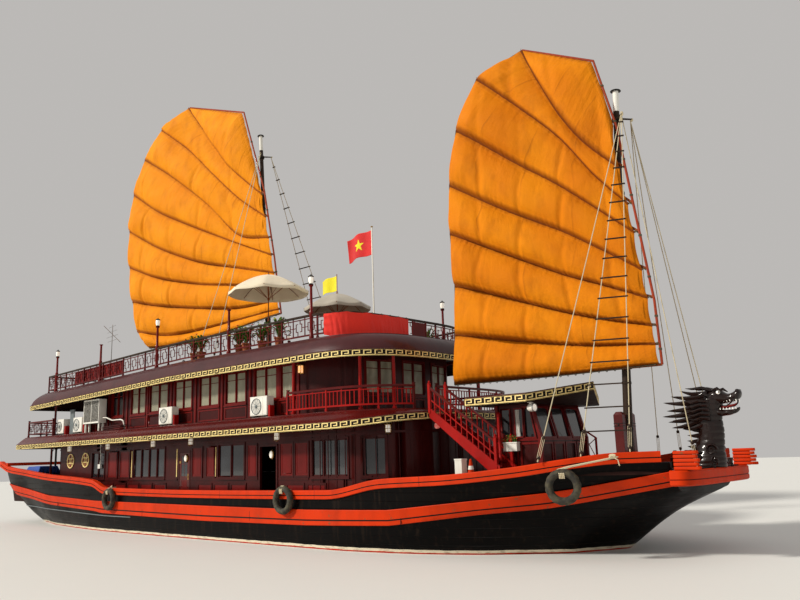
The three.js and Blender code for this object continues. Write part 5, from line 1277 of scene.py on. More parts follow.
def addKeys(shape, run, low, high):
    inside = (low + 0.020, high - 0.018)
    tall = inside[1] - inside[0]
    places, pitch = run.walk(keyPattern["pitch"])
    out = (0.0, keyPattern["raise"])
    for middle in places:
        for (a, b), (c, d) in keyPattern["strokes"]:
            run.block(shape, (middle + pitch * (a - 0.5), middle + pitch * (b - 0.5)), out,
                      (inside[0] + tall * c, inside[0] + tall * d), pitch=0.2)
    for z in (low + 0.003, high - 0.008):
        run.bar(shape, [(0, z), (keyPattern["raise"], z), (keyPattern["raise"], z + 0.005), (0, z + 0.005)])


def deckRuns(key, inset, lift):  # the long way round, and straight across the stern
    line = [planAt(key, m, inset) for m in planMarks(key, (sheer["start"],))]
    stern = [Vector(line[-1]).lerp(Vector(line[0]), k / 6) for k in range(7)]
    return Run(line, lift), Run(stern, lift)


def makeDeck(name, plan):
    marks = planMarks(plan["plan"], (sheer["start"],))
    low, high = plan["band"]
    shape = Shape()

    def ring(inset, z, lift):
        return [Vector((x, y, z + lift(x))) for x, y in (planAt(plan["plan"], m, inset) for m in marks)]

    outside = [ring(inset, z, plan["lift"] if z < high + 0.1 else plan["liftTop"])
               for inset, z in plan["outside"]]
    inside = [ring(inset, z, plan["lift"] if z < high else plan["liftTop"]) for inset, z in plan["inside"]]
    shape.rings(outside, caps=False)
    shape.mark = 1
    shape.rings([ring(0, low, plan["lift"]), ring(0, high, plan["lift"]), outside[0]], caps=False)
    shape.rings([ring(0, low, plan["lift"])] + inside[:1], caps=False)
    shape.mark = 2
    shape.rings(inside, caps=False)
    for mark, edge in ((3, outside[-1]), (2, inside[-1])):
        shape.mark = mark
        count = len(edge)
        shape.add(edge, [(i, i + 1, count - 2 - i, count - 1 - i) for i in range(count // 2 - 1)])
    shape.mark = 2
    half = plans[plan["plan"]][3] - 0.6
    for x in steps(plans[plan["plan"]][0] + 0.6, 2.8, 0.9):  # beams under the deck
        z = plan["inside"][-1][1] + plan["liftTop"](x)
        shape.box((x - 0.04, -half, z - 0.07), (x + 0.04, half, z + 0.01))
    piece(name + "DeckRoof", shape, "ship", [plan["cover"], "band", "ceiling", "deck"],
          [plan["replaces"]], sharp=38)
    keys = Shape()
    for run in deckRuns(plan["plan"], 0, plan["lift"]):
        addKeys(keys, run, low, high)
    piece(name + "DeckKeys", keys, "ship", ["gold"], sharp=30)


makeDeck("second", decks["second"])
makeDeck("sun", decks["sun"])

# walls: openings are along the side by x, or across the front by y, then from z to z
upperPanes = (4.62, 5.74)  # sill and head of the upper windows
cabins = {
    "main": {"plan": "mainCabin", "replaces": "main_cabin", "low": deckTop["main"], "high": 3.7597,
             "side": [(-11.15, -10.05, 2.05, 3.15), (-7.66, -5.36, 2.05, 3.20), (-4.32, -3.68, 1.12, 2.97),
                      (-1.85, -0.33, 2.05, 3.20), (0.56, 1.40, 1.12, 3.05), (3.15, 4.70, 2.05, 3.20),
                      (5.20, 5.90, 2.05, 3.20)],
             "front": [], "aft": (-0.5, 0.5, 1.12, 3.0), "lift": levelLine},
    "upper": {"plan": "upperCabin", "replaces": "upper_cabin", "low": deckTop["second"], "high": 6.0997,
              "side": [(*span, *upperPanes) for span in (
                  (-11.3, -10.3), (-9.68, -8.75), (-8.1, -6.99), (-6.65, -5.33), (-4.85, -3.68), (-3.15, -1.94),
                  (-1.52, -0.34), (0.16, 1.36), (1.57, 2.28))],
              "front": [(*span, *upperPanes) for span in ((-2.1, -1.0), (-0.55, 0.55), (1.0, 2.1))],
              "aft": (-0.38, 0.26, 4.06, 5.74), "lift": sternDrop},
}
wallThick = 0.06


def makeWalls(name, cabin):
    key, low, high = cabin["plan"], cabin["low"], cabin["high"]
    aft, _, _, half, power = plans[key]
    marks = planMarks(key, [v for o in cabin["side"] for v in o[:2]] + [sheer["start"]],
                      [v for o in cabin["front"] for v in o[:2]])
    shape = Shape()
    outer = [Vector(planAt(key, m)) for m in marks]
    inner = [Vector(planAt(key, m, wallThick)) for m in marks]

    def topAt(x, z):
        return z + (cabin["lift"](x) if z > 6 else 0)

    def wallPart(a, b, c, d, z0, z1):  # outside a to b, inside c to d
        shape.hexa([(p.x, p.y, z0) for p in (a, b, d, c)], [(p.x, p.y, topAt(p.x, z1)) for p in (a, b, d, c)])

    for i, (m, n) in enumerate(zip(marks, marks[1:])):
        x, y = planAt(key, (m + n) / 2)
        if abs(y) > half * 0.5 ** (1 / power) - 0.001:
            holes = [o[2:] for o in cabin["side"] if o[0] < x < o[1]]
        else:
            holes = [o[2:] for o in cabin["front"] if o[0] < y < o[1]]
        z = low
        for z0, z1 in sorted(holes) + [(high, high)]:
            if z0 > z:
                wallPart(outer[i], outer[i + 1], inner[i], inner[i + 1], z, z0)
            z = z1
    y0, y1, z0, z1 = cabin["aft"]
    for a, b, lowZ, highZ in ((-half, y0, low, high), (y1, half, low, high), (y0, y1, low, z0), (y0, y1, z1, high)):
        shape.hexa([(aft, a, lowZ), (aft + wallThick, a, lowZ), (aft + wallThick, b, lowZ), (aft, b, lowZ)],
                   [(p, q, topAt(p, highZ)) for p, q in ((aft, a), (aft + wallThick, a), (aft + wallThick, b),
                                                        (aft, b))])
    piece(name + "CabinWalls", shape, "ship", ["lacquer"], [cabin["replaces"]], sharp=30)


makeWalls("main", cabins["main"])
makeWalls("upper", cabins["upper"])


class Wall:  # the flat stretch between two places on a wall: u along it, out from it, z up
    def __init__(self, start, end):
        self.start, self.along = Vector((*start, 0)), Vector((end[0] - start[0], end[1] - start[1], 0))
        self.width = self.along.length
        self.along.normalize()
        self.out = Vector((self.along.y, -self.along.x, 0))

    def at(self, u, out, z):
        return self.start + self.along * u + self.out * out + Vector((0, 0, z))

    def block(self, shape, span, outs, heights):
        (a, b), (c, d), (low, high) = span, outs, heights
        shape.hexa([self.at(u, o, low) for u, o in ((a, c), (b, c), (b, d), (a, d))],
                   [self.at(u, o, high) for u, o in ((a, c), (b, c), (b, d), (a, d))])

    def frame(self, shape, span, outs, heights, wide):  # four members with mitred corners
        (a, b), (c, d), (low, high) = span, outs, heights
        outer = [(a, low), (b, low), (b, high), (a, high)]
        inner = [(a + wide, low + wide), (b - wide, low + wide), (b - wide, high - wide), (a + wide, high - wide)]
        for k in range(4):
            n = (k + 1) % 4
            ring = [outer[k], outer[n], inner[n], inner[k]]
            shape.hexa([self.at(u, c, z) for u, z in ring], [self.at(u, d, z) for u, z in ring])


def sideWall(key, x0, x1, sign):  # the outside of a plan between two x on one side
    def spot(x):
        _, start, front, half, power = plans[key]
        return x, sign * half * (1 - (max(x - start, 0) / (front - start)) ** power) ** (1 / power)

    return Wall(spot(x0), spot(x1)) if sign < 0 else Wall(spot(x1), spot(x0))


def frontWall(key, y0, y1):
    _, start, front, half, power = plans[key]
    return Wall(*[(start + (front - start) * (1 - (abs(y) / half) ** power) ** (1 / power), y) for y in (y0, y1)])


def addWindow(trim, glass, wall, heights, panes, bars=1):
    low, high = heights
    wall.frame(trim, (-0.045, wall.width + 0.045), (-0.055, 0.028), (low - 0.05, high + 0.045), 0.06)
    wall.block(trim, (-0.07, wall.width + 0.07), (0.0, 0.06), (low - 0.085, low - 0.045))
    step = wall.width / panes
    for k in range(1, panes):
        wall.block(trim, (k * step - 0.022, k * step + 0.022), (-0.05, 0.012), (low + 0.01, high - 0.015))
    for k in range(panes):
        wall.frame(trim, (k * step + 0.018, (k + 1) * step - 0.018), (-0.05, -0.018), (low + 0.012, high - 0.017),
                   0.042)
        if bars:
            wall.block(trim, (k * step + 0.05, (k + 1) * step - 0.05), (-0.045, -0.022),
                       (high - 0.30, high - 0.275))
    wall.block(glass, (0.014, wall.width - 0.014), (-0.044, -0.036), (low + 0.012, high - 0.012))


def makeUpperWindows():
    trim, soft, clear = Shape(), Shape(), Shape()
    cabin = cabins["upper"]
    for sign in (-1, 1):
        for n, (x0, x1, z0, z1) in enumerate(cabin["side"]):
            wall = sideWall(cabin["plan"], x0, x1, sign)
            addWindow(trim, clear if n < 2 else soft, wall, (z0, z1), 1 if x1 - x0 < 0.8 else 2)
        edges = [aft for _, aft, _, _ in cabin["side"]]
        for x in [(a + b[0]) / 2 for a, b in zip(edges, cabin["side"][1:])] + [-11.6, 2.45]:
            wall = sideWall(cabin["plan"], x - 0.05, x + 0.05, sign)
            wall.block(trim, (0, wall.width), (-0.01, 0.035), (4.02, 5.98 + sternDrop(x)))
        for x0, x1, z0, z1 in cabin["side"]:  # panelled boards below each window
            wall = sideWall(cabin["plan"], x0 - 0.05, x1 + 0.05, sign)
            wall.frame(trim, (0, wall.width), (-0.01, 0.018), (4.08, 4.50), 0.05)
    for y0, y1, z0, z1 in cabin["front"]:
        wall = frontWall(cabin["plan"], y0, y1)
        addWindow(trim, soft, wall, (z0, z1), 2)
        wall.frame(trim, (0, wall.width), (-0.01, 0.02), (4.08, 4.50), 0.05)
    piece("upperWindowTrim", trim, "ship", ["panel"], sharp=30)
    piece("upperWindowCurtains", soft, "ship", ["curtain"], sharp=30)
    piece("upperWindowGlass", clear, "ship", ["glass"], sharp=30)


makeUpperWindows()

lowerWall = {
    "windows": {(-11.15, -10.05): 2, (-7.66, -5.36): 4, (-1.85, -0.33): 2, (3.15, 4.70): 3, (5.20, 5.90): 1},
    "panels": [(-9.72, -8.98), (-8.72, -7.98), (-3.46, -2.86), (-2.56, -2.06), (-0.12, 0.36), (1.62, 2.24),
               (2.36, 2.98)],
    "panelHeights": (2.08, 3.12), "medallions": [(-13.15, 2.82), (-11.75, 2.84)], "medallionSize": 0.30,
    "strips": [-7.8, -4.5, -2.0, 2.98], "doorways": ((-4.32, -3.68), (0.56, 1.40)),
}


def makeLowerWalls():
    trim, glass, red, gold = Shape(), Shape(), Shape(), Shape()
    key = "mainCabin"
    for sign in (-1, 1):
        for (x0, x1), panes in lowerWall["windows"].items():
            addWindow(trim, glass, sideWall(key, x0, x1, sign), (2.05, 3.15 if x0 < -11 else 3.20), panes, bars=0)
        low, high = lowerWall["panelHeights"]
        for x0, x1 in lowerWall["panels"]:
            wall = sideWall(key, x0, x1, sign)
            wall.frame(trim, (-0.05, wall.width + 0.05), (-0.01, 0.03), (low - 0.05, high + 0.05), 0.06)
            wall.block(red, (0, wall.width), (-0.01, 0.012), (low, high))
            wall.frame(red, (0.07, wall.width - 0.07), (0.012, 0.02), (low + 0.07, high - 0.07), 0.02)
        for x0 in steps(-14.1, 2.9, 0.98):  # framed dado under the windows
            spot = x0 + 0.49
            if any(a - 0.5 < spot < b + 0.5 for a, b in lowerWall["doorways"]):
                continue
            wall = sideWall(key, x0, x0 + 0.9, sign)
            wall.frame(trim, (0, 0.9), (-0.01, 0.022), (1.16, 1.86), 0.07)
            wall.block(red, (0.07, 0.83), (-0.01, 0.006), (1.23, 1.79))
        for x0, x1 in lowerWall["doorways"]:  # door cases
            wall = sideWall(key, x0, x1, sign)
            top = 2.97 if x0 < 0 else 3.05
            for u in (-0.075, wall.width + 0.005):
                wall.block(trim, (u, u + 0.07), (-0.058, 0.010 if x0 < 0 else 0.03), (1.005, top + 0.07))
            wall.block(trim, (-0.075, wall.width + 0.075), (-0.058, 0.012 if x0 < 0 else 0.032),
                       (top + 0.002, top + 0.075))
        for z, deep in ((1.03, 0.03), (1.95, 0.022), (3.30, 0.03), (3.66, 0.045)):
            for a, b in ((-14.2, -4.45), (-3.55, 0.42), (1.52, 3.0)) if z < 3 else ((-14.2, 3.0),):
                sideWall(key, a, b, sign).block(trim, (0, b - a), (-0.01, deep), (z, z + 0.07))
        for x, z in lowerWall["medallions"]:
            wall = sideWall(key, x - 0.35, x + 0.35, sign)
            addMedallion(gold, red, wall, z)
        for x in lowerWall["strips"]:
            sideWall(key, x - 0.02, x + 0.02, sign).block(gold, (0, 0.04), (0.0, 0.02), (2.08, 3.12))
    trimFront = Run([planAt(key, m) for m in planMarks(key) if 0 <= m <= math.pi])
    for k in range(34):  # planks of the curved front wall
        s = trimFront.length * (k + 0.5) / 34
        trimFront.block(trim, (s - 0.012, s + 0.012), (-0.01, 0.014), (1.10, 3.60))
    for z in (1.03, 3.30, 3.66):
        trimFront.bar(trim, [(-0.01, z), (0.035, z), (0.035, z + 0.07), (-0.01, z + 0.07)])
    piece("lowerWallTrim", trim, "ship", ["lacquer"], sharp=30)
    piece("lowerWallGlass", glass, "ship", ["glass"], sharp=30)
    piece("lowerWallPanels", red, "ship", ["panel"], sharp=30)
    piece("lowerWallGold", gold, "ship", ["gold"], sharp=30)


def addMedallion(gold, back, wall, z):
    # a round lattice ornament: two rings, crossed bars and four small frames
    radius, middle = lowerWall["medallionSize"], wall.width / 2

    def ring(shape, r, wide, deep):
        loop = [[wall.at(middle + (r + w) * math.cos(a), o, z + (r + w) * math.sin(a))
                 for w, o in ((-wide, 0), (wide, 0), (wide, deep), (-wide, deep))]
                for a in circle(28)]
        shape.rings(loop, closed=True)

    ring(gold, radius, 0.022, 0.03)
    ring(gold, radius * 0.36, 0.014, 0.024)
    disc = [wall.at(middle + radius * math.cos(a), 0.006, z + radius * math.sin(a))
            for a in circle(28)]
    back.add(disc, [tuple(range(28))])
    for shift in (-0.36, 0.36):
        reach = radius * math.sqrt(1 - shift * shift)
        u = middle + radius * shift
        wall.block(gold, (u - 0.011, u + 0.011), (0, 0.024), (z - reach, z + reach))
        wall.block(gold, (middle - reach, middle + reach), (0, 0.022),
                   (z + radius * shift - 0.011, z + radius * shift + 0.011))
    for a, b in ((-1, -1), (-1, 1), (1, -1), (1, 1)):
        u, v = middle + a * radius * 0.18, z + b * radius * 0.18
        wall.frame(gold, (u - 0.04, u + 0.04), (0, 0.02), (v - 0.04, v + 0.04), 0.012)


makeLowerWalls()
print("decks and cabins made")


# rails
rails = {
    "hand": [(-0.072, 0.765), (-0.066, 0.752), (0.006, 0.752), (0.012, 0.765), (0.012, 0.812), (0.0, 0.824),
             (-0.06, 0.824), (-0.072, 0.812)],
    "foot": [(-0.052, 0.12), (-0.008, 0.12), (-0.008, 0.17), (-0.052, 0.17)], "bay": 0.58, "drop": 0.115,
}


def addRail(shape, run, floor, top, lattice=True):
    low, high = floor + 0.17, floor + top - rails["drop"]
    shape.mark = 1
    run.bar(shape, [(o, floor + z + top - 0.82) for o, z in rails["hand"]])
    shape.mark = 0
    run.bar(shape, [(o, floor + z) for o, z in rails["foot"]])
    run.bar(shape, [(-0.046, high - 0.028), (-0.014, high - 0.028), (-0.014, high), (-0.046, high)])
    places, bay = run.walk(rails["bay"])
    for n, s in enumerate(places):
        edge = s - bay / 2
        if n % 3 == 0:  # a turned stanchion down to the deck
            run.block(shape, (edge - 0.026, edge + 0.026), (-0.056, -0.004), (floor + 0.001, floor + top - 0.06))
            run.block(shape, (edge - 0.036, edge + 0.036), (-0.066, 0.006), (floor + 0.001, floor + 0.07))
        else:
            run.block(shape, (edge - 0.014, edge + 0.014), (-0.044, -0.016), (low, floor + top - 0.06))
        if not lattice:
            for share in (-0.25, 0.0, 0.25):
                run.block(shape, (s + share * bay - 0.013, s + share * bay + 0.013), (-0.043, -0.017), (low, high))
            continue
        third, tall = bay * 0.24, (high - low) * 0.24
        thin = 0.011
        for side in (-1, 1):
            u = s + side * third
            run.block(shape, (u - thin, u + thin), (-0.041, -0.019), (low + tall, high - tall))
            run.block(shape, sorted((u, edge if side < 0 else edge + bay)), (-0.040, -0.020),
                      ((low + high) / 2 - thin, (low + high) / 2 + thin))
            for z in (low + tall, high - tall - 2 * thin):
                run.block(shape, (s - third, s - third + 0.6 * third) if side < 0 else (s + 0.4 * third, s + third),
                          (-0.040, -0.020), (z, z + 2 * thin))
            run.block(shape, (s + side * third * 0.4 - thin, s + side * third * 0.4 + thin), (-0.041, -0.019),
                      (low, low + tall + 2 * thin) if side < 0 else (high - tall - 2 * thin, high))


def runBetween(key, lift, keep, cutsX=(), cutsY=()):
    points = [planAt(key, m) for m in planMarks(key, cutsX, cutsY)]
    return Run([p for p in points if keep(*p)], lift)


lampPosts = {"places": [(-14.7, 2.04, "inside"), (-10.5, 1.66, "plain"), (-5.9, 2.08, "inside"),
                        (-1.1, 1.64, "plain"), (3.36, 1.80, "above")], "y": 3.46, "radius": 0.05}


def addLantern(shape, x, y, z):  # white glass between a dark foot and a dark cap
    for mark, profile in (
            (1, [(0.03, 0), (0.075, 0.004), (0.08, 0.03), (0.045, 0.05)]),
            (2, [(0.06, 0.05), (0.082, 0.13), (0.085, 0.22), (0.07, 0.27)]),
            (1, [(0.09, 0.27), (0.10, 0.285), (0.05, 0.325), (0.016, 0.335), (0.012, 0.37), (0.002, 0.378)])):
        shape.mark = mark
        shape.lathe(profile, (x, y, z), sides=14)
    shape.mark = 0


def makeSunRail():
    shape = Shape()
    for run in deckRuns("sunRail", 0, sternDrop):
        addRail(shape, run, 6.4, 0.82)
    posts = Shape()
    for x, tall, kind in lampPosts["places"]:
        for sign in (-1, 1):
            y, base = sign * lampPosts["y"], deckTop["sun"] + sternDrop(x)
            top = base + tall - (0.38 if kind == "inside" else 0.0)
            r = lampPosts["radius"]
            posts.mark = 0
            posts.lathe([(0.02, 0), (r + 0.03, 0), (r + 0.03, 0.10), (r + 0.012, 0.13), (r + 0.006, 0.7),
                         (r + 0.018, 0.72), (r + 0.018, 0.90), (r, 0.93), (r - 0.008, top - base - 0.06),
                         (r + 0.02, top - base - 0.04), (r + 0.03, top - base - 0.01), (0.02, top - base)],
                        (x, y, base), sides=16)
            if kind != "plain":
                addLantern(posts, x, y, top - 0.004)
    piece("sunDeckRail", shape, "ship", ["rail", "mast"], ["sun_deck_rail"], sharp=30)
    piece("lampPosts", posts, "ship", ["panel", "black", "lamp"], sharp=40)


makeSunRail()


def makeSecondRails():
    key, gate = "secondRail", (-2.27, -1.40)
    spans = {
        "veranda_rail_starboard": [runBetween(key, levelLine, lambda x, y: x >= 2.639 and y <= gate[0] + 0.001,
                                              (2.64,), (gate[0],))],
        "veranda_rail_port": [runBetween(key, levelLine, lambda x, y: x >= 2.639 and y >= gate[1] - 0.001,
                                         (2.64,), (gate[1],))],
    }
    stern = deckRuns(key, 0, levelLine)
    aft = [planAt(key, m) for m in planMarks(key, (-13.85,))]
    spans["stern_rail"] = [Run([p for p in aft if p[0] <= -13.849 and p[1] < 0]), stern[1],
                           Run([p for p in aft if p[0] <= -13.849 and p[1] > 0])]
    for name, runs in spans.items():
        shape = Shape()
        for run in runs:
            addRail(shape, run, 4.0, 0.72, lattice=name == "stern_rail")
            for s in (0.03, run.length - 0.03):
                shape.mark = 1
                run.block(shape, (s - 0.03, s + 0.03), (-0.06, 0.0), (deckTop["second"], 4.76))
                run.block(shape, (s - 0.042, s + 0.042), (-0.072, 0.012), (4.76, 4.785))
                shape.mark = 0
        red = "stair" if name != "stern_rail" else "rail"
        piece(plainName(name), shape, "ship", [red, "rail"], [name], sharp=30)


makeSecondRails()

posts = {
    "front": {"plan": "upperEave", "inset": 0.42, "wide": 0.11, "low": deckTop["second"], "beam": (6.01, 6.0997),
              "fromX": 2.3},
    "frames": {"stern_posts_upper": (-14.5, 3.5, deckTop["second"], 6.1 - 0.32736),
               "stern_posts_lower": (-15.8, 3.0, deckTop["main"], 3.76)},
    "radius": 0.05,
}


def addPost(shape, x, y, low, high):
    tall, r = high - low, posts["radius"]
    shape.lathe([(0.02, 0), (r + 0.024, 0), (r + 0.024, 0.09), (r + 0.006, 0.11), (r, 0.2), (r, tall - 0.16),
                 (r + 0.016, tall - 0.12), (r + 0.022, tall - 0.03), (0.02, tall)], (x, y, low), sides=14)


def makePosts():
    plan = posts["front"]
    shape = Shape()
    edge = planMarks(plan["plan"])
    outer = [planAt(plan["plan"], m, plan["inset"]) for m in edge]
    inner = [planAt(plan["plan"], m, plan["inset"] + plan["wide"]) for m in edge]
    low, high = plan["beam"]
    rings = [[Vector((p[0], p[1], low)), Vector((p[0], p[1], high)), Vector((q[0], q[1], high)),
              Vector((q[0], q[1], low))] for p, q in zip(outer, inner) if p[0] > plan["fromX"]]
    shape.rings(rings)
    for m in (math.pi * i / 14 for i in (0, 3, 5, 9, 11, 14)):
        x, y = planAt(plan["plan"], m, plan["inset"] + plan["wide"] / 2)
        addPost(shape, x, y, plan["low"], low + 0.01)
        for turn in (-1, 1):  # curved brackets under the beam
            n = m + turn * 0.11
            if 0 <= n <= math.pi:
                u, v = planAt(plan["plan"], n, plan["inset"] + plan["wide"] / 2)
                shape.tube([(x, y, low - 0.34), (x + (u - x) * 0.35, y + (v - y) * 0.35, low - 0.12),
                            (u, v, low + 0.005)], 0.018, 6)
    piece("verandaPosts", shape, "ship", ["stair"], ["veranda_posts"], sharp=35)
    for name, (x, half, low, high) in posts["frames"].items():
        shape = Shape()
        shape.box((x - 0.055, -half - 0.1, high - 0.09), (x + 0.055, half + 0.1, high - 0.0003))
        for sign in (-1, 1):
            addPost(shape, x, sign * half, low, high - 0.08)
            shape.tube([(x, sign * half, high - 0.5), (x, sign * (half - 0.18), high - 0.24),
                        (x, sign * (half - 0.42), high - 0.085)], 0.018, 6)
        piece(plainName(name), shape, "ship", ["rail"], [name], bevel=0.004)


makePosts()

stairs = {"top": 7.17, "foot": 9.54, "sides": (-2.25, -1.47), "topZ": 4.0, "footZ": 2.0, "steps": 9,
          "rail": ((7.19, 4.60), (9.47, 2.90)), "slope": ((7.17, 3.97), (9.6, 2.25)), "string": 0.05,
          "stringer": [(7.17, 3.70), (7.17, 3.985), (9.60, 2.23), (9.60, 2.0005), (9.38, 2.0005)],
          "edging": [(7.17, 3.945), (7.17, 3.995), (9.60, 2.24), (9.60, 2.19)]}


def makeStairs():
    shape = Shape()
    rise = (stairs["topZ"] - stairs["footZ"]) / (stairs["steps"] + 1)
    go = (stairs["foot"] - stairs["top"]) / (stairs["steps"] + 1)
    a, b = stairs["sides"]
    for n in range(1, stairs["steps"] + 1):
        x, z = stairs["top"] + go * n, stairs["topZ"] - rise * n
        shape.mark = 1
        shape.box((x - 0.035, a + 0.045, z - 0.036), (x + go + 0.02, b + 0.005, z))
        shape.mark = 0
        shape.box((x - 0.012, a + 0.05, z - rise + 0.002), (x + 0.004, b, z - 0.036))
    (x0, z0), (x1, z1) = stairs["rail"]
    (u0, w0), (u1, w1) = stairs["slope"]
    for y in stairs["sides"]:
        middle = y + stairs["string"] / 2
        shape.prism(stairs["stringer"], y, y + stairs["string"])
        shape.prism(stairs["edging"], y - 0.008, y + stairs["string"] + 0.008)
        shape.mark = 2
        shape.beam((x0 - 0.03, middle, z0 + 0.006), (x1 + 0.03, middle, z1 - 0.006), 0.068, 0.06)
        shape.mark = 0
        shape.beam((x0, middle, z0 - 0.36), (x1, middle, z1 - 0.36), 0.03, 0.03)
        for n in range(1, 12):  # square balusters
            share = n / 12
            x = x0 + (x1 - x0) * share
            low, high = w0 + (w1 - w0) * (x - u0) / (u1 - u0), z0 + (z1 - z0) * share
            shape.box((x - 0.014, middle - 0.014, low - 0.02), (x + 0.014, middle + 0.014, high - 0.01))
        for x, low, high in ((x0, 3.82, 4.69), (x1, 2.0005, 3.03)):
            shape.box((x - 0.042, middle - 0.042, low), (x + 0.042, middle + 0.042, high))
            shape.lathe([(0.03, 0), (0.056, 0.004), (0.056, 0.02), (0.03, 0.03), (0.036, 0.06), (0.02, 0.09),
                         (0.002, 0.1)], (x, middle, high), sides=12)
    piece("bowStairs", shape, "ship", ["stair", "panel", "rail"], ["bow_stairs"], sharp=30)


makeStairs()

house = {"aft": 8.95, "front": 10.35, "half": 1.30, "floor": deckTop["fore"], "sill": 3.0, "head": 3.84, "top": 3.94,
         "rake": 0.25, "rakeFrom": 9.85, "panes": (-1.2, -0.35, 0.5), "paneWidth": 0.7, "sidePane": (9.85, 10.2),
         "door": (9.06, 9.70, 2.12),
         "roof": {"aft": 8.4, "corner": 10.45, "nose": 11.4, "half": 2.1, "low": 3.9403, "thick": 0.27, "lift": 0.33}}


def leaned(shape):  # the windows of the wheelhouse lean aft at the top
    def lean(p):
        share = min(max((p[0] - house["rakeFrom"]) / (house["front"] - house["rakeFrom"]), 0), 1.1)
        return p[0] - house["rake"] * max(0, p[2] - house["sill"]) / (house["top"] - house["sill"]) * share, p[1], p[2]

    shape.points = [lean(p) for p in shape.points]
    return shape


def makeWheelhouse():
    shell, trim, glass, soft = Shape(), Shape(), Shape(), Shape()
    a, f, h, low, sill, head, top = (house[k] for k in ("aft", "front", "half", "floor", "sill", "head", "top"))
    t = wallThick

    def holed(wall, length, holes):  # a wall with openings, each from u to u and z to z
        marks = sorted({0, length, *[u for o in holes for u in o[:2]]})
        for u0, u1 in zip(marks, marks[1:]):
            z = low
            here = [o[2:] for o in holes if o[0] < (u0 + u1) / 2 < o[1]]
            for z0, z1 in here + [(top, top)]:
                for z2, z3 in ((z, min(z0, sill)), (max(z, sill), z0)):
                    if z3 > z2:
                        wall.block(shell, (u0, u1), (-t, 0), (z2, z3))
                z = z1

    front = Wall((f, -h), (f, h))
    holed(front, 2 * h, [(y + h, y + h + house["paneWidth"], sill, head) for y in house["panes"]])
    starboard, port = Wall((a, -h), (f, -h)), Wall((f, h), (a, h))
    (pane0, pane1), (door0, door1, doorSill) = house["sidePane"], house["door"]
    holed(starboard, f - a, [(pane0 - a, pane1 - a, sill, head)])
    holed(port, f - a, [(f - pane1, f - pane0, sill, head), (f - door1, f - door0, doorSill, head)])
    aft = Wall((a, h), (a, -h))
    holed(aft, 2 * h, [])
    for y in house["panes"]:
        wall = Wall((f, y), (f, y + house["paneWidth"]))
        addPane(trim, glass, wall, sill, head)
    for wall in (Wall((pane0, -h), (pane1, -h)), Wall((pane1, h), (pane0, h))):
        addPane(trim, glass, wall, sill, head)
    for wall, length in ((starboard, f - a), (front, 2 * h), (aft, 2 * h)):
        wall.block(trim, (-0.02, length + 0.02), (0, 0.03), (sill - 0.09, sill - 0.045))
        wall.block(trim, (-0.02, length + 0.02), (0, 0.03), (low, low + 0.09))
        count = round(length / 0.62)
        for n in range(count):  # panels of the dado
            u = length * n / count
            wall.frame(trim, (u + 0.03, u + length / count - 0.03), (0, 0.02), (low + 0.13, sill - 0.13), 0.06)
    for x, y in ((a, -h), (f, -h), (f, h), (a, h)):
        trim.box((x - 0.05, y - 0.05, low), (x + 0.05, y + 0.05, sill))
        trim.box((x - 0.045, y - 0.045, sill), (x + 0.045, y + 0.045, top))
    for u in (0.12, 0.58):  # side windows of the aft part: a frame and a narrow curtain
        starboard.frame(trim, (u, u + 0.34), (-0.01, 0.03), (sill, head), 0.04)
        starboard.block(glass, (u + 0.03, u + 0.31), (0.0, 0.008), (sill + 0.03, head - 0.03))
    for n in range(6):
        starboard.block(soft, (0.62 + 0.022 * n, 0.642 + 0.022 * n), (0.008, 0.014 + 0.008 * (n % 2)),
                        (sill + 0.04, head - 0.05))
    for z in (2.37, 3.37):
        for z0, z1 in ((z - 0.09, z - 0.0003), (z + 0.0903, z + 0.18)):
            trim.lathe([(0.009, 0), (0.009, z1 - z0)], (9.063, h + 0.012, z0), sides=10)
    piece("wheelhouseWalls", leaned(shell), "ship", ["lacquer"], ["wheelhouse"], sharp=30)
    piece("wheelhouseTrim", leaned(trim), "ship", ["panel"], sharp=30)
    piece("wheelhouseGlass", leaned(glass), "ship", ["glass"], sharp=30)
    piece("wheelhouseCurtain", leaned(soft), "ship", ["whiteCurtain"], sharp=30)


def addPane(trim, glass, wall, low, high):
    wall.frame(trim, (-0.045, wall.width + 0.045), (-0.058, 0.03), (low - 0.04, high + 0.04), 0.055)
    reach, tall = 0.10, 0.10  # rounded upper corners
    for side in (0, 1):
        corner = [(0.01, high - tall), (0.035, high - 0.045), (0.01 + reach, high - 0.01), (0.01, high - 0.01)]
        if side:
            corner = [(wall.width - u, z) for u, z in corner]
        near, far = [wall.at(u, -0.05, z) for u, z in corner], [wall.at(u, 0.012, z) for u, z in corner]
        trim.hexa(near, far)
    wall.block(glass, (0.01, wall.width - 0.01), (-0.044, -0.036), (low + 0.01, high - 0.01))


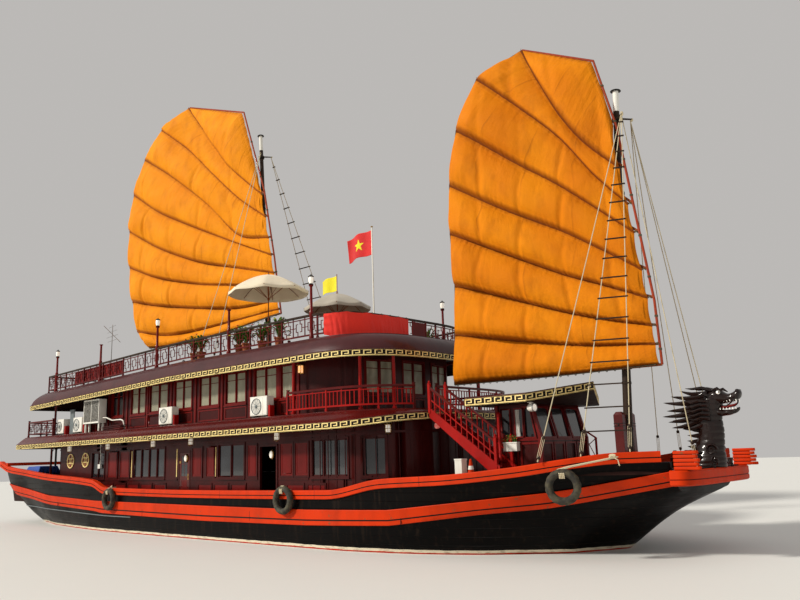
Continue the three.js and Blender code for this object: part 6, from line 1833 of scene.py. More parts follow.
def makeHouseRoof():
    roof = house["roof"]
    low, high = roof["low"], roof["low"] + roof["thick"]
    half = roof["half"]

    def lift(x):
        return roof["lift"] * max(0, x - roof["corner"]) / (roof["nose"] - roof["corner"])

    count = 9
    edge = [(roof["aft"] + (roof["corner"] - roof["aft"]) * n / count, -half) for n in range(count)]
    edge += [(roof["corner"] + (roof["nose"] - roof["corner"]) * n / count, -half + half * n / count)
             for n in range(count)]
    edge += [(roof["nose"], 0)]
    edge += [(x, -y) for x, y in reversed(edge[:-1])]
    centre = Vector((9.6, 0))

    def ring(inset, z):
        spots = [Vector(p) + (centre - Vector(p)).normalized() * inset for p in edge]
        return [Vector((p.x, p.y, z + lift(p.x))) for p in spots]

    shape = Shape()
    levels = [ring(0, low), ring(0, high - 0.05), ring(-0.01, high - 0.045), ring(-0.01, high - 0.025),
              ring(0.05, high - 0.012), ring(0.20, high)]
    shape.mark = 1
    shape.rings(levels[:2], caps=False)
    shape.mark = 0
    shape.rings(levels[1:], caps=False)
    for mark, rim in ((0, levels[-1]), (2, levels[0])):
        shape.mark = mark
        total = len(rim)
        shape.add(rim, [(i, i + 1, total - 2 - i, total - 1 - i) for i in range(total // 2 - 1)])
        middle = total // 2
        shape.add([rim[middle - 1], rim[middle], rim[middle + 1]], [(0, 1, 2)])
    piece("wheelhouseRoof", shape, "ship", ["skirt", "band", "ceiling"], ["wheelhouse_roof"],
          sharp=40)
    keys = Shape()
    for part in (edge[:count + 1], edge[count:2 * count + 1], edge[2 * count:3 * count + 1], edge[3 * count:],
                 [edge[-1], edge[0]]):
        addKeys(keys, Run(part, lift), low + 0.01, high - 0.055)
    piece("wheelhouseKeys", keys, "ship", ["gold"], sharp=30)


makeWheelhouse()
makeHouseRoof()
print("rails, stairs and wheelhouse made")

# figurehead
dragon = {
    "neck": [  # x, z, half width, half depth
        (14.42, 2.083, 0.36, 0.44), (14.43, 2.28, 0.34, 0.45), (14.46, 2.50, 0.28, 0.40), (14.54, 2.75, 0.23, 0.34),
        (14.58, 3.00, 0.215, 0.315), (14.56, 3.25, 0.21, 0.32), (14.56, 3.48, 0.225, 0.335), (14.62, 3.70, 0.24, 0.32),
        (14.72, 3.88, 0.21, 0.25), (14.76, 3.98, 0.12, 0.15),
    ],
    "upperJaw": [  # x, z, half width, half height
        (14.62, 3.80, 0.20, 0.21), (14.80, 3.83, 0.21, 0.20), (14.95, 3.80, 0.18, 0.155), (15.08, 3.78, 0.155, 0.115),
        (15.20, 3.80, 0.15, 0.115), (15.31, 3.85, 0.155, 0.125), (15.38, 3.88, 0.125, 0.10), (15.41, 3.89, 0.05, 0.04),
    ],
    "lowerJaw": [
        (14.60, 3.50, 0.16, 0.13), (14.80, 3.44, 0.15, 0.10), (15.00, 3.42, 0.13, 0.075), (15.18, 3.44, 0.11, 0.06),
        (15.30, 3.49, 0.08, 0.05), (15.34, 3.52, 0.03, 0.02),
    ],
    "mane": [  # start x, start z, end x, end z, thickness
        (14.62, 3.92, 13.92, 4.06, 0.075), (14.56, 3.86, 13.55, 3.92, 0.085), (14.52, 3.76, 13.45, 3.74, 0.09),
        (14.50, 3.66, 13.40, 3.56, 0.09), (14.48, 3.54, 13.40, 3.40, 0.09), (14.46, 3.42, 13.42, 3.22, 0.085),
        (14.46, 3.30, 13.62, 3.12, 0.08), (14.46, 3.16, 13.80, 3.06, 0.07),
    ],
    "pairs": [  # on each side of the head: path, radii and sides of the brow, the horn and the ear
        ([(14.78, 0.19, 4.00), (14.90, 0.215, 4.03), (15.02, 0.19, 3.95)], [0.03, 0.04, 0.012], 8),
        ([(14.72, 0.13, 4.00), (14.50, 0.19, 4.07), (14.28, 0.24, 4.06), (14.12, 0.27, 4.08)],
         [0.055, 0.045, 0.03, 0.006], 10),
        ([(14.66, 0.20, 3.86), (14.55, 0.33, 3.92), (14.42, 0.36, 3.86)], [0.05, 0.05, 0.008], 8),
    ],
    "whisker": [(15.26, 0.15, 3.76), (15.22, 0.24, 3.66), (15.10, 0.28, 3.58), (14.98, 0.29, 3.62),
                (14.92, 0.28, 3.70)],
    "tongue": [(14.80, 0, 3.56), (15.05, 0, 3.57), (15.22, 0, 3.60), (15.30, 0, 3.66)],
    "scrolls": ((14.62, 2.52, 0.15), (14.30, 2.36, 0.12), (14.72, 2.25, 0.11)),  # x, z, size
    "back": [(14.30, 3.02, 13.98, 3.05), (14.26, 2.88, 13.95, 2.90), (14.24, 2.74, 13.93, 2.76),
             (14.18, 2.60, 13.92, 2.62), (14.12, 2.46, 13.90, 2.48), (14.06, 2.33, 13.88, 2.36)],
}


def dragonRings(rows, count, sides, across, bump):
    # rings from rows of middle, height and two half sizes; across lays them flat or upright
    rings = []
    for i in range(count + 1):
        x, z, wide, deep = blendTo([Vector(r) for r in rows], i / count)
        ring = []
        for s in range(sides):
            a = math.tau * s / sides
            grow = 1 + bump(i, s, a)
            u, v = math.cos(a) * deep * grow, math.sin(a) * wide * grow
            ring.append(Vector((x + u, v, z)) if across else Vector((x, v, z + u)))
        rings.append(ring)
    return rings


def makeDragon():
    shape, pale = Shape(), Shape()

    def scales(i, s, a):
        back = 0.5 - 0.5 * math.cos(a)  # smooth plates on the throat
        row = (i % 4) / 4
        cell = abs(math.sin((s + 2 * (i // 4 % 2)) * math.pi / 4))
        plate = (0.05 if i % 5 == 0 else 0) * (1 - back)
        return 0.075 * row * cell * back - plate

    shape.rings(dragonRings(dragon["neck"], 72, 48, True, scales))

    def brow(i, s, a):
        top = max(0, math.cos(a))
        return 0.16 * top * math.exp(-((i - 12) / 5) ** 2) + 0.10 * abs(math.sin(a)) * math.exp(-((i - 40) / 5) ** 2)

    shape.rings(dragonRings(dragon["upperJaw"], 48, 28, False, brow))
    shape.rings(dragonRings(dragon["lowerJaw"], 32, 20, False, lambda i, s, a: 0.04 * math.sin(i * 0.9)))
    for sign in (-1, 1):
        # the eyes here and the teeth below go in pale, which takes the glowing lamp finish: a painted glow, as they are
        # no lamp
        pale.ball((14.90, sign * 0.165, 3.93), (0.05, 0.04, 0.05), 14)
        shape.ball((14.93, sign * 0.19, 3.935), (0.022, 0.022, 0.022), 8)
        for path, radii, sides in dragon["pairs"]:
            shape.tube([(x, sign * y, z) for x, y, z in path], radii, sides)
        shape.ball((15.34, sign * 0.085, 3.955), (0.05, 0.04, 0.035), 10)  # nostril
        whisker = [(x, sign * y, z) for x, y, z in dragon["whisker"]]
        shape.tube([blendTo(whisker, n / 14) for n in range(15)], [0.024 - 0.0014 * n for n in range(15)], 7)
        for n in range(6):  # teeth
            x = 15.30 - 0.075 * n
            tall = 0.085 if n == 0 else 0.05
            pale.tube([(x, sign * (0.125 - 0.002 * n), 3.735), (x + 0.008, sign * 0.12, 3.735 - tall)],
                      [0.018, 0.002], 6)
            pale.tube([(x - 0.03, sign * (0.085 + 0.006 * n), 3.50), (x - 0.03, sign * (0.085 + 0.006 * n), 3.55)],
                      [0.014, 0.002], 6)
        for n, (x, z, size) in enumerate(dragon["scrolls"]):
            curl = [(x + size * (1 - t * 0.8) * math.cos(t * 9 + n), sign * (0.27 + 0.05 * t + 0.05 * (z < 2.4)),
                     z + size * (1 - t * 0.8) * math.sin(t * 9 + n)) for t in (k / 26 for k in range(27))]
            shape.tube(curl, [0.032 - 0.0007 * k for k in range(27)], 8)  # carved scrolls at the foot
        for n in range(5):  # flames on the cheek
            z = 3.72 - 0.11 * n
            shape.tube([(14.66, sign * 0.22, z), (14.46, sign * 0.30, z + 0.03), (14.24, sign * (0.30 - 0.02 * n),
                        z - 0.02), (14.02, sign * 0.27, z + 0.05)], [0.05, 0.045, 0.028, 0.003], 7)
    for n, (x, z, u, w, thick) in enumerate(dragon["mane"]):
        for y in (-0.13, -0.045, 0.045, 0.13):
            short = 1 - 0.22 * abs(y) / 0.13 * (n % 2) - 0.1 * (y > 0) * ((n + 1) % 2)
            end = Vector((x + (u - x) * short, y * 1.15, z + (w - z) * short + 0.02 * (n % 3) - 0.02))
            start = Vector((x, y, z))
            middle = start.lerp(end, 0.55) + Vector((0, y * 0.25, -0.05))
            path = [blendTo([start, middle, end], k / 8) for k in range(9)]
            shape.tube(path, [thick * (1 - (k / 8) ** 1.6) + 0.002 for k in range(9)], 7)
    for x, z, u, w in dragon["back"]:
        shape.tube([(x, 0, z), ((x + u) / 2, 0, (z + w) / 2 - 0.01), (u, 0, w)], [0.075, 0.045, 0.003], 7)
    shape.mark = 1  # tongue
    shape.tube(dragon["tongue"], [0.05, 0.04, 0.03, 0.004], 8)
    shape.mark = 0
    piece("dragonFigurehead", shape, "ship", ["dragon", "panel"], ["dragon_figurehead"], sharp=45)
    # eyes and teeth glow with the lamp finish: a painted glow on carved parts
    piece("dragonTeeth", pale, "ship", ["lamp"], sharp=50)


makeDragon()
print("figurehead made")


# fan units and the cabinet on the second deck
gear = {
    "fans": {"fan_unit_1": (-13.5, 0.64), "fan_unit_2": (-11.85, 0.80), "fan_unit_3": (-4.75, 0.90),
             "fan_unit_4": (0.95, 0.90)},
    "y": (-3.72, -3.42), "z": (4.075, 4.715), "foot": 0.04, "footInset": 0.13,
    "cabinet": ((-11.2, -3.78, 4.38), (-9.85, -3.43, 5.40)), "floor": deckTop["second"],
    "pipe": [(-9.5, 4.58), (-9.0, 4.44), (-8.3, 4.44), (-8.1, 4.38), (-7.96, 4.10), (-7.94, 3.99)],  # x, z
    "hose": [(-10.40, -3.33, 3.58), (-10.38, -3.345, 3.2), (-10.34, -3.34, 2.9), (-10.37, -3.345, 2.62)],
}


def hoop(shape, centre, radius, thick, axis=(0, 1, 0), count=28, sides=6):
    shape.tube(ringAt(Vector(centre), Vector(axis), radius, count), thick, sides, closed=True)


def makeFan(name, x, width):
    (y0, y1), (z0, z1) = gear["y"], gear["z"]
    low, high = x - width / 2, x + width / 2
    shape = Shape()
    shape.box((low, y0 + 0.014, z0), (high, y1, z1 - 0.012))
    shape.box((low - 0.005, y0 + 0.006, z1 - 0.03), (high + 0.005, y1 + 0.005, z1))
    split = high - width * 0.24  # the fan stands aft of this seam, the valves ahead of it
    shape.box((low + 0.012, y0 + 0.004, z0 + 0.02), (split - 0.006, y0 + 0.02, z1 - 0.04))
    shape.box((split + 0.006, y0 + 0.004, z0 + 0.02), (high - 0.012, y0 + 0.02, z1 - 0.04))
    middle, r = ((low + split) / 2, y0, (z0 + z1) / 2 - 0.01), min(0.255, (split - low) / 2 - 0.03)
    # a near-black disc behind the grille: painted shade inside the fan unit
    shape.mark = 1
    shape.lathe([(0.01, -0.006), (r, -0.006), (r, -0.001)], (middle[0], y0 + 0.004, middle[2]), (0, -1, 0), 32)
    shape.mark = 2
    for k in range(1, 8):
        hoop(shape, (middle[0], y0 - 0.012, middle[2]), r * k / 7.2, 0.0035, count=26, sides=4)
    hoop(shape, (middle[0], y0 - 0.004, middle[2]), r + 0.006, 0.012)
    for k in range(10):
        a = math.tau * k / 10
        shape.tube([(middle[0] + r * s * math.cos(a), y0 - 0.012 + 0.006 * s, middle[2] + r * s * math.sin(a))
                    for s in (0.18, 1)], 0.004, 5)
    shape.lathe([(0.02, 0), (0.055, 0.002), (0.05, 0.016), (0.01, 0.02)], (middle[0], y0 - 0.008, middle[2]),
                (0, -1, 0), 18)
    shape.mark = 0
    for side in (low, high):  # pressed slots in the ends
        for k in range(7):
            z = z0 + 0.14 + 0.055 * k
            shape.box((side - 0.006, y0 + 0.06, z), (side + 0.006, y1 - 0.05, z + 0.018))
    shape.mark = 3
    for side in (-1, 1):
        spot = x + side * (width / 2 - gear["footInset"])
        shape.box((spot - 0.04, y0 + 0.02, gear["floor"]), (spot + 0.04, y1 - 0.02, z0 + 0.004))
    shape.mark = 4
    shape.box((high + 0.012, y0 + 0.05, gear["floor"]), (high + 0.11, y1 - 0.06, 4.40))
    for k in range(2):
        shape.tube([(high - 0.02, y0 + 0.10 + 0.06 * k, 4.30), (high + 0.05, y0 + 0.10 + 0.06 * k, 4.28),
                    (high + 0.06, y0 + 0.10 + 0.06 * k, 4.10)], 0.018, 8)
    piece(titled(name), shape, "ship", ["white", "dark", "greyPaint", "black", "stair"],
          [name], sharp=30, bevel=0.004)


def makeCabinet():
    (x0, y0, z0), (x1, y1, z1) = gear["cabinet"]
    shape = Shape()
    shape.box((x0, y0 + 0.012, z0), (x1, y1, z1 - 0.014))
    shape.box((x0 - 0.006, y0, z1 - 0.035), (x1 + 0.006, y1 + 0.006, z1))
    shape.box((x0 - 0.003, y0 + 0.004, z0), (x1 + 0.003, y1 + 0.003, z0 + 0.05))
    for x in (x0, x1 - 0.04, (x0 + x1) / 2 - 0.02):
        shape.box((x, y0 + 0.003, z0 + 0.03), (x + 0.04, y0 + 0.02, z1 - 0.03))
    # a near-black sheet behind the louvres: painted shade inside the cabinet
    shape.mark = 1
    shape.box((x0 + 0.045, y0 + 0.008, z0 + 0.07), (x1 - 0.045, y0 + 0.014, z1 - 0.06))
    shape.mark = 0
    count = 26
    for k in range(count):  # upright louvres, turned a little
        x = x0 + 0.06 + (x1 - x0 - 0.12) * (k + 0.5) / count
        if abs(x - (x0 + x1) / 2) > 0.03:
            shape.beam((x, y0 + 0.006, z0 + 0.07), (x, y0 + 0.006, z1 - 0.06), 0.020, 0.008, (0.6, 1, 0))
    shape.box((x1 - 0.002, y0 + 0.06, z0 + 0.1), (x1 + 0.007, y1 - 0.06, z1 - 0.12))
    for x in (x0 + 0.09, x1 - 0.09):
        for y in (y0 + 0.09, y1 - 0.09):
            shape.box((x - 0.035, y - 0.035, gear["floor"]), (x + 0.035, y + 0.035, z0 + 0.005))
            shape.box((x - 0.06, y - 0.06, gear["floor"]), (x + 0.06, y + 0.06, gear["floor"] + 0.012))
    shape.tube([(x1 - 0.02, -3.6, 4.60)] + [(x, -3.6, z) for x, z in gear["pipe"]], 0.028, 10)
    shape.mark = 2
    shape.box((-12.98, -3.52, gear["floor"]), (-12.62, -3.48, 5.12))  # grey panel behind the fan units
    shape.box((-13.0, -3.53, 5.08), (-12.60, -3.47, 5.12))
    shape.mark = 3
    for k, z in enumerate((4.02, 4.10, 4.17)):  # old boards laid down beside the cabinet
        shape.beam((-9.75 + 0.1 * k, -3.78 + 0.03 * k, z), (-7.9 + 0.08 * k, -3.76, z + 0.02), 0.22, 0.03)
    shape.mark = 0
    for z in (3.40, 3.0, 2.72):  # hose clips on the lower wall
        shape.box((-10.41, -3.335, z), (-10.33, -3.30, z + 0.03))
    shape.tube(gear["hose"], 0.016, 8)
    shape.box((-10.47, -3.40, 2.46), (-10.27, -3.30, 2.64))
    piece("condenserCabinet", shape, "ship", ["white", "dark", "greyPaint", "lacquer"],
          ["condenser_cabinet"], sharp=30, bevel=0.003)


for fanName, (fanX, fanWidth) in gear["fans"].items():
    makeFan(fanName, fanX, fanWidth)
makeCabinet()

# lanterns under the eaves and wall lamps
lamps = {"eaveLanterns": [(-12.4, 3.75), (-9.0, 3.75), (-5.5, 3.75), (-2.94, 3.75), (1.96, 3.75), (6.1, 2.9)],
         "top": 3.72, "ovals": [(-3.86, 2.76), (1.18, 2.78)], "warm": [(2.62, 5.5)]}


def makeLamps():
    shape = Shape()
    for x, y in lamps["eaveLanterns"]:
        for sign in (-1, 1):
            top = lamps["top"] + lipLift(x)
            shape.mark = 0
            shape.tube([(x, sign * y, top + 0.1), (x, sign * y, top - 0.18)], 0.008, 6)
            shape.lathe([(0.01, 0), (0.05, -0.03), (0.10, -0.06), (0.105, -0.085), (0.07, -0.09)],
                        (x, sign * y, top - 0.16), sides=20)
            for k in range(6):
                a = math.tau * k / 6
                shape.tube([(x + 0.085 * math.cos(a), sign * y + 0.085 * math.sin(a), top - z)
                            for z in (0.245, 0.49)], 0.006, 5)
            for z in (0.25, 0.37, 0.485):
                hoop(shape, (x, sign * y, top - z), 0.088, 0.007, (0, 0, 1), 20, 5)
            shape.lathe([(0.09, 0), (0.10, -0.012), (0.05, -0.03), (0.008, -0.055)],
                        (x, sign * y, top - 0.485), sides=20)
            shape.mark = 1
            shape.lathe([(0.072, -0.26), (0.078, -0.37), (0.072, -0.48)], (x, sign * y, top), sides=18)
    for x, z in lamps["ovals"]:
        for sign in (-1, 1):
            wall = sideWall("mainCabin", x - 0.2, x + 0.2, sign)
            for mark, (w, h, out) in ((0, (0.105, 0.155, 0.0)), (1, (0.075, 0.12, 0.03))):
                shape.mark = mark
                rings = []
                for grow, push in ((1, 0), (1.02, 0.02), (0.93, 0.04), (0.6, 0.055), (0.08, 0.06)):
                    rings.append([wall.at(0.2 + w * grow * math.cos(a), out + push, z + h * grow * math.sin(a))
                                  for a in circle(24)])
                shape.rings(rings)
    for x, z in lamps["warm"]:
        for sign in (-1, 1):
            wall = sideWall("upperCabin", x - 0.1, x + 0.1, sign)
            shape.mark = 0
            wall.block(shape, (0.02, 0.18), (0, 0.03), (z - 0.14, z + 0.14))
            wall.block(shape, (0.01, 0.19), (0.03, 0.16), (z + 0.12, z + 0.15))
            shape.mark = 2
            wall.block(shape, (0.04, 0.16), (0.03, 0.13), (z - 0.11, z + 0.12))
            shape.mark = 0
            wall.frame(shape, (0.03, 0.17), (0.125, 0.14), (z - 0.125, z + 0.125), 0.014)
    piece("wallAndEaveLamps", shape, "ship", ["brass", "lamp", "warmLamp"], sharp=40)


makeLamps()


# boards inside the sun deck's rail, and an aerial
boards = {"side": (-12.9, -8.6), "low": 6.50, "tall": 0.60, "faces": (-3.43, -3.40), "front": (-0.38, 0.57)}
aerial = {"at": (-13.28, -1.5), "tall": 3.2, "arms": ((3.10, 0.42), (2.86, 0.55), (2.62, 0.62), (2.40, 0.5))}


def makeBoards():
    shape = Shape()
    marks = steps(*boards["side"], 1.1)  # long board inside the sun deck's rail
    out, inner = boards["faces"]
    for a, b in zip(marks, marks[1:]):
        za, zb = boards["low"] + sternDrop(a), boards["low"] + sternDrop(b)
        shape.hexa(*([(a, out, za + up), (b, out, zb + up), (b, inner, zb + up), (a, inner, za + up)]
                     for up in (0, boards["tall"])))
        shape.box((b - 0.03, -3.445, zb + 0.01), (b + 0.03, -3.39, zb + 0.62))
    low, high = boards["front"]
    front = runBetween("sunRail", sternDrop, lambda x, y: x > 4 and low < y < high, cutsY=(low, high))
    front.block(shape, (0.0, front.length), (0.004, 0.03), (6.27, 7.12), 0.3)
    for s in (0.0, front.length - 0.06):
        front.block(shape, (s, s + 0.06), (0.002, 0.042), (6.25, 7.15), 0.3)
    piece("railBoards", shape, "ship", ["panel"], sharp=30, bevel=0.004)


def makeAerial():
    shape, (x, y) = Shape(), aerial["at"]
    base = deckTop["sun"] + sternDrop(x)
    shape.tube([(x, y, base), (x + 0.02, y, base + aerial["tall"])], [0.028, 0.016], 8)
    shape.lathe([(0.02, 0), (0.16, 0.004), (0.15, 0.02), (0.03, 0.03)], (x, y, base), sides=16)
    for up, half in aerial["arms"]:
        shape.tube([(x - half, y + 0.05, base + up), (x + half, y - 0.05, base + up + 0.02)], 0.009, 6)
    shape.tube([(x, y - 0.45, base + 3.11), (x, y + 0.45, base + 2.38)], 0.011, 6)
    piece("aerial", shape, "ship", ["steel"], sharp=30)


makeBoards()
makeAerial()


# potted plants on the sun deck
plants = {"pots": [(-3.32, -3.12, 7), (-0.5, -3.12, 9), (-0.95, -3.1, 11), (0.3, -3.05, 5), (1.3, -3.1, 4),
                   (-3.8, -3.1, 3), (3.0, 2.9, 6), (-2.2, 3.1, 8)], "height": 0.34, "radius": 0.17}


def makePlants():
    shape = Shape()
    for x, y, seed in plants["pots"]:
        base, tall, r = deckTop["sun"] + sternDrop(x), plants["height"], plants["radius"]
        leafDice = random.Random(seed)
        shape.mark = 0
        shape.lathe([(0.02, 0), (r * 0.72, 0), (r * 0.95, tall * 0.85), (r * 1.08, tall * 0.86), (r * 1.08, tall),
                     (r * 0.9, tall), (r * 0.85, tall * 0.9), (0.02, tall * 0.9)], (x, y, base), sides=20)
        for k in range(46):
            turn, reach = leafDice.uniform(0, math.tau), leafDice.uniform(0.12, 0.42)
            rise = leafDice.uniform(0.25, 0.72)
            root = Vector((x, y, base + tall * 0.88))
            tip = root + Vector((reach * math.cos(turn), reach * math.sin(turn), rise))
            bend = root.lerp(tip, 0.55) + Vector((0, 0, 0.12))
            across = Vector((-math.sin(turn), math.cos(turn), 0)) * leafDice.uniform(0.02, 0.045)
            drop = tip + Vector((reach * 0.4 * math.cos(turn), reach * 0.4 * math.sin(turn), -0.06))
            shape.mark = 1
            line = [(root, 0.3), (bend, 1.0), (tip, 0.9), (drop, 0.05)]
            for up in (0.0, 0.004):
                points = [p + across * w * s + Vector((0, 0, up)) for p, w in line for s in (-1, 1)]
                faces = [(2 * i, 2 * i + 1, 2 * i + 3, 2 * i + 2) for i in range(3)]
                shape.add(points, faces if up else [tuple(reversed(f)) for f in faces])
            if k % 4 == 0:
                shape.mark = 2 + (k // 4) % 3
                for n in range(5):
                    a = math.tau * n / 5
                    shape.ball(tip + Vector((0.025 * math.cos(a), 0.025 * math.sin(a), 0.02)), (0.022, 0.022, 0.012), 6)
    piece("pottedPlants", shape, "ship", ["clay", "leaf", "red", "yellow", "white"], sharp=50)


makePlants()

# umbrellas, flags and the banner
umbrellas = {
    "umbrella_aft": {"at": (-0.65, -2.0), "edge": 8.84, "reach": 1.5, "rise": 0.64, "cloth": "cream", "ribs": 8},
    "umbrella_fore": {"at": (2.03, -1.0), "edge": 7.95, "reach": 1.2, "rise": 0.50, "cloth": "grey", "ribs": 8,
                      "staff": 9.18},
}


def canopyAt(plan, r, turn):  # r from 0 at the crown to 1 at the hem
    span = (turn * plan["ribs"] / math.tau) % 1
    sag = math.sin(math.pi * span) ** 1.2
    reach = plan["reach"] * r * (1 - 0.045 * sag * r)
    height = plan["edge"] + plan["rise"] * (1 - r ** 1.55) - 0.06 * sag * r ** 2
    x, y = plan["at"]
    return Vector((x + reach * math.cos(turn), y + reach * math.sin(turn), height))


def makeUmbrella(name, plan):
    cloth, frameShape = Shape(), Shape()
    around, rows = plan["ribs"] * 14, 22
    grid = [[canopyAt(plan, 0.02 + 0.98 * k / rows, math.tau * s / around) for s in range(around)]
            for k in range(rows + 1)]
    valance = [[p + Vector(((p.x - plan["at"][0]) * 0.004, (p.y - plan["at"][1]) * 0.004, 0))
                + Vector((0, 0, -0.03 - 0.09 * d * (1 - 0.35 * abs(math.sin(s * math.pi / 14)))))
                for s, p in enumerate(grid[-1])] for d in (0.0, 0.5, 1.0)]
    outer = grid + valance
    inner = [[p - Vector((0, 0, 0.006)) - Vector((p.x - plan["at"][0], p.y - plan["at"][1], 0)) * 0.003
              for p in ring] for ring in outer]
    cloth.rings(outer + list(reversed(inner)), closed=True)
    made = piece(titled(name) + "Canopy", cloth, "ship", [plan["cloth"]], [name],
                 sharp=60)
    x, y = plan["at"]
    base = deckTop["sun"] + sternDrop(x)
    frameShape.lathe([(0.024, 0), (0.024, 1.2), (0.028, 1.22), (0.028, 1.40), (0.02, 1.42),
                      (0.02, plan["edge"] + plan["rise"] - base - 0.01)], (x, y, base), sides=14)
    frameShape.lathe([(0.02, 0), (0.26, 0), (0.26, 0.04), (0.20, 0.07), (0.06, 0.09), (0.05, 0.22), (0.026, 0.24)],
                     (x, y, base), sides=24)
    frameShape.lathe([(0.02, 0), (0.05, 0.01), (0.03, 0.05), (0.012, 0.07), (0.03, 0.10), (0.004, 0.13)],
                     (x, y, plan["edge"] + plan["rise"] - 0.008), sides=14)
    if "staff" in plan:
        frameShape.tube([(x, y, plan["edge"] + plan["rise"]), (x, y, plan["staff"])], 0.014, 8)
    slide = Vector((x, y, plan["edge"] - 0.30))
    frameShape.lathe([(0.024, -0.05), (0.045, -0.04), (0.045, 0.04), (0.024, 0.05)], slide, sides=14)
    for n in range(plan["ribs"]):
        turn = math.tau * n / plan["ribs"]
        rib = [canopyAt(plan, r, turn) - Vector((0, 0, 0.02)) for r in (0.03, 0.2, 0.4, 0.6, 0.8, 1.0)]
        frameShape.tube(rib, 0.011, 6)
        frameShape.tube([slide, canopyAt(plan, 0.55, turn) - Vector((0, 0, 0.025))], 0.009, 6)
        frameShape.ball(rib[-1], 0.018, 8)
    ribs = piece(titled(name) + "Frame", frameShape, "ship", ["spar"], sharp=50)
    size = 2 * plan["reach"] * 1.16
    area = oneSide(made)
    min(area, size * size)


for umbrellaName, umbrellaPlan in umbrellas.items():
    makeUmbrella(umbrellaName, umbrellaPlan)

flags = {
    "big": {"hoist": (1.926, 1.0), "low": 10.30, "high": 11.29, "length": 1.35, "wave": 0.085, "waves": 1.35},
    "small": {"hoist": (2.015, -1.0), "low": 8.56, "high": 9.12, "length": 0.80, "wave": 0.05, "waves": 1.1},
    "star": (0.5, 0.5, 0.27), "pole": (1.96, 1.0, 0.030, 11.44),
}


def flagAt(plan, u, v, out=0.0):  # u along the cloth from the hoist, v up it, both from 0 to 1
    x, y = plan["hoist"]
    phase = math.tau * plan["waves"] * u
    tall = plan["high"] - plan["low"]
    side = plan["wave"] * u ** 0.7 * math.sin(phase + 0.9 * v) + out
    drop = 0.10 * tall * u ** 1.6 + 0.03 * tall * math.sin(phase * 0.8 + 1)
    return Vector((x - plan["length"] * u * (0.965 + 0.03 * v), y + side,
                   plan["low"] + tall * v * (1 - 0.05 * u) - drop * (u > 0) * u ** 0.3))


clothHalf = 0.0015


def makeFlag(name, plan, cloth, replaces):
    across, up = 60, 40
    shape = Shape()
    shape.cloth(across, up, lambda i, j, skin: flagAt(plan, i / across, j / up, skin), clothHalf)
    made = piece(name, shape, "ship", [cloth], replaces, sharp=180)
    trim = Shape()
    trim.tube([flagAt(plan, 0, v) for v in (0.0, 0.5, 1.0)], 0.008, 6)
    for v in (0.02, 0.5, 0.98):
        trim.tube([flagAt(plan, 0, v), flagAt(plan, 0, v) + Vector((0.016, 0, 0))], 0.005, 5)
    hem = piece(name + "Hoist", trim, "ship", ["white"])
    flat = (plan["length"] * 1.12, (plan["high"] - plan["low"]) * 1.02)
    area = oneSide(made)
    min(area, flat[0] * flat[1])


def makePole():
    x, y, r, top = flags["pole"]
    shape = Shape()
    base = deckTop["sun"]
    shape.lathe([(0.02, 0), (0.12, 0.002), (0.12, 0.02), (r + 0.012, 0.04), (r + 0.008, 0.25), (r, 0.28),
                 (r - 0.004, top - base - 0.06)], (x, y, base), sides=18)
    shape.mark = 1
    shape.lathe([(0.02, 0), (0.045, 0.012), (0.05, 0.035), (0.03, 0.055), (0.004, 0.06)], (x, y, top - 0.06), sides=16)
    shape.mark = 2
    for side in (-0.032, 0.032):  # halyard
        shape.tube([(x + side, y, 7.3), (x + side * 0.95, y, 9.0), (x + side * 0.6, y, top - 0.08)], 0.004, 5)
    shape.box((x - 0.045, y - 0.012, 7.2), (x + 0.045, y + 0.012, 7.23))
    piece("flagStaff", shape, "ship", ["white", "brass", "rope"], ["flagpole"], sharp=40)
    plan = flags["big"]
    u0, v0, size = flags["star"]
    star = Shape()
    for out in (0.004, -0.004):
        corners = []
        for k in range(10):
            a, r = math.tau * k / 10 + math.pi / 2, size * (1 if k % 2 == 0 else 0.40)
            corners.append((u0 + r * math.cos(a) / plan["length"], v0 + r * math.sin(a) / 0.99))
        for k in range(10):
            (u1, v1), (u2, v2) = corners[k], corners[(k + 1) % 10]
            count = 8
            rows = [[flagAt(plan, u0 + (u1 - u0) * n / count + (u2 - u1) * m / count,
                            v0 + (v1 - v0) * n / count + (v2 - v1) * m / count, out)
                     for m in range(n + 1)] for n in range(count + 1)]
            flat = [p for row in rows for p in row]
            first = [n * (n + 1) // 2 for n in range(count + 1)]
            faces = []
            for n in range(count):
                for m in range(n + 1):
                    faces.append((first[n] + m, first[n + 1] + m, first[n + 1] + m + 1))
                    if m < n:
                        faces.append((first[n] + m, first[n + 1] + m + 1, first[n] + m + 1))
            star.add(flat, faces)
    piece("flagStar", star, "ship", ["yellow"], sharp=180)


makePole()
makeFlag("bigFlag", flags["big"], "flag", ["flag"])
makeFlag("smallFlag", flags["small"], "yellow", [])

banner = {"low": 6.38, "high": 7.21, "aft": 3.9, "port": -0.4, "out": 0.012, "folds": 0.022}


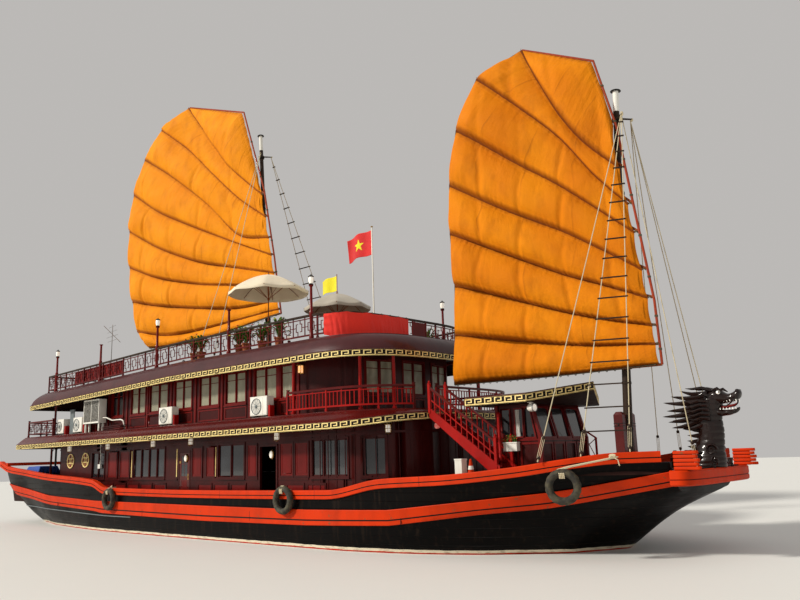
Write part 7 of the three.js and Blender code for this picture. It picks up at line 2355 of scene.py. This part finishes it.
def makeBanner():
    aft, port = banner["aft"], banner["port"]
    line = runBetween("sunRail", sternDrop, lambda x, y: x >= aft and y <= port, cutsX=(aft,), cutsY=(port,))
    across, up = 220, 24
    shape = Shape()

    def clothAt(s, v, skin):
        share = s / line.length
        fold = math.sin(s * 9 + 1.5 * math.sin(s * 2.3)) * (1 - v) ** 0.8 + 0.6 * math.sin(s * 23 + 4 * v)
        fold = banner["folds"] * (0.35 + 0.5 * field.noise(Vector((s * 1.2, v * 2, 0)))) * fold
        end = max(0, 1 - share / 0.10)  # the starboard end is doubled over its tie
        top = banner["high"] - 0.035 * math.sin(math.pi * ((s * 1.35) % 1)) - 0.05 * end
        low = banner["low"] + 0.03 * math.sin(s * 2.1) + 0.10 * end
        return Vector(line.at(s, banner["out"] + 0.02 + abs(fold) + 0.03 * end * math.sin(v * 9) ** 2 + skin,
                              low + (top - low) * v))

    shape.cloth(across, up, lambda i, j, skin: clothAt(line.length * i / across, j / up, skin), clothHalf,
                closed=False)
    made = piece("bannerCloth", shape, "ship", ["red"], ["banner"], sharp=180)
    ties = Shape()
    for n in range(9):
        s = line.length * (0.02 + 0.96 * n / 8)
        ring = [Vector(line.at(s, 0.0 + 0.05 * math.cos(a), 7.19 + 0.045 * math.sin(a)))
                for a in circle(12)]
        ties.tube(ring, 0.006, 5, closed=True)
    strings = piece("bannerTies", ties, "ship", ["cord"])


makeBanner()
print("deck gear, flags and banner made")


# spars behind the sails
foreSail["spars"] = {
    "mast": foreMast, "boom": [(-5.41, 4.75), (1.07, 4.78)], "rings": (1, 6),
    "lashings": (5.2, 6.1, 7.2, 8.4, 9.6, 10.7, 11.9, 13.1),
    "luff": [(1.07, 4.78), (1.03, 6.52), (0.85, 8.09), (0.43, 11.75), (-0.08, 13.97), (-2.34, 15.11)],
}
aftSail["spars"] = {
    "mast": aftMast, "boom": [(-8.76, 8.12), (1.13, 8.40)], "rings": (2, 6),
    "lashings": (9.0, 10.2, 11.6, 13.0, 14.6, 16.4),
    "luff": [(1.13, 8.40), (0.70, 10.84), (0.03, 13.90), (-1.45, 18.0), (-5.76, 19.68)],
}


def luffAt(line, w):
    for (u0, w0), (u1, w1) in zip(line, line[1:]):
        if w <= w1:
            return u0 + (u1 - u0) * (w - w0) / (w1 - w0)


def makeSpars(sail):
    plan, back = sail["spars"], -0.05
    mast, shape = plan["mast"], Shape()

    def bent(line):  # a pole through the points of a batten, eased at its bends
        return [sailPoint(sail, *blendTo(line, i / 24)[:2], back) for i in range(25)]

    shape.tube([sailPoint(sail, u, w, back) for u, w in plan["boom"]], [0.042, 0.036], 12)
    shape.mark = 1
    shape.tube([sailPoint(sail, u, w, back) for u, w in plan["luff"]], 0.036, 12)
    shape.mark = 0
    battens = [seam[:-1] + [(luffAt(plan["luff"], seam[-1][1]), seam[-1][1])] for seam in sail["seams"][1:-1]]
    for line in battens:
        path = bent(line)
        shape.tube(path, [0.026 + 0.010 * i / 24 for i in range(25)], 9)
        for i in (3, 9, 15, 21):  # lashings
            shape.mark = 2
            hoop(shape, path[i], 0.038, 0.008, Vector(path[i + 1]) - Vector(path[i]), 12, 5)
            shape.mark = 0
    shape.mark = 2
    for w in plan["lashings"]:
        place = Vector(sailPoint(sail, luffAt(plan["luff"], w), w, back))
        for lift in (-0.02, 0, 0.02):
            hoop(shape, place + Vector((0, 0, lift)), 0.042, 0.009, (0.1, 0, 1), 12, 5)
    for k in plan["rings"]:  # parrel rings slide on the mast
        line, best = battens[k - 1], None
        for i in range(200):
            u, w = blendTo(line, i / 199)[:2]
            off = abs(mastAt(mast, w).x - sail["pivot"] - u)
            if best is None or off < best[0]:
                best = (off, u, w)
        _, u, w = best
        ahead = (Vector(mast["top"]) - Vector(mast["base"])).normalized()
        r = mastRadius(mast, w)
        centre = mastAt(mast, w)
        shape.mark = 3
        shape.rings([ringAt(centre + ahead * z, ahead, r + out, 28) for out, z in (
            (0.013, -0.044), (0.046, -0.044), (0.051, -0.03), (0.051, 0.03), (0.046, 0.044), (0.013, 0.044))],
            closed=True)
        reach = Vector(sailPoint(sail, u, w, back))
        away = (reach - centre).normalized()
        shape.tube([centre + away * (r + 0.03), reach], 0.028, 12)
        for turn in (0.0, 0.03):
            hoop(shape, reach + Vector((turn, 0, 0)), 0.044, 0.010, (1, 0, 0), 14, 5)
    piece(sail["name"] + "Spars", shape, sail["body"], ["spar", "luff", "cord", "black"],
          [sail["replaces"] + "_frame"], sharp=50)


makeSpars(foreSail)
makeSpars(aftSail)

# doors: the outside of the leaf from end to end, foot, head, the hinged end, hinge heights, panel rows
doors = {
    "cabin_door_starboard": ((-4.312, -3.3), (-3.688, -3.3), 1.128, 2.962, 0, (1.37, 2.57), 3),
    "cabin_door_port": ((-3.688, 3.3), (-4.312, 3.3), 1.128, 2.962, 1, (1.37, 2.57), 3),
    "saloon_door": ((-12.0, 0.252), (-12.0, -0.372), 4.068, 5.732, 1, (4.31, 5.26), 2),
    "wheelhouse_door": ((9.692, 1.3), (9.068, 1.3), 2.128, 3.832, 1, (2.37, 3.37), 2),
}


def makeDoor(name, start, end, low, high, hinged, knuckles, panels):
    wall, shape = Wall(start, end), Shape()
    w, tall = wall.width, high - low
    wall.block(shape, (0, w), (-0.034, -0.006), (low, high))
    glassFoot = low + tall * 0.52
    for near, far in ((-0.0405, -0.034), (-0.006, -0.0005)):
        for u in (0, w - 0.10):
            wall.block(shape, (u, u + 0.10), (near, far), (low, high))
        for z in (low, high - 0.11, glassFoot - 0.10):
            wall.block(shape, (0.10, w - 0.10), (near, far), (z, z + (0.14 if z == low else 0.10)))
    for near, far in ((-0.036, -0.034), (-0.006, -0.004)):
        shape.mark = 1
        wall.block(shape, (0.12, w - 0.12), (near, far), (glassFoot + 0.02, high - 0.13))
        shape.mark = 0
        step = (glassFoot - 0.10 - low - 0.14) / (panels - 1)
        for k in range(panels - 1):
            z0 = low + 0.14 + step * k
            shape.mark = 2
            wall.block(shape, (0.125, w - 0.125), (near - 0.001, far + 0.001), (z0 + 0.025, z0 + step - 0.025))
            shape.mark = 0
            wall.frame(shape, (0.15, w - 0.15), (near - 0.003, far + 0.003), (z0 + 0.05, z0 + step - 0.05), 0.014)
        wall.block(shape, (w / 2 - 0.012, w / 2 + 0.012), (near - 0.002, far + 0.002), (glassFoot, high - 0.11))
        wall.block(shape, (0.10, w - 0.10), (near - 0.002, far + 0.002), (high - 0.42, high - 0.40))
    shape.mark = 3
    free = 0.055 if hinged else w - 0.055
    knob = low + 0.95
    for near, far, sign in ((-0.0005, 0.004, 1), (-0.0445, -0.0405, -1)):
        wall.block(shape, (free - 0.022, free + 0.022), (near, far), (knob - 0.11, knob + 0.11))
        root = wall.at(free, far if sign > 0 else near, knob)
        toward = 1 if free < w / 2 else -1
        shape.tube([root, root + wall.out * 0.036 * sign, root + wall.out * 0.042 * sign + wall.along * 0.10 * toward],
                   [0.009, 0.009, 0.007], 8)
    axis = wall.at(w + 0.005 if hinged else -0.005, 0.012, 0)
    for z in knuckles:
        shape.lathe([(0.002, 0), (0.009, 0.0008), (0.009, 0.0892), (0.002, 0.09)], axis + Vector((0, 0, z)), sides=14)
        inner = (w - 0.075, w + 0.004) if hinged else (-0.004, 0.075)
        wall.block(shape, inner, (-0.0005, 0.0055), (z + 0.002, z + 0.088))
    piece(titled(name), shape, name + "_body",
          ["fascia", "glass", "panel", "brass"], [name], sharp=30)


for doorName, doorPlan in doors.items():
    makeDoor(doorName, *doorPlan)


# machinery below the waterline
screw = {"place": (-15.62, 0, -1.02), "blades": 4, "reach": 0.43}


def makeScrew():
    shape, place = Shape(), Vector(screw["place"])
    shape.lathe([(0.05, -0.15), (0.088, -0.149), (0.104, -0.11), (0.11, -0.02), (0.108, 0.09), (0.098, 0.149),
                 (0.046, 0.15)], place, (1, 0, 0), 28)
    shape.lathe([(0.01, -0.149), (0.03, -0.148), (0.04, -0.13), (0.046, -0.145)], place, (1, 0, 0), 16)
    for b in range(screw["blades"]):
        turn = math.tau * b / screw["blades"]
        radial = Vector((0, math.cos(turn), math.sin(turn)))
        around = Vector((0, -math.sin(turn), math.cos(turn)))
        rings = []
        for k in range(11):
            t = k / 10
            r = 0.085 + (screw["reach"] - 0.087) * t
            chord = 0.5 * blendTo([0.12, 0.20, 0.27, 0.285, 0.25, 0.09], t)
            pitch = math.radians(56 - 32 * t ** 0.7)
            ahead = around * math.cos(pitch) + Vector((math.sin(pitch), 0, 0))
            normal = Vector((math.cos(pitch), 0, 0)) - around * math.sin(pitch)
            thick = 0.015 * (1 - 0.72 * t)
            skew = around * 0.05 * t * t
            rings.append([place + radial * (r - 0.02 * abs(math.cos(a)) * t) + skew + ahead * chord * math.cos(a)
                          + normal * thick * math.sin(a) * (1 - 0.5 * abs(math.cos(a)) ** 3)
                          for a in circle(16)])
        shape.rings(rings)
    piece("screwPropeller", shape, "propeller_body", ["bronze"], ["propeller"], sharp=50)


makeScrew()


def makeRudderIron():
    shape = Shape()
    for z in (-0.62, -0.95, -1.30):
        for sign in (-1, 1):
            shape.box((-17.0, sign * 0.045, z - 0.045), (-16.37, sign * 0.053, z + 0.045))
            for k in range(4):
                shape.ball((-16.92 + 0.16 * k, sign * 0.053, z), (0.018, 0.008, 0.018), 8)
    shape.box((-17.306, -0.05, -1.484), (-17.25, 0.05, -0.16))
    shape.lathe([(0.02, 0), (0.085, 0), (0.09, 0.05), (0.085, 0.10), (0.061, 0.11)], (-16.45, 0, 1.39), sides=20)
    piece("rudderIron", shape, "rudder_body", ["black"], sharp=40)


makeRudderIron()

motor = {"x": (-13.0, -10.4), "low": -0.6, "cylinders": 6}


def makeMotor():
    shape = Shape()
    (x0, x1), low = motor["x"], motor["low"]
    shape.hexa(corners((x0 + 0.3, -0.3), (x1 - 0.1, 0.3), low), corners((x0 + 0.3, -0.4), (x1 - 0.1, 0.4), -0.25))
    shape.box((x0 + 0.3, -0.36, -0.25), (x1 - 0.1, 0.36, 0.10))
    for sign in (-1, 1):  # bearers down to the bed
        shape.box((x0 + 0.02, sign * 0.30, -0.6997), (x1 - 0.02, sign * 0.42, -0.56))
        for k in range(4):
            x = x0 + 0.5 + 0.55 * k
            shape.box((x - 0.05, sign * 0.36, -0.57), (x + 0.05, sign * 0.46, -0.1))
    pitch = (x1 - x0 - 0.5) / motor["cylinders"]
    for k in range(motor["cylinders"]):
        x = x0 + 0.35 + pitch * (k + 0.5)
        shape.mark = 0
        shape.box((x - pitch * 0.42, -0.26, 0.10), (x + pitch * 0.42, 0.26, 0.28))
        shape.mark = 1
        shape.box((x - pitch * 0.36, -0.20, 0.28), (x + pitch * 0.36, 0.20, 0.38))
        shape.mark = 2
        shape.tube([(x, -0.26, 0.20), (x, -0.36, 0.20), (x, -0.40, 0.26)], 0.04, 10)
        shape.tube([(x + 0.05, 0.26, 0.22), (x + 0.05, 0.40, 0.12)], 0.012, 6)
        for dx in (-0.12, 0.12):
            shape.lathe([(0.02, 0), (0.02, 0.03), (0.012, 0.035)], (x + dx, 0, 0.38), sides=6)
    shape.mark = 2
    shape.tube([(x0 + 0.4, -0.42, 0.30), (x1 - 0.2, -0.42, 0.30)], 0.062, 14)
    shape.tube([(x0 + 0.42, 0.42, 0.06), (x1 - 0.3, 0.42, 0.06)], 0.045, 12)
    shape.mark = 1
    shape.lathe([(0.05, 0), (0.43, 0), (0.45, 0.05), (0.45, 0.20), (0.40, 0.26), (0.2, 0.30)],
                (x0 + 0.02, 0, -0.12), (1, 0, 0), 32)
    shape.lathe([(0.04, 0), (0.18, 0.0), (0.18, 0.05), (0.05, 0.06)], (x1 - 0.1, 0, -0.2), (1, 0, 0), 24)
    shape.mark = 0
    shape.box((x0 + 0.3, 0.36, -0.3), (x0 + 0.9, 0.50, 0.0))
    for x in (x1 - 0.5, x1 - 0.7):
        shape.lathe([(0.02, 0), (0.07, 0.005), (0.075, 0.26), (0.04, 0.30)], (x, 0.45, -0.28), sides=16)
    piece("dieselEngine", shape, "ship", ["iron", "greyPaint", "black"], ["engine"], sharp=35,
          bevel=0.008)


makeMotor()

# helm
helm = {"x": 9.86, "z": 3.05, "rim": 0.29, "spokes": 8, "console": ((9.97, -0.3, deckTop["fore"]), (10.23, 0.3, 3.15)),
        "spoke": ((0.03, 0.012), (0.06, 0.016), (0.10, 0.011), (0.16, 0.015), (0.20, 0.010), (0.25, 0.013),
                  (0.31, 0.011), (0.33, 0.015), (0.35, 0.014), (0.36, 0.006))}  # distance out, radius


def makeHelm():
    wheel, stand = Shape(), Shape()
    x, z = helm["x"], helm["z"]
    for dx, r in ((-0.012, 0.014), (0.0, 0.018), (0.012, 0.014)):
        hoop(wheel, (x + dx, 0, z), helm["rim"], r, (1, 0, 0), 48, 8)
    for k in range(helm["spokes"]):
        a = math.tau * k / helm["spokes"]
        away = Vector((0, math.cos(a), math.sin(a)))
        wheel.tube([Vector((x, 0, z)) + away * r for r, _ in helm["spoke"]], [t for _, t in helm["spoke"]], 10)
    wheel.mark = 1
    wheel.lathe([(0.03, -0.03), (0.058, -0.028), (0.06, 0.0), (0.058, 0.028), (0.03, 0.03)], (x, 0, z), (1, 0, 0), 24)
    hoop(wheel, (x - 0.018, 0, z), helm["rim"], 0.006, (1, 0, 0), 48, 6)
    piece("helmWheel", wheel, "helm_body", ["spar", "brass"], ["helm_wheel"], sharp=45)
    (x0, y0, z0), (x1, y1, z1) = helm["console"]
    stand.box((x0 + 0.01, y0 + 0.01, z0), (x1 - 0.01, y1 - 0.01, z1 - 0.03))
    stand.box((x0, y0, z1 - 0.03), (x1, y1, z1))
    stand.box((x0, y0, z0), (x1, y1, z0 + 0.08))
    face = Wall((x0 + 0.01, y1 - 0.01), (x0 + 0.01, y0 + 0.01))
    for u in (0.03, 0.31):
        face.frame(stand, (u, u + 0.24), (0, 0.008), (z0 + 0.14, z1 - 0.40), 0.03)
    stand.mark = 1
    stand.lathe([(0.01, 0), (0.03, 0.0), (0.03, 0.09)], (9.8903, 0, z), (1, 0, 0), 20)
    stand.lathe([(0.02, 0), (0.085, 0), (0.09, 0.02), (0.075, 0.035)], (10.10, 0.0, z1), sides=24)
    for y in (-0.2, -0.14):
        stand.tube([(10.10, y, z1), (10.07, y, z1 + 0.12)], 0.007, 8)
        stand.ball((10.07, y, z1 + 0.13), 0.017, 10)
    stand.mark = 2
    stand.lathe([(0.073, 0.03), (0.066, 0.05), (0.04, 0.067), (0.004, 0.072)], (10.10, 0, z1), sides=24)
    stand.mark = 3
    for y in (0.12, 0.2):
        stand.lathe([(0.01, 0), (0.036, 0), (0.036, 0.008), (0.03, 0.011)], (x0 + 0.01, y, z1 - 0.12), (-1, 0, 0), 20)
    piece("helmStand", stand, "ship", ["fascia", "brass", "glass", "black"], ["helm_console"],
          sharp=35, bevel=0.003)


makeHelm()


hatch = {"aft": -12.9, "fore": -11.3, "half": 0.80, "pitch": 0.2, "boards": 8, "lid": 1.150, "top": 1.160}


def makeHatch():
    shape, low = Shape(), Shape()
    half, top = hatch["half"], hatch["top"]
    for k in range(hatch["boards"]):
        x = hatch["aft"] + hatch["pitch"] * k
        shape.box((x + 0.004, -half, hatch["lid"]), (x + 0.196, half, top))
    shape.mark = 1
    for y in (-0.5, 0.5):
        shape.box((-12.88, y - 0.04, 1.159), (-11.32, y + 0.04, 1.166))
        for k in range(8):
            shape.ball((-12.8 + 0.2 * k, y, 1.166), (0.012, 0.012, 0.005), 8)
    hoop(shape, (-11.45, 0, 1.168), 0.06, 0.009, (0, 0, 1), 20, 8)
    shape.box((-11.54, -0.02, top), (-11.48, 0.02, 1.180))
    piece("hatchBoards", shape, "engine_hatch_body", ["deck", "black"], sharp=35)
    for x in (hatch["aft"], hatch["fore"]):
        for y in (-half, half):
            low.box((x - 0.006, y - 0.09 * (y > 0) - 0.006, 1.045), (x + 0.006, y + 0.09 * (y < 0) + 0.006, 1.095))
            low.box((x - 0.09 * (x > -12) - 0.006, y - 0.006, 1.045),
                    (x + 0.09 * (x < -12) + 0.006, y + 0.006, 1.095))
    piece("coamingStraps", low, "ship", ["black"], sharp=35)


makeHatch()

# foredeck
foredeck = {"cheekX": (12.12, 12.38), "cheekY": (0.19, 0.39), "cheekTop": 3.6, "bitts": (13.04, 13.36), "bittY": 1.3,
            "bittTop": 2.52, "lampBack": (10.33, -1.80, 3.79), "lampLens": (10.56, -1.83, 3.79), "braceY": 1.5,
            "redLamp": (6.95, -1.62, 3.56)}


def makeCheeks():
    shape = Shape()
    x0, x1 = foredeck["cheekX"]
    y0, y1 = foredeck["cheekY"]
    top = foredeck["cheekTop"]
    for sign in (-1, 1):
        a, b = sorted((sign * y0, sign * y1))
        shape.mark = 0
        shape.box((x0, a, deckTop["fore"]), (x1, b, top - 0.08))
        shape.hexa(corners((x0, a), (x1, b), top - 0.08), corners((x0 + 0.06, a + 0.04), (x1 - 0.06, b - 0.04), top))
        shape.mark = 1
        for z in (2.3, 3.25):
            for z2 in (z - 0.035, z + 0.035):
                shape.tube(corners((x0 - 0.006, a - 0.006), (x1 + 0.006, b + 0.006), z2), 0.008, 6, closed=True)
            shape.lathe([(0.01, 0), (0.03, 0), (0.026, 0.014), (0.008, 0.02)],
                        ((x0 + x1) / 2, sign * y1, z), (0, sign, 0), 8)
    shape.mark = 0
    shape.box((x0 - 0.055, -0.34, 2.15), (x0 + 0.004, 0.34, 2.35))
    piece("mastCheeks", shape, "ship", ["fascia", "black"], ["mast_tabernacle"], sharp=35, bevel=0.008)


def makeBitts(side, y):
    shape = Shape()
    floor, top = deckTop["fore"], foredeck["bittTop"]
    for x in foredeck["bitts"]:
        shape.mark = 0
        shape.box((x - 0.07, y - 0.07, floor), (x + 0.07, y + 0.07, top - 0.06))
        shape.hexa(corners((x - 0.07, y - 0.07), (x + 0.07, y + 0.07), top - 0.06),
                   corners((x - 0.03, y - 0.03), (x + 0.03, y + 0.03), top))
        shape.mark = 1
        shape.box((x - 0.076, y - 0.076, top - 0.10), (x + 0.076, y + 0.076, top - 0.07))
        shape.box((x - 0.10, y - 0.10, floor), (x + 0.10, y + 0.10, 2.015))
    shape.mark = 0
    shape.box((12.9, y - 0.045, 2.22), (13.5, y + 0.045, 2.32))
    shape.mark = 2
    for k in range(5):  # turns of rope on the bar
        hoop(shape, (13.13 + 0.035 * k, y, 2.27), 0.068, 0.017, (1, 0.05, 0), 16, 7)
    piece("bitts" + side.title(), shape, "ship", ["lacquer", "black", "rope"], ["bitt_" + side],
          sharp=35, bevel=0.006)


def makeSearchLamp():
    shape = Shape()
    back, lens = Vector(foredeck["lampBack"]), Vector(foredeck["lampLens"])
    ahead = (lens - back).normalized()
    for mark, profile in (
            (0, [(0.02, 0.0), (0.07, 0.004), (0.10, 0.04), (0.108, 0.10), (0.106, 0.20)]),
            (1, [(0.106, 0.195), (0.113, 0.20), (0.113, 0.228), (0.098, 0.231), (0.096, 0.215)]),
            (2, [(0.097, 0.216), (0.06, 0.224), (0.004, 0.228)])):
        shape.mark = mark
        shape.lathe(profile, back, ahead, 32)
    shape.mark = 0
    shape.box((10.38, -1.83, 3.86), (10.44, -1.79, 3.94))
    shape.box((10.35, -1.87, 3.925), (10.47, -1.75, 3.94))
    piece("searchLamp", shape, "ship", ["white", "steel", "lamp"], ["searchlight"], sharp=40,
          bevel=0.003)


def addFlowers(shape):  # in the box below the wheelhouse's side
    flowers = random.Random(21)
    for k in range(40):
        root = Vector((flowers.uniform(9.26, 9.66), flowers.uniform(-1.49, -1.35), 2.88))
        tip = root + Vector((flowers.uniform(-0.06, 0.06), flowers.uniform(-0.08, 0.03), flowers.uniform(0.06, 0.2)))
        shape.mark = 3
        shape.tube([root, tip], 0.005, 4)
        for _ in range(3):
            a = flowers.uniform(0, math.tau)
            leaf = Vector((math.cos(a), math.sin(a), 0.5)) * 0.05
            for face in ((0, 1, 2, 3), (3, 2, 1, 0)):
                shape.add([tip, tip + leaf * 0.6 + Vector((0, 0, 0.015)), tip + leaf, tip + leaf * 0.6], [face])
        if k % 3 == 0:
            shape.mark = 4
            shape.ball(tip, (0.02, 0.02, 0.014), 6)


def makeForedeckGear():  # posts and a braced rail beside the wheelhouse, boxes by the stairs, a red lamp
    shape, floor = Shape(), deckTop["fore"]
    shape.lathe([(0.02, 0), (0.07, 0), (0.07, 0.05), (0.045, 0.08), (0.042, 1.62), (0.06, 1.64), (0.06, 1.70),
                 (0.03, 1.74), (0.01, 1.75)], (9.2, -1.62, floor), sides=18)
    y = foredeck["braceY"]
    shape.lathe([(0.02, 0), (0.05, 0), (0.035, 0.04), (0.035, 0.93), (0.05, 0.95), (0.01, 0.98)],
                (10.56, y, floor), sides=14)
    shape.lathe([(0.02, 0), (0.05, 0), (0.03, 0.04), (0.03, 1.24), (0.01, 1.26)], (10.09, y, floor), sides=14)
    for x, z0, z1, r, sides in ((10.07, 3.28, 2.96, 0.026, 10), (10.09, 2.59, 2.28, 0.02, 10),
                                (10.09, 3.24, 2.30, 0.013, 8), (10.09, 2.60, 2.94, 0.013, 8)):
        shape.tube([(x, y, z0), (10.56, y, z1)], r, sides)
    shape.mark = 1
    shape.box((9.24, -1.50, 2.64), (9.68, -1.333, 2.88))
    shape.box((9.22, -1.515, 2.86), (9.70, -1.333, 2.89))
    shape.box((8.42, -2.74, floor), (8.66, -2.50, 2.46))
    shape.box((8.41, -2.75, 2.44), (8.67, -2.49, 2.48))
    cone = (8.87, -2.6, floor)
    shape.mark = 2
    shape.lathe([(0.02, 0), (0.14, 0), (0.14, 0.02), (0.10, 0.03), (0.03, 0.46), (0.005, 0.47)], cone, sides=24)
    shape.mark = 1
    shape.lathe([(0.079, 0.18), (0.081, 0.181), (0.063, 0.281), (0.061, 0.28)], cone, sides=24)
    addFlowers(shape)
    x, y, z = foredeck["redLamp"]
    shape.mark = 5
    shape.tube([(x, y, z + 0.24), (x, y, z)], 0.008, 6)
    shape.mark = 6
    shape.lathe([(0.01, 0), (0.06, -0.01), (0.085, -0.06), (0.085, -0.12), (0.06, -0.17), (0.01, -0.18)], (x, y, z),
                sides=20)
    piece("foredeckGear", shape, "ship", ["stair", "white", "orange", "leaf", "red", "black", "redLamp"],
          sharp=40)


def makeBowIron():  # ring bolts and rods on the bow beam
    shape = Shape()
    for y in (-0.62, 0.62):
        shape.lathe([(0.01, 0), (0.035, 0), (0.035, 0.012), (0.02, 0.02)], (14.78, y, 2.08), sides=14)
        hoop(shape, (14.78, y, 2.145), 0.05, 0.013, (1, 0, 0), 20, 8)
    for k in range(3):
        shape.tube([(14.55 + 0.05 * k, -1.45, 2.10), (14.55 + 0.05 * k, 1.45, 2.10)], 0.018, 8)
    piece("bowIron", shape, "ship", ["black"], sharp=40)


makeCheeks()
makeBitts("starboard", -foredeck["bittY"])
makeBitts("port", foredeck["bittY"])
makeSearchLamp()
makeForedeckGear()
makeBowIron()

# stern deck: a crate under a blue sheet, and a post
sternGear = {"crate": ((-17.9, -3.1, deckTop["main"]), (-16.7, -2.3, 2.60)), "post": (-17.5, -2.0, 3.5),
             "cut": (2.1, 1.7)}


def makeSternGear():
    (x0, y0, z0), (x1, y1, z1) = sternGear["crate"]
    crate = Shape()
    for k in range(12):
        z = z0 + (z1 - z0) * k / 12
        crate.box((x0, y0, z + 0.004), (x1, y1, z + (z1 - z0) / 12 - 0.004))
    for x in (x0 - 0.015, x1 - 0.06):
        for y in (y0 - 0.015, y1 - 0.06):
            crate.box((x, y, z0), (x + 0.075, y + 0.075, z1 - 0.01))
    crate.mark = 1
    x, y, top = sternGear["post"]
    crate.lathe([(0.02, 0), (0.09, 0), (0.09, 0.02), (0.05, 0.05), (0.05, top - 1.08), (0.07, top - 1.06),
                 (0.07, top - 1.02), (0.01, top - 1.0)], (x, y, deckTop["main"]), sides=18)
    wood = piece("sternCrate", crate, "ship", ["spar", "black"], sharp=35, bevel=0.004)
    sheet = Shape()
    wide, deep = sternGear["cut"]
    nx, ny = 64, 52
    middle = Vector(((x0 + x1) / 2, (y0 + y1) / 2, 0))
    halfX, halfY = (x1 - x0) / 2 + 0.03, (y1 - y0) / 2 + 0.03

    def drape(i, j, skin):
        u, v = wide * (i / nx - 0.5), deep * (j / ny - 0.5)
        overX, overY = max(0, abs(u) - halfX), max(0, abs(v) - halfY)
        drop = (overX ** 2 + overY ** 2) ** 0.5
        corner = min(overX, overY)
        px = math.copysign(min(abs(u), halfX), u) + math.copysign(0.05 * min(overX * 6, 1) + 0.12 * corner, u)
        py = math.copysign(min(abs(v), halfY), v) + math.copysign(0.05 * min(overY * 6, 1) + 0.12 * corner, v)
        ripple = 0.035 * math.sin((u if overY > overX else v) * 17 + 1.3) * min(drop * 4, 1)
        if overY > overX:
            py += math.copysign(ripple, v)
        elif overX > 0:
            px += math.copysign(ripple, u)
        crown = 0.03 * field.noise(Vector((u * 2.2, v * 2.2, 5))) + 0.035
        return middle + Vector((px, py, z1 + crown + skin - drop))

    sheet.cloth(nx, ny, drape, 0.002)
    made = piece("tarpaulin", sheet, "ship", ["blue"], sharp=180)


makeSternGear()
print("spars, doors, machinery, helm and foredeck made")
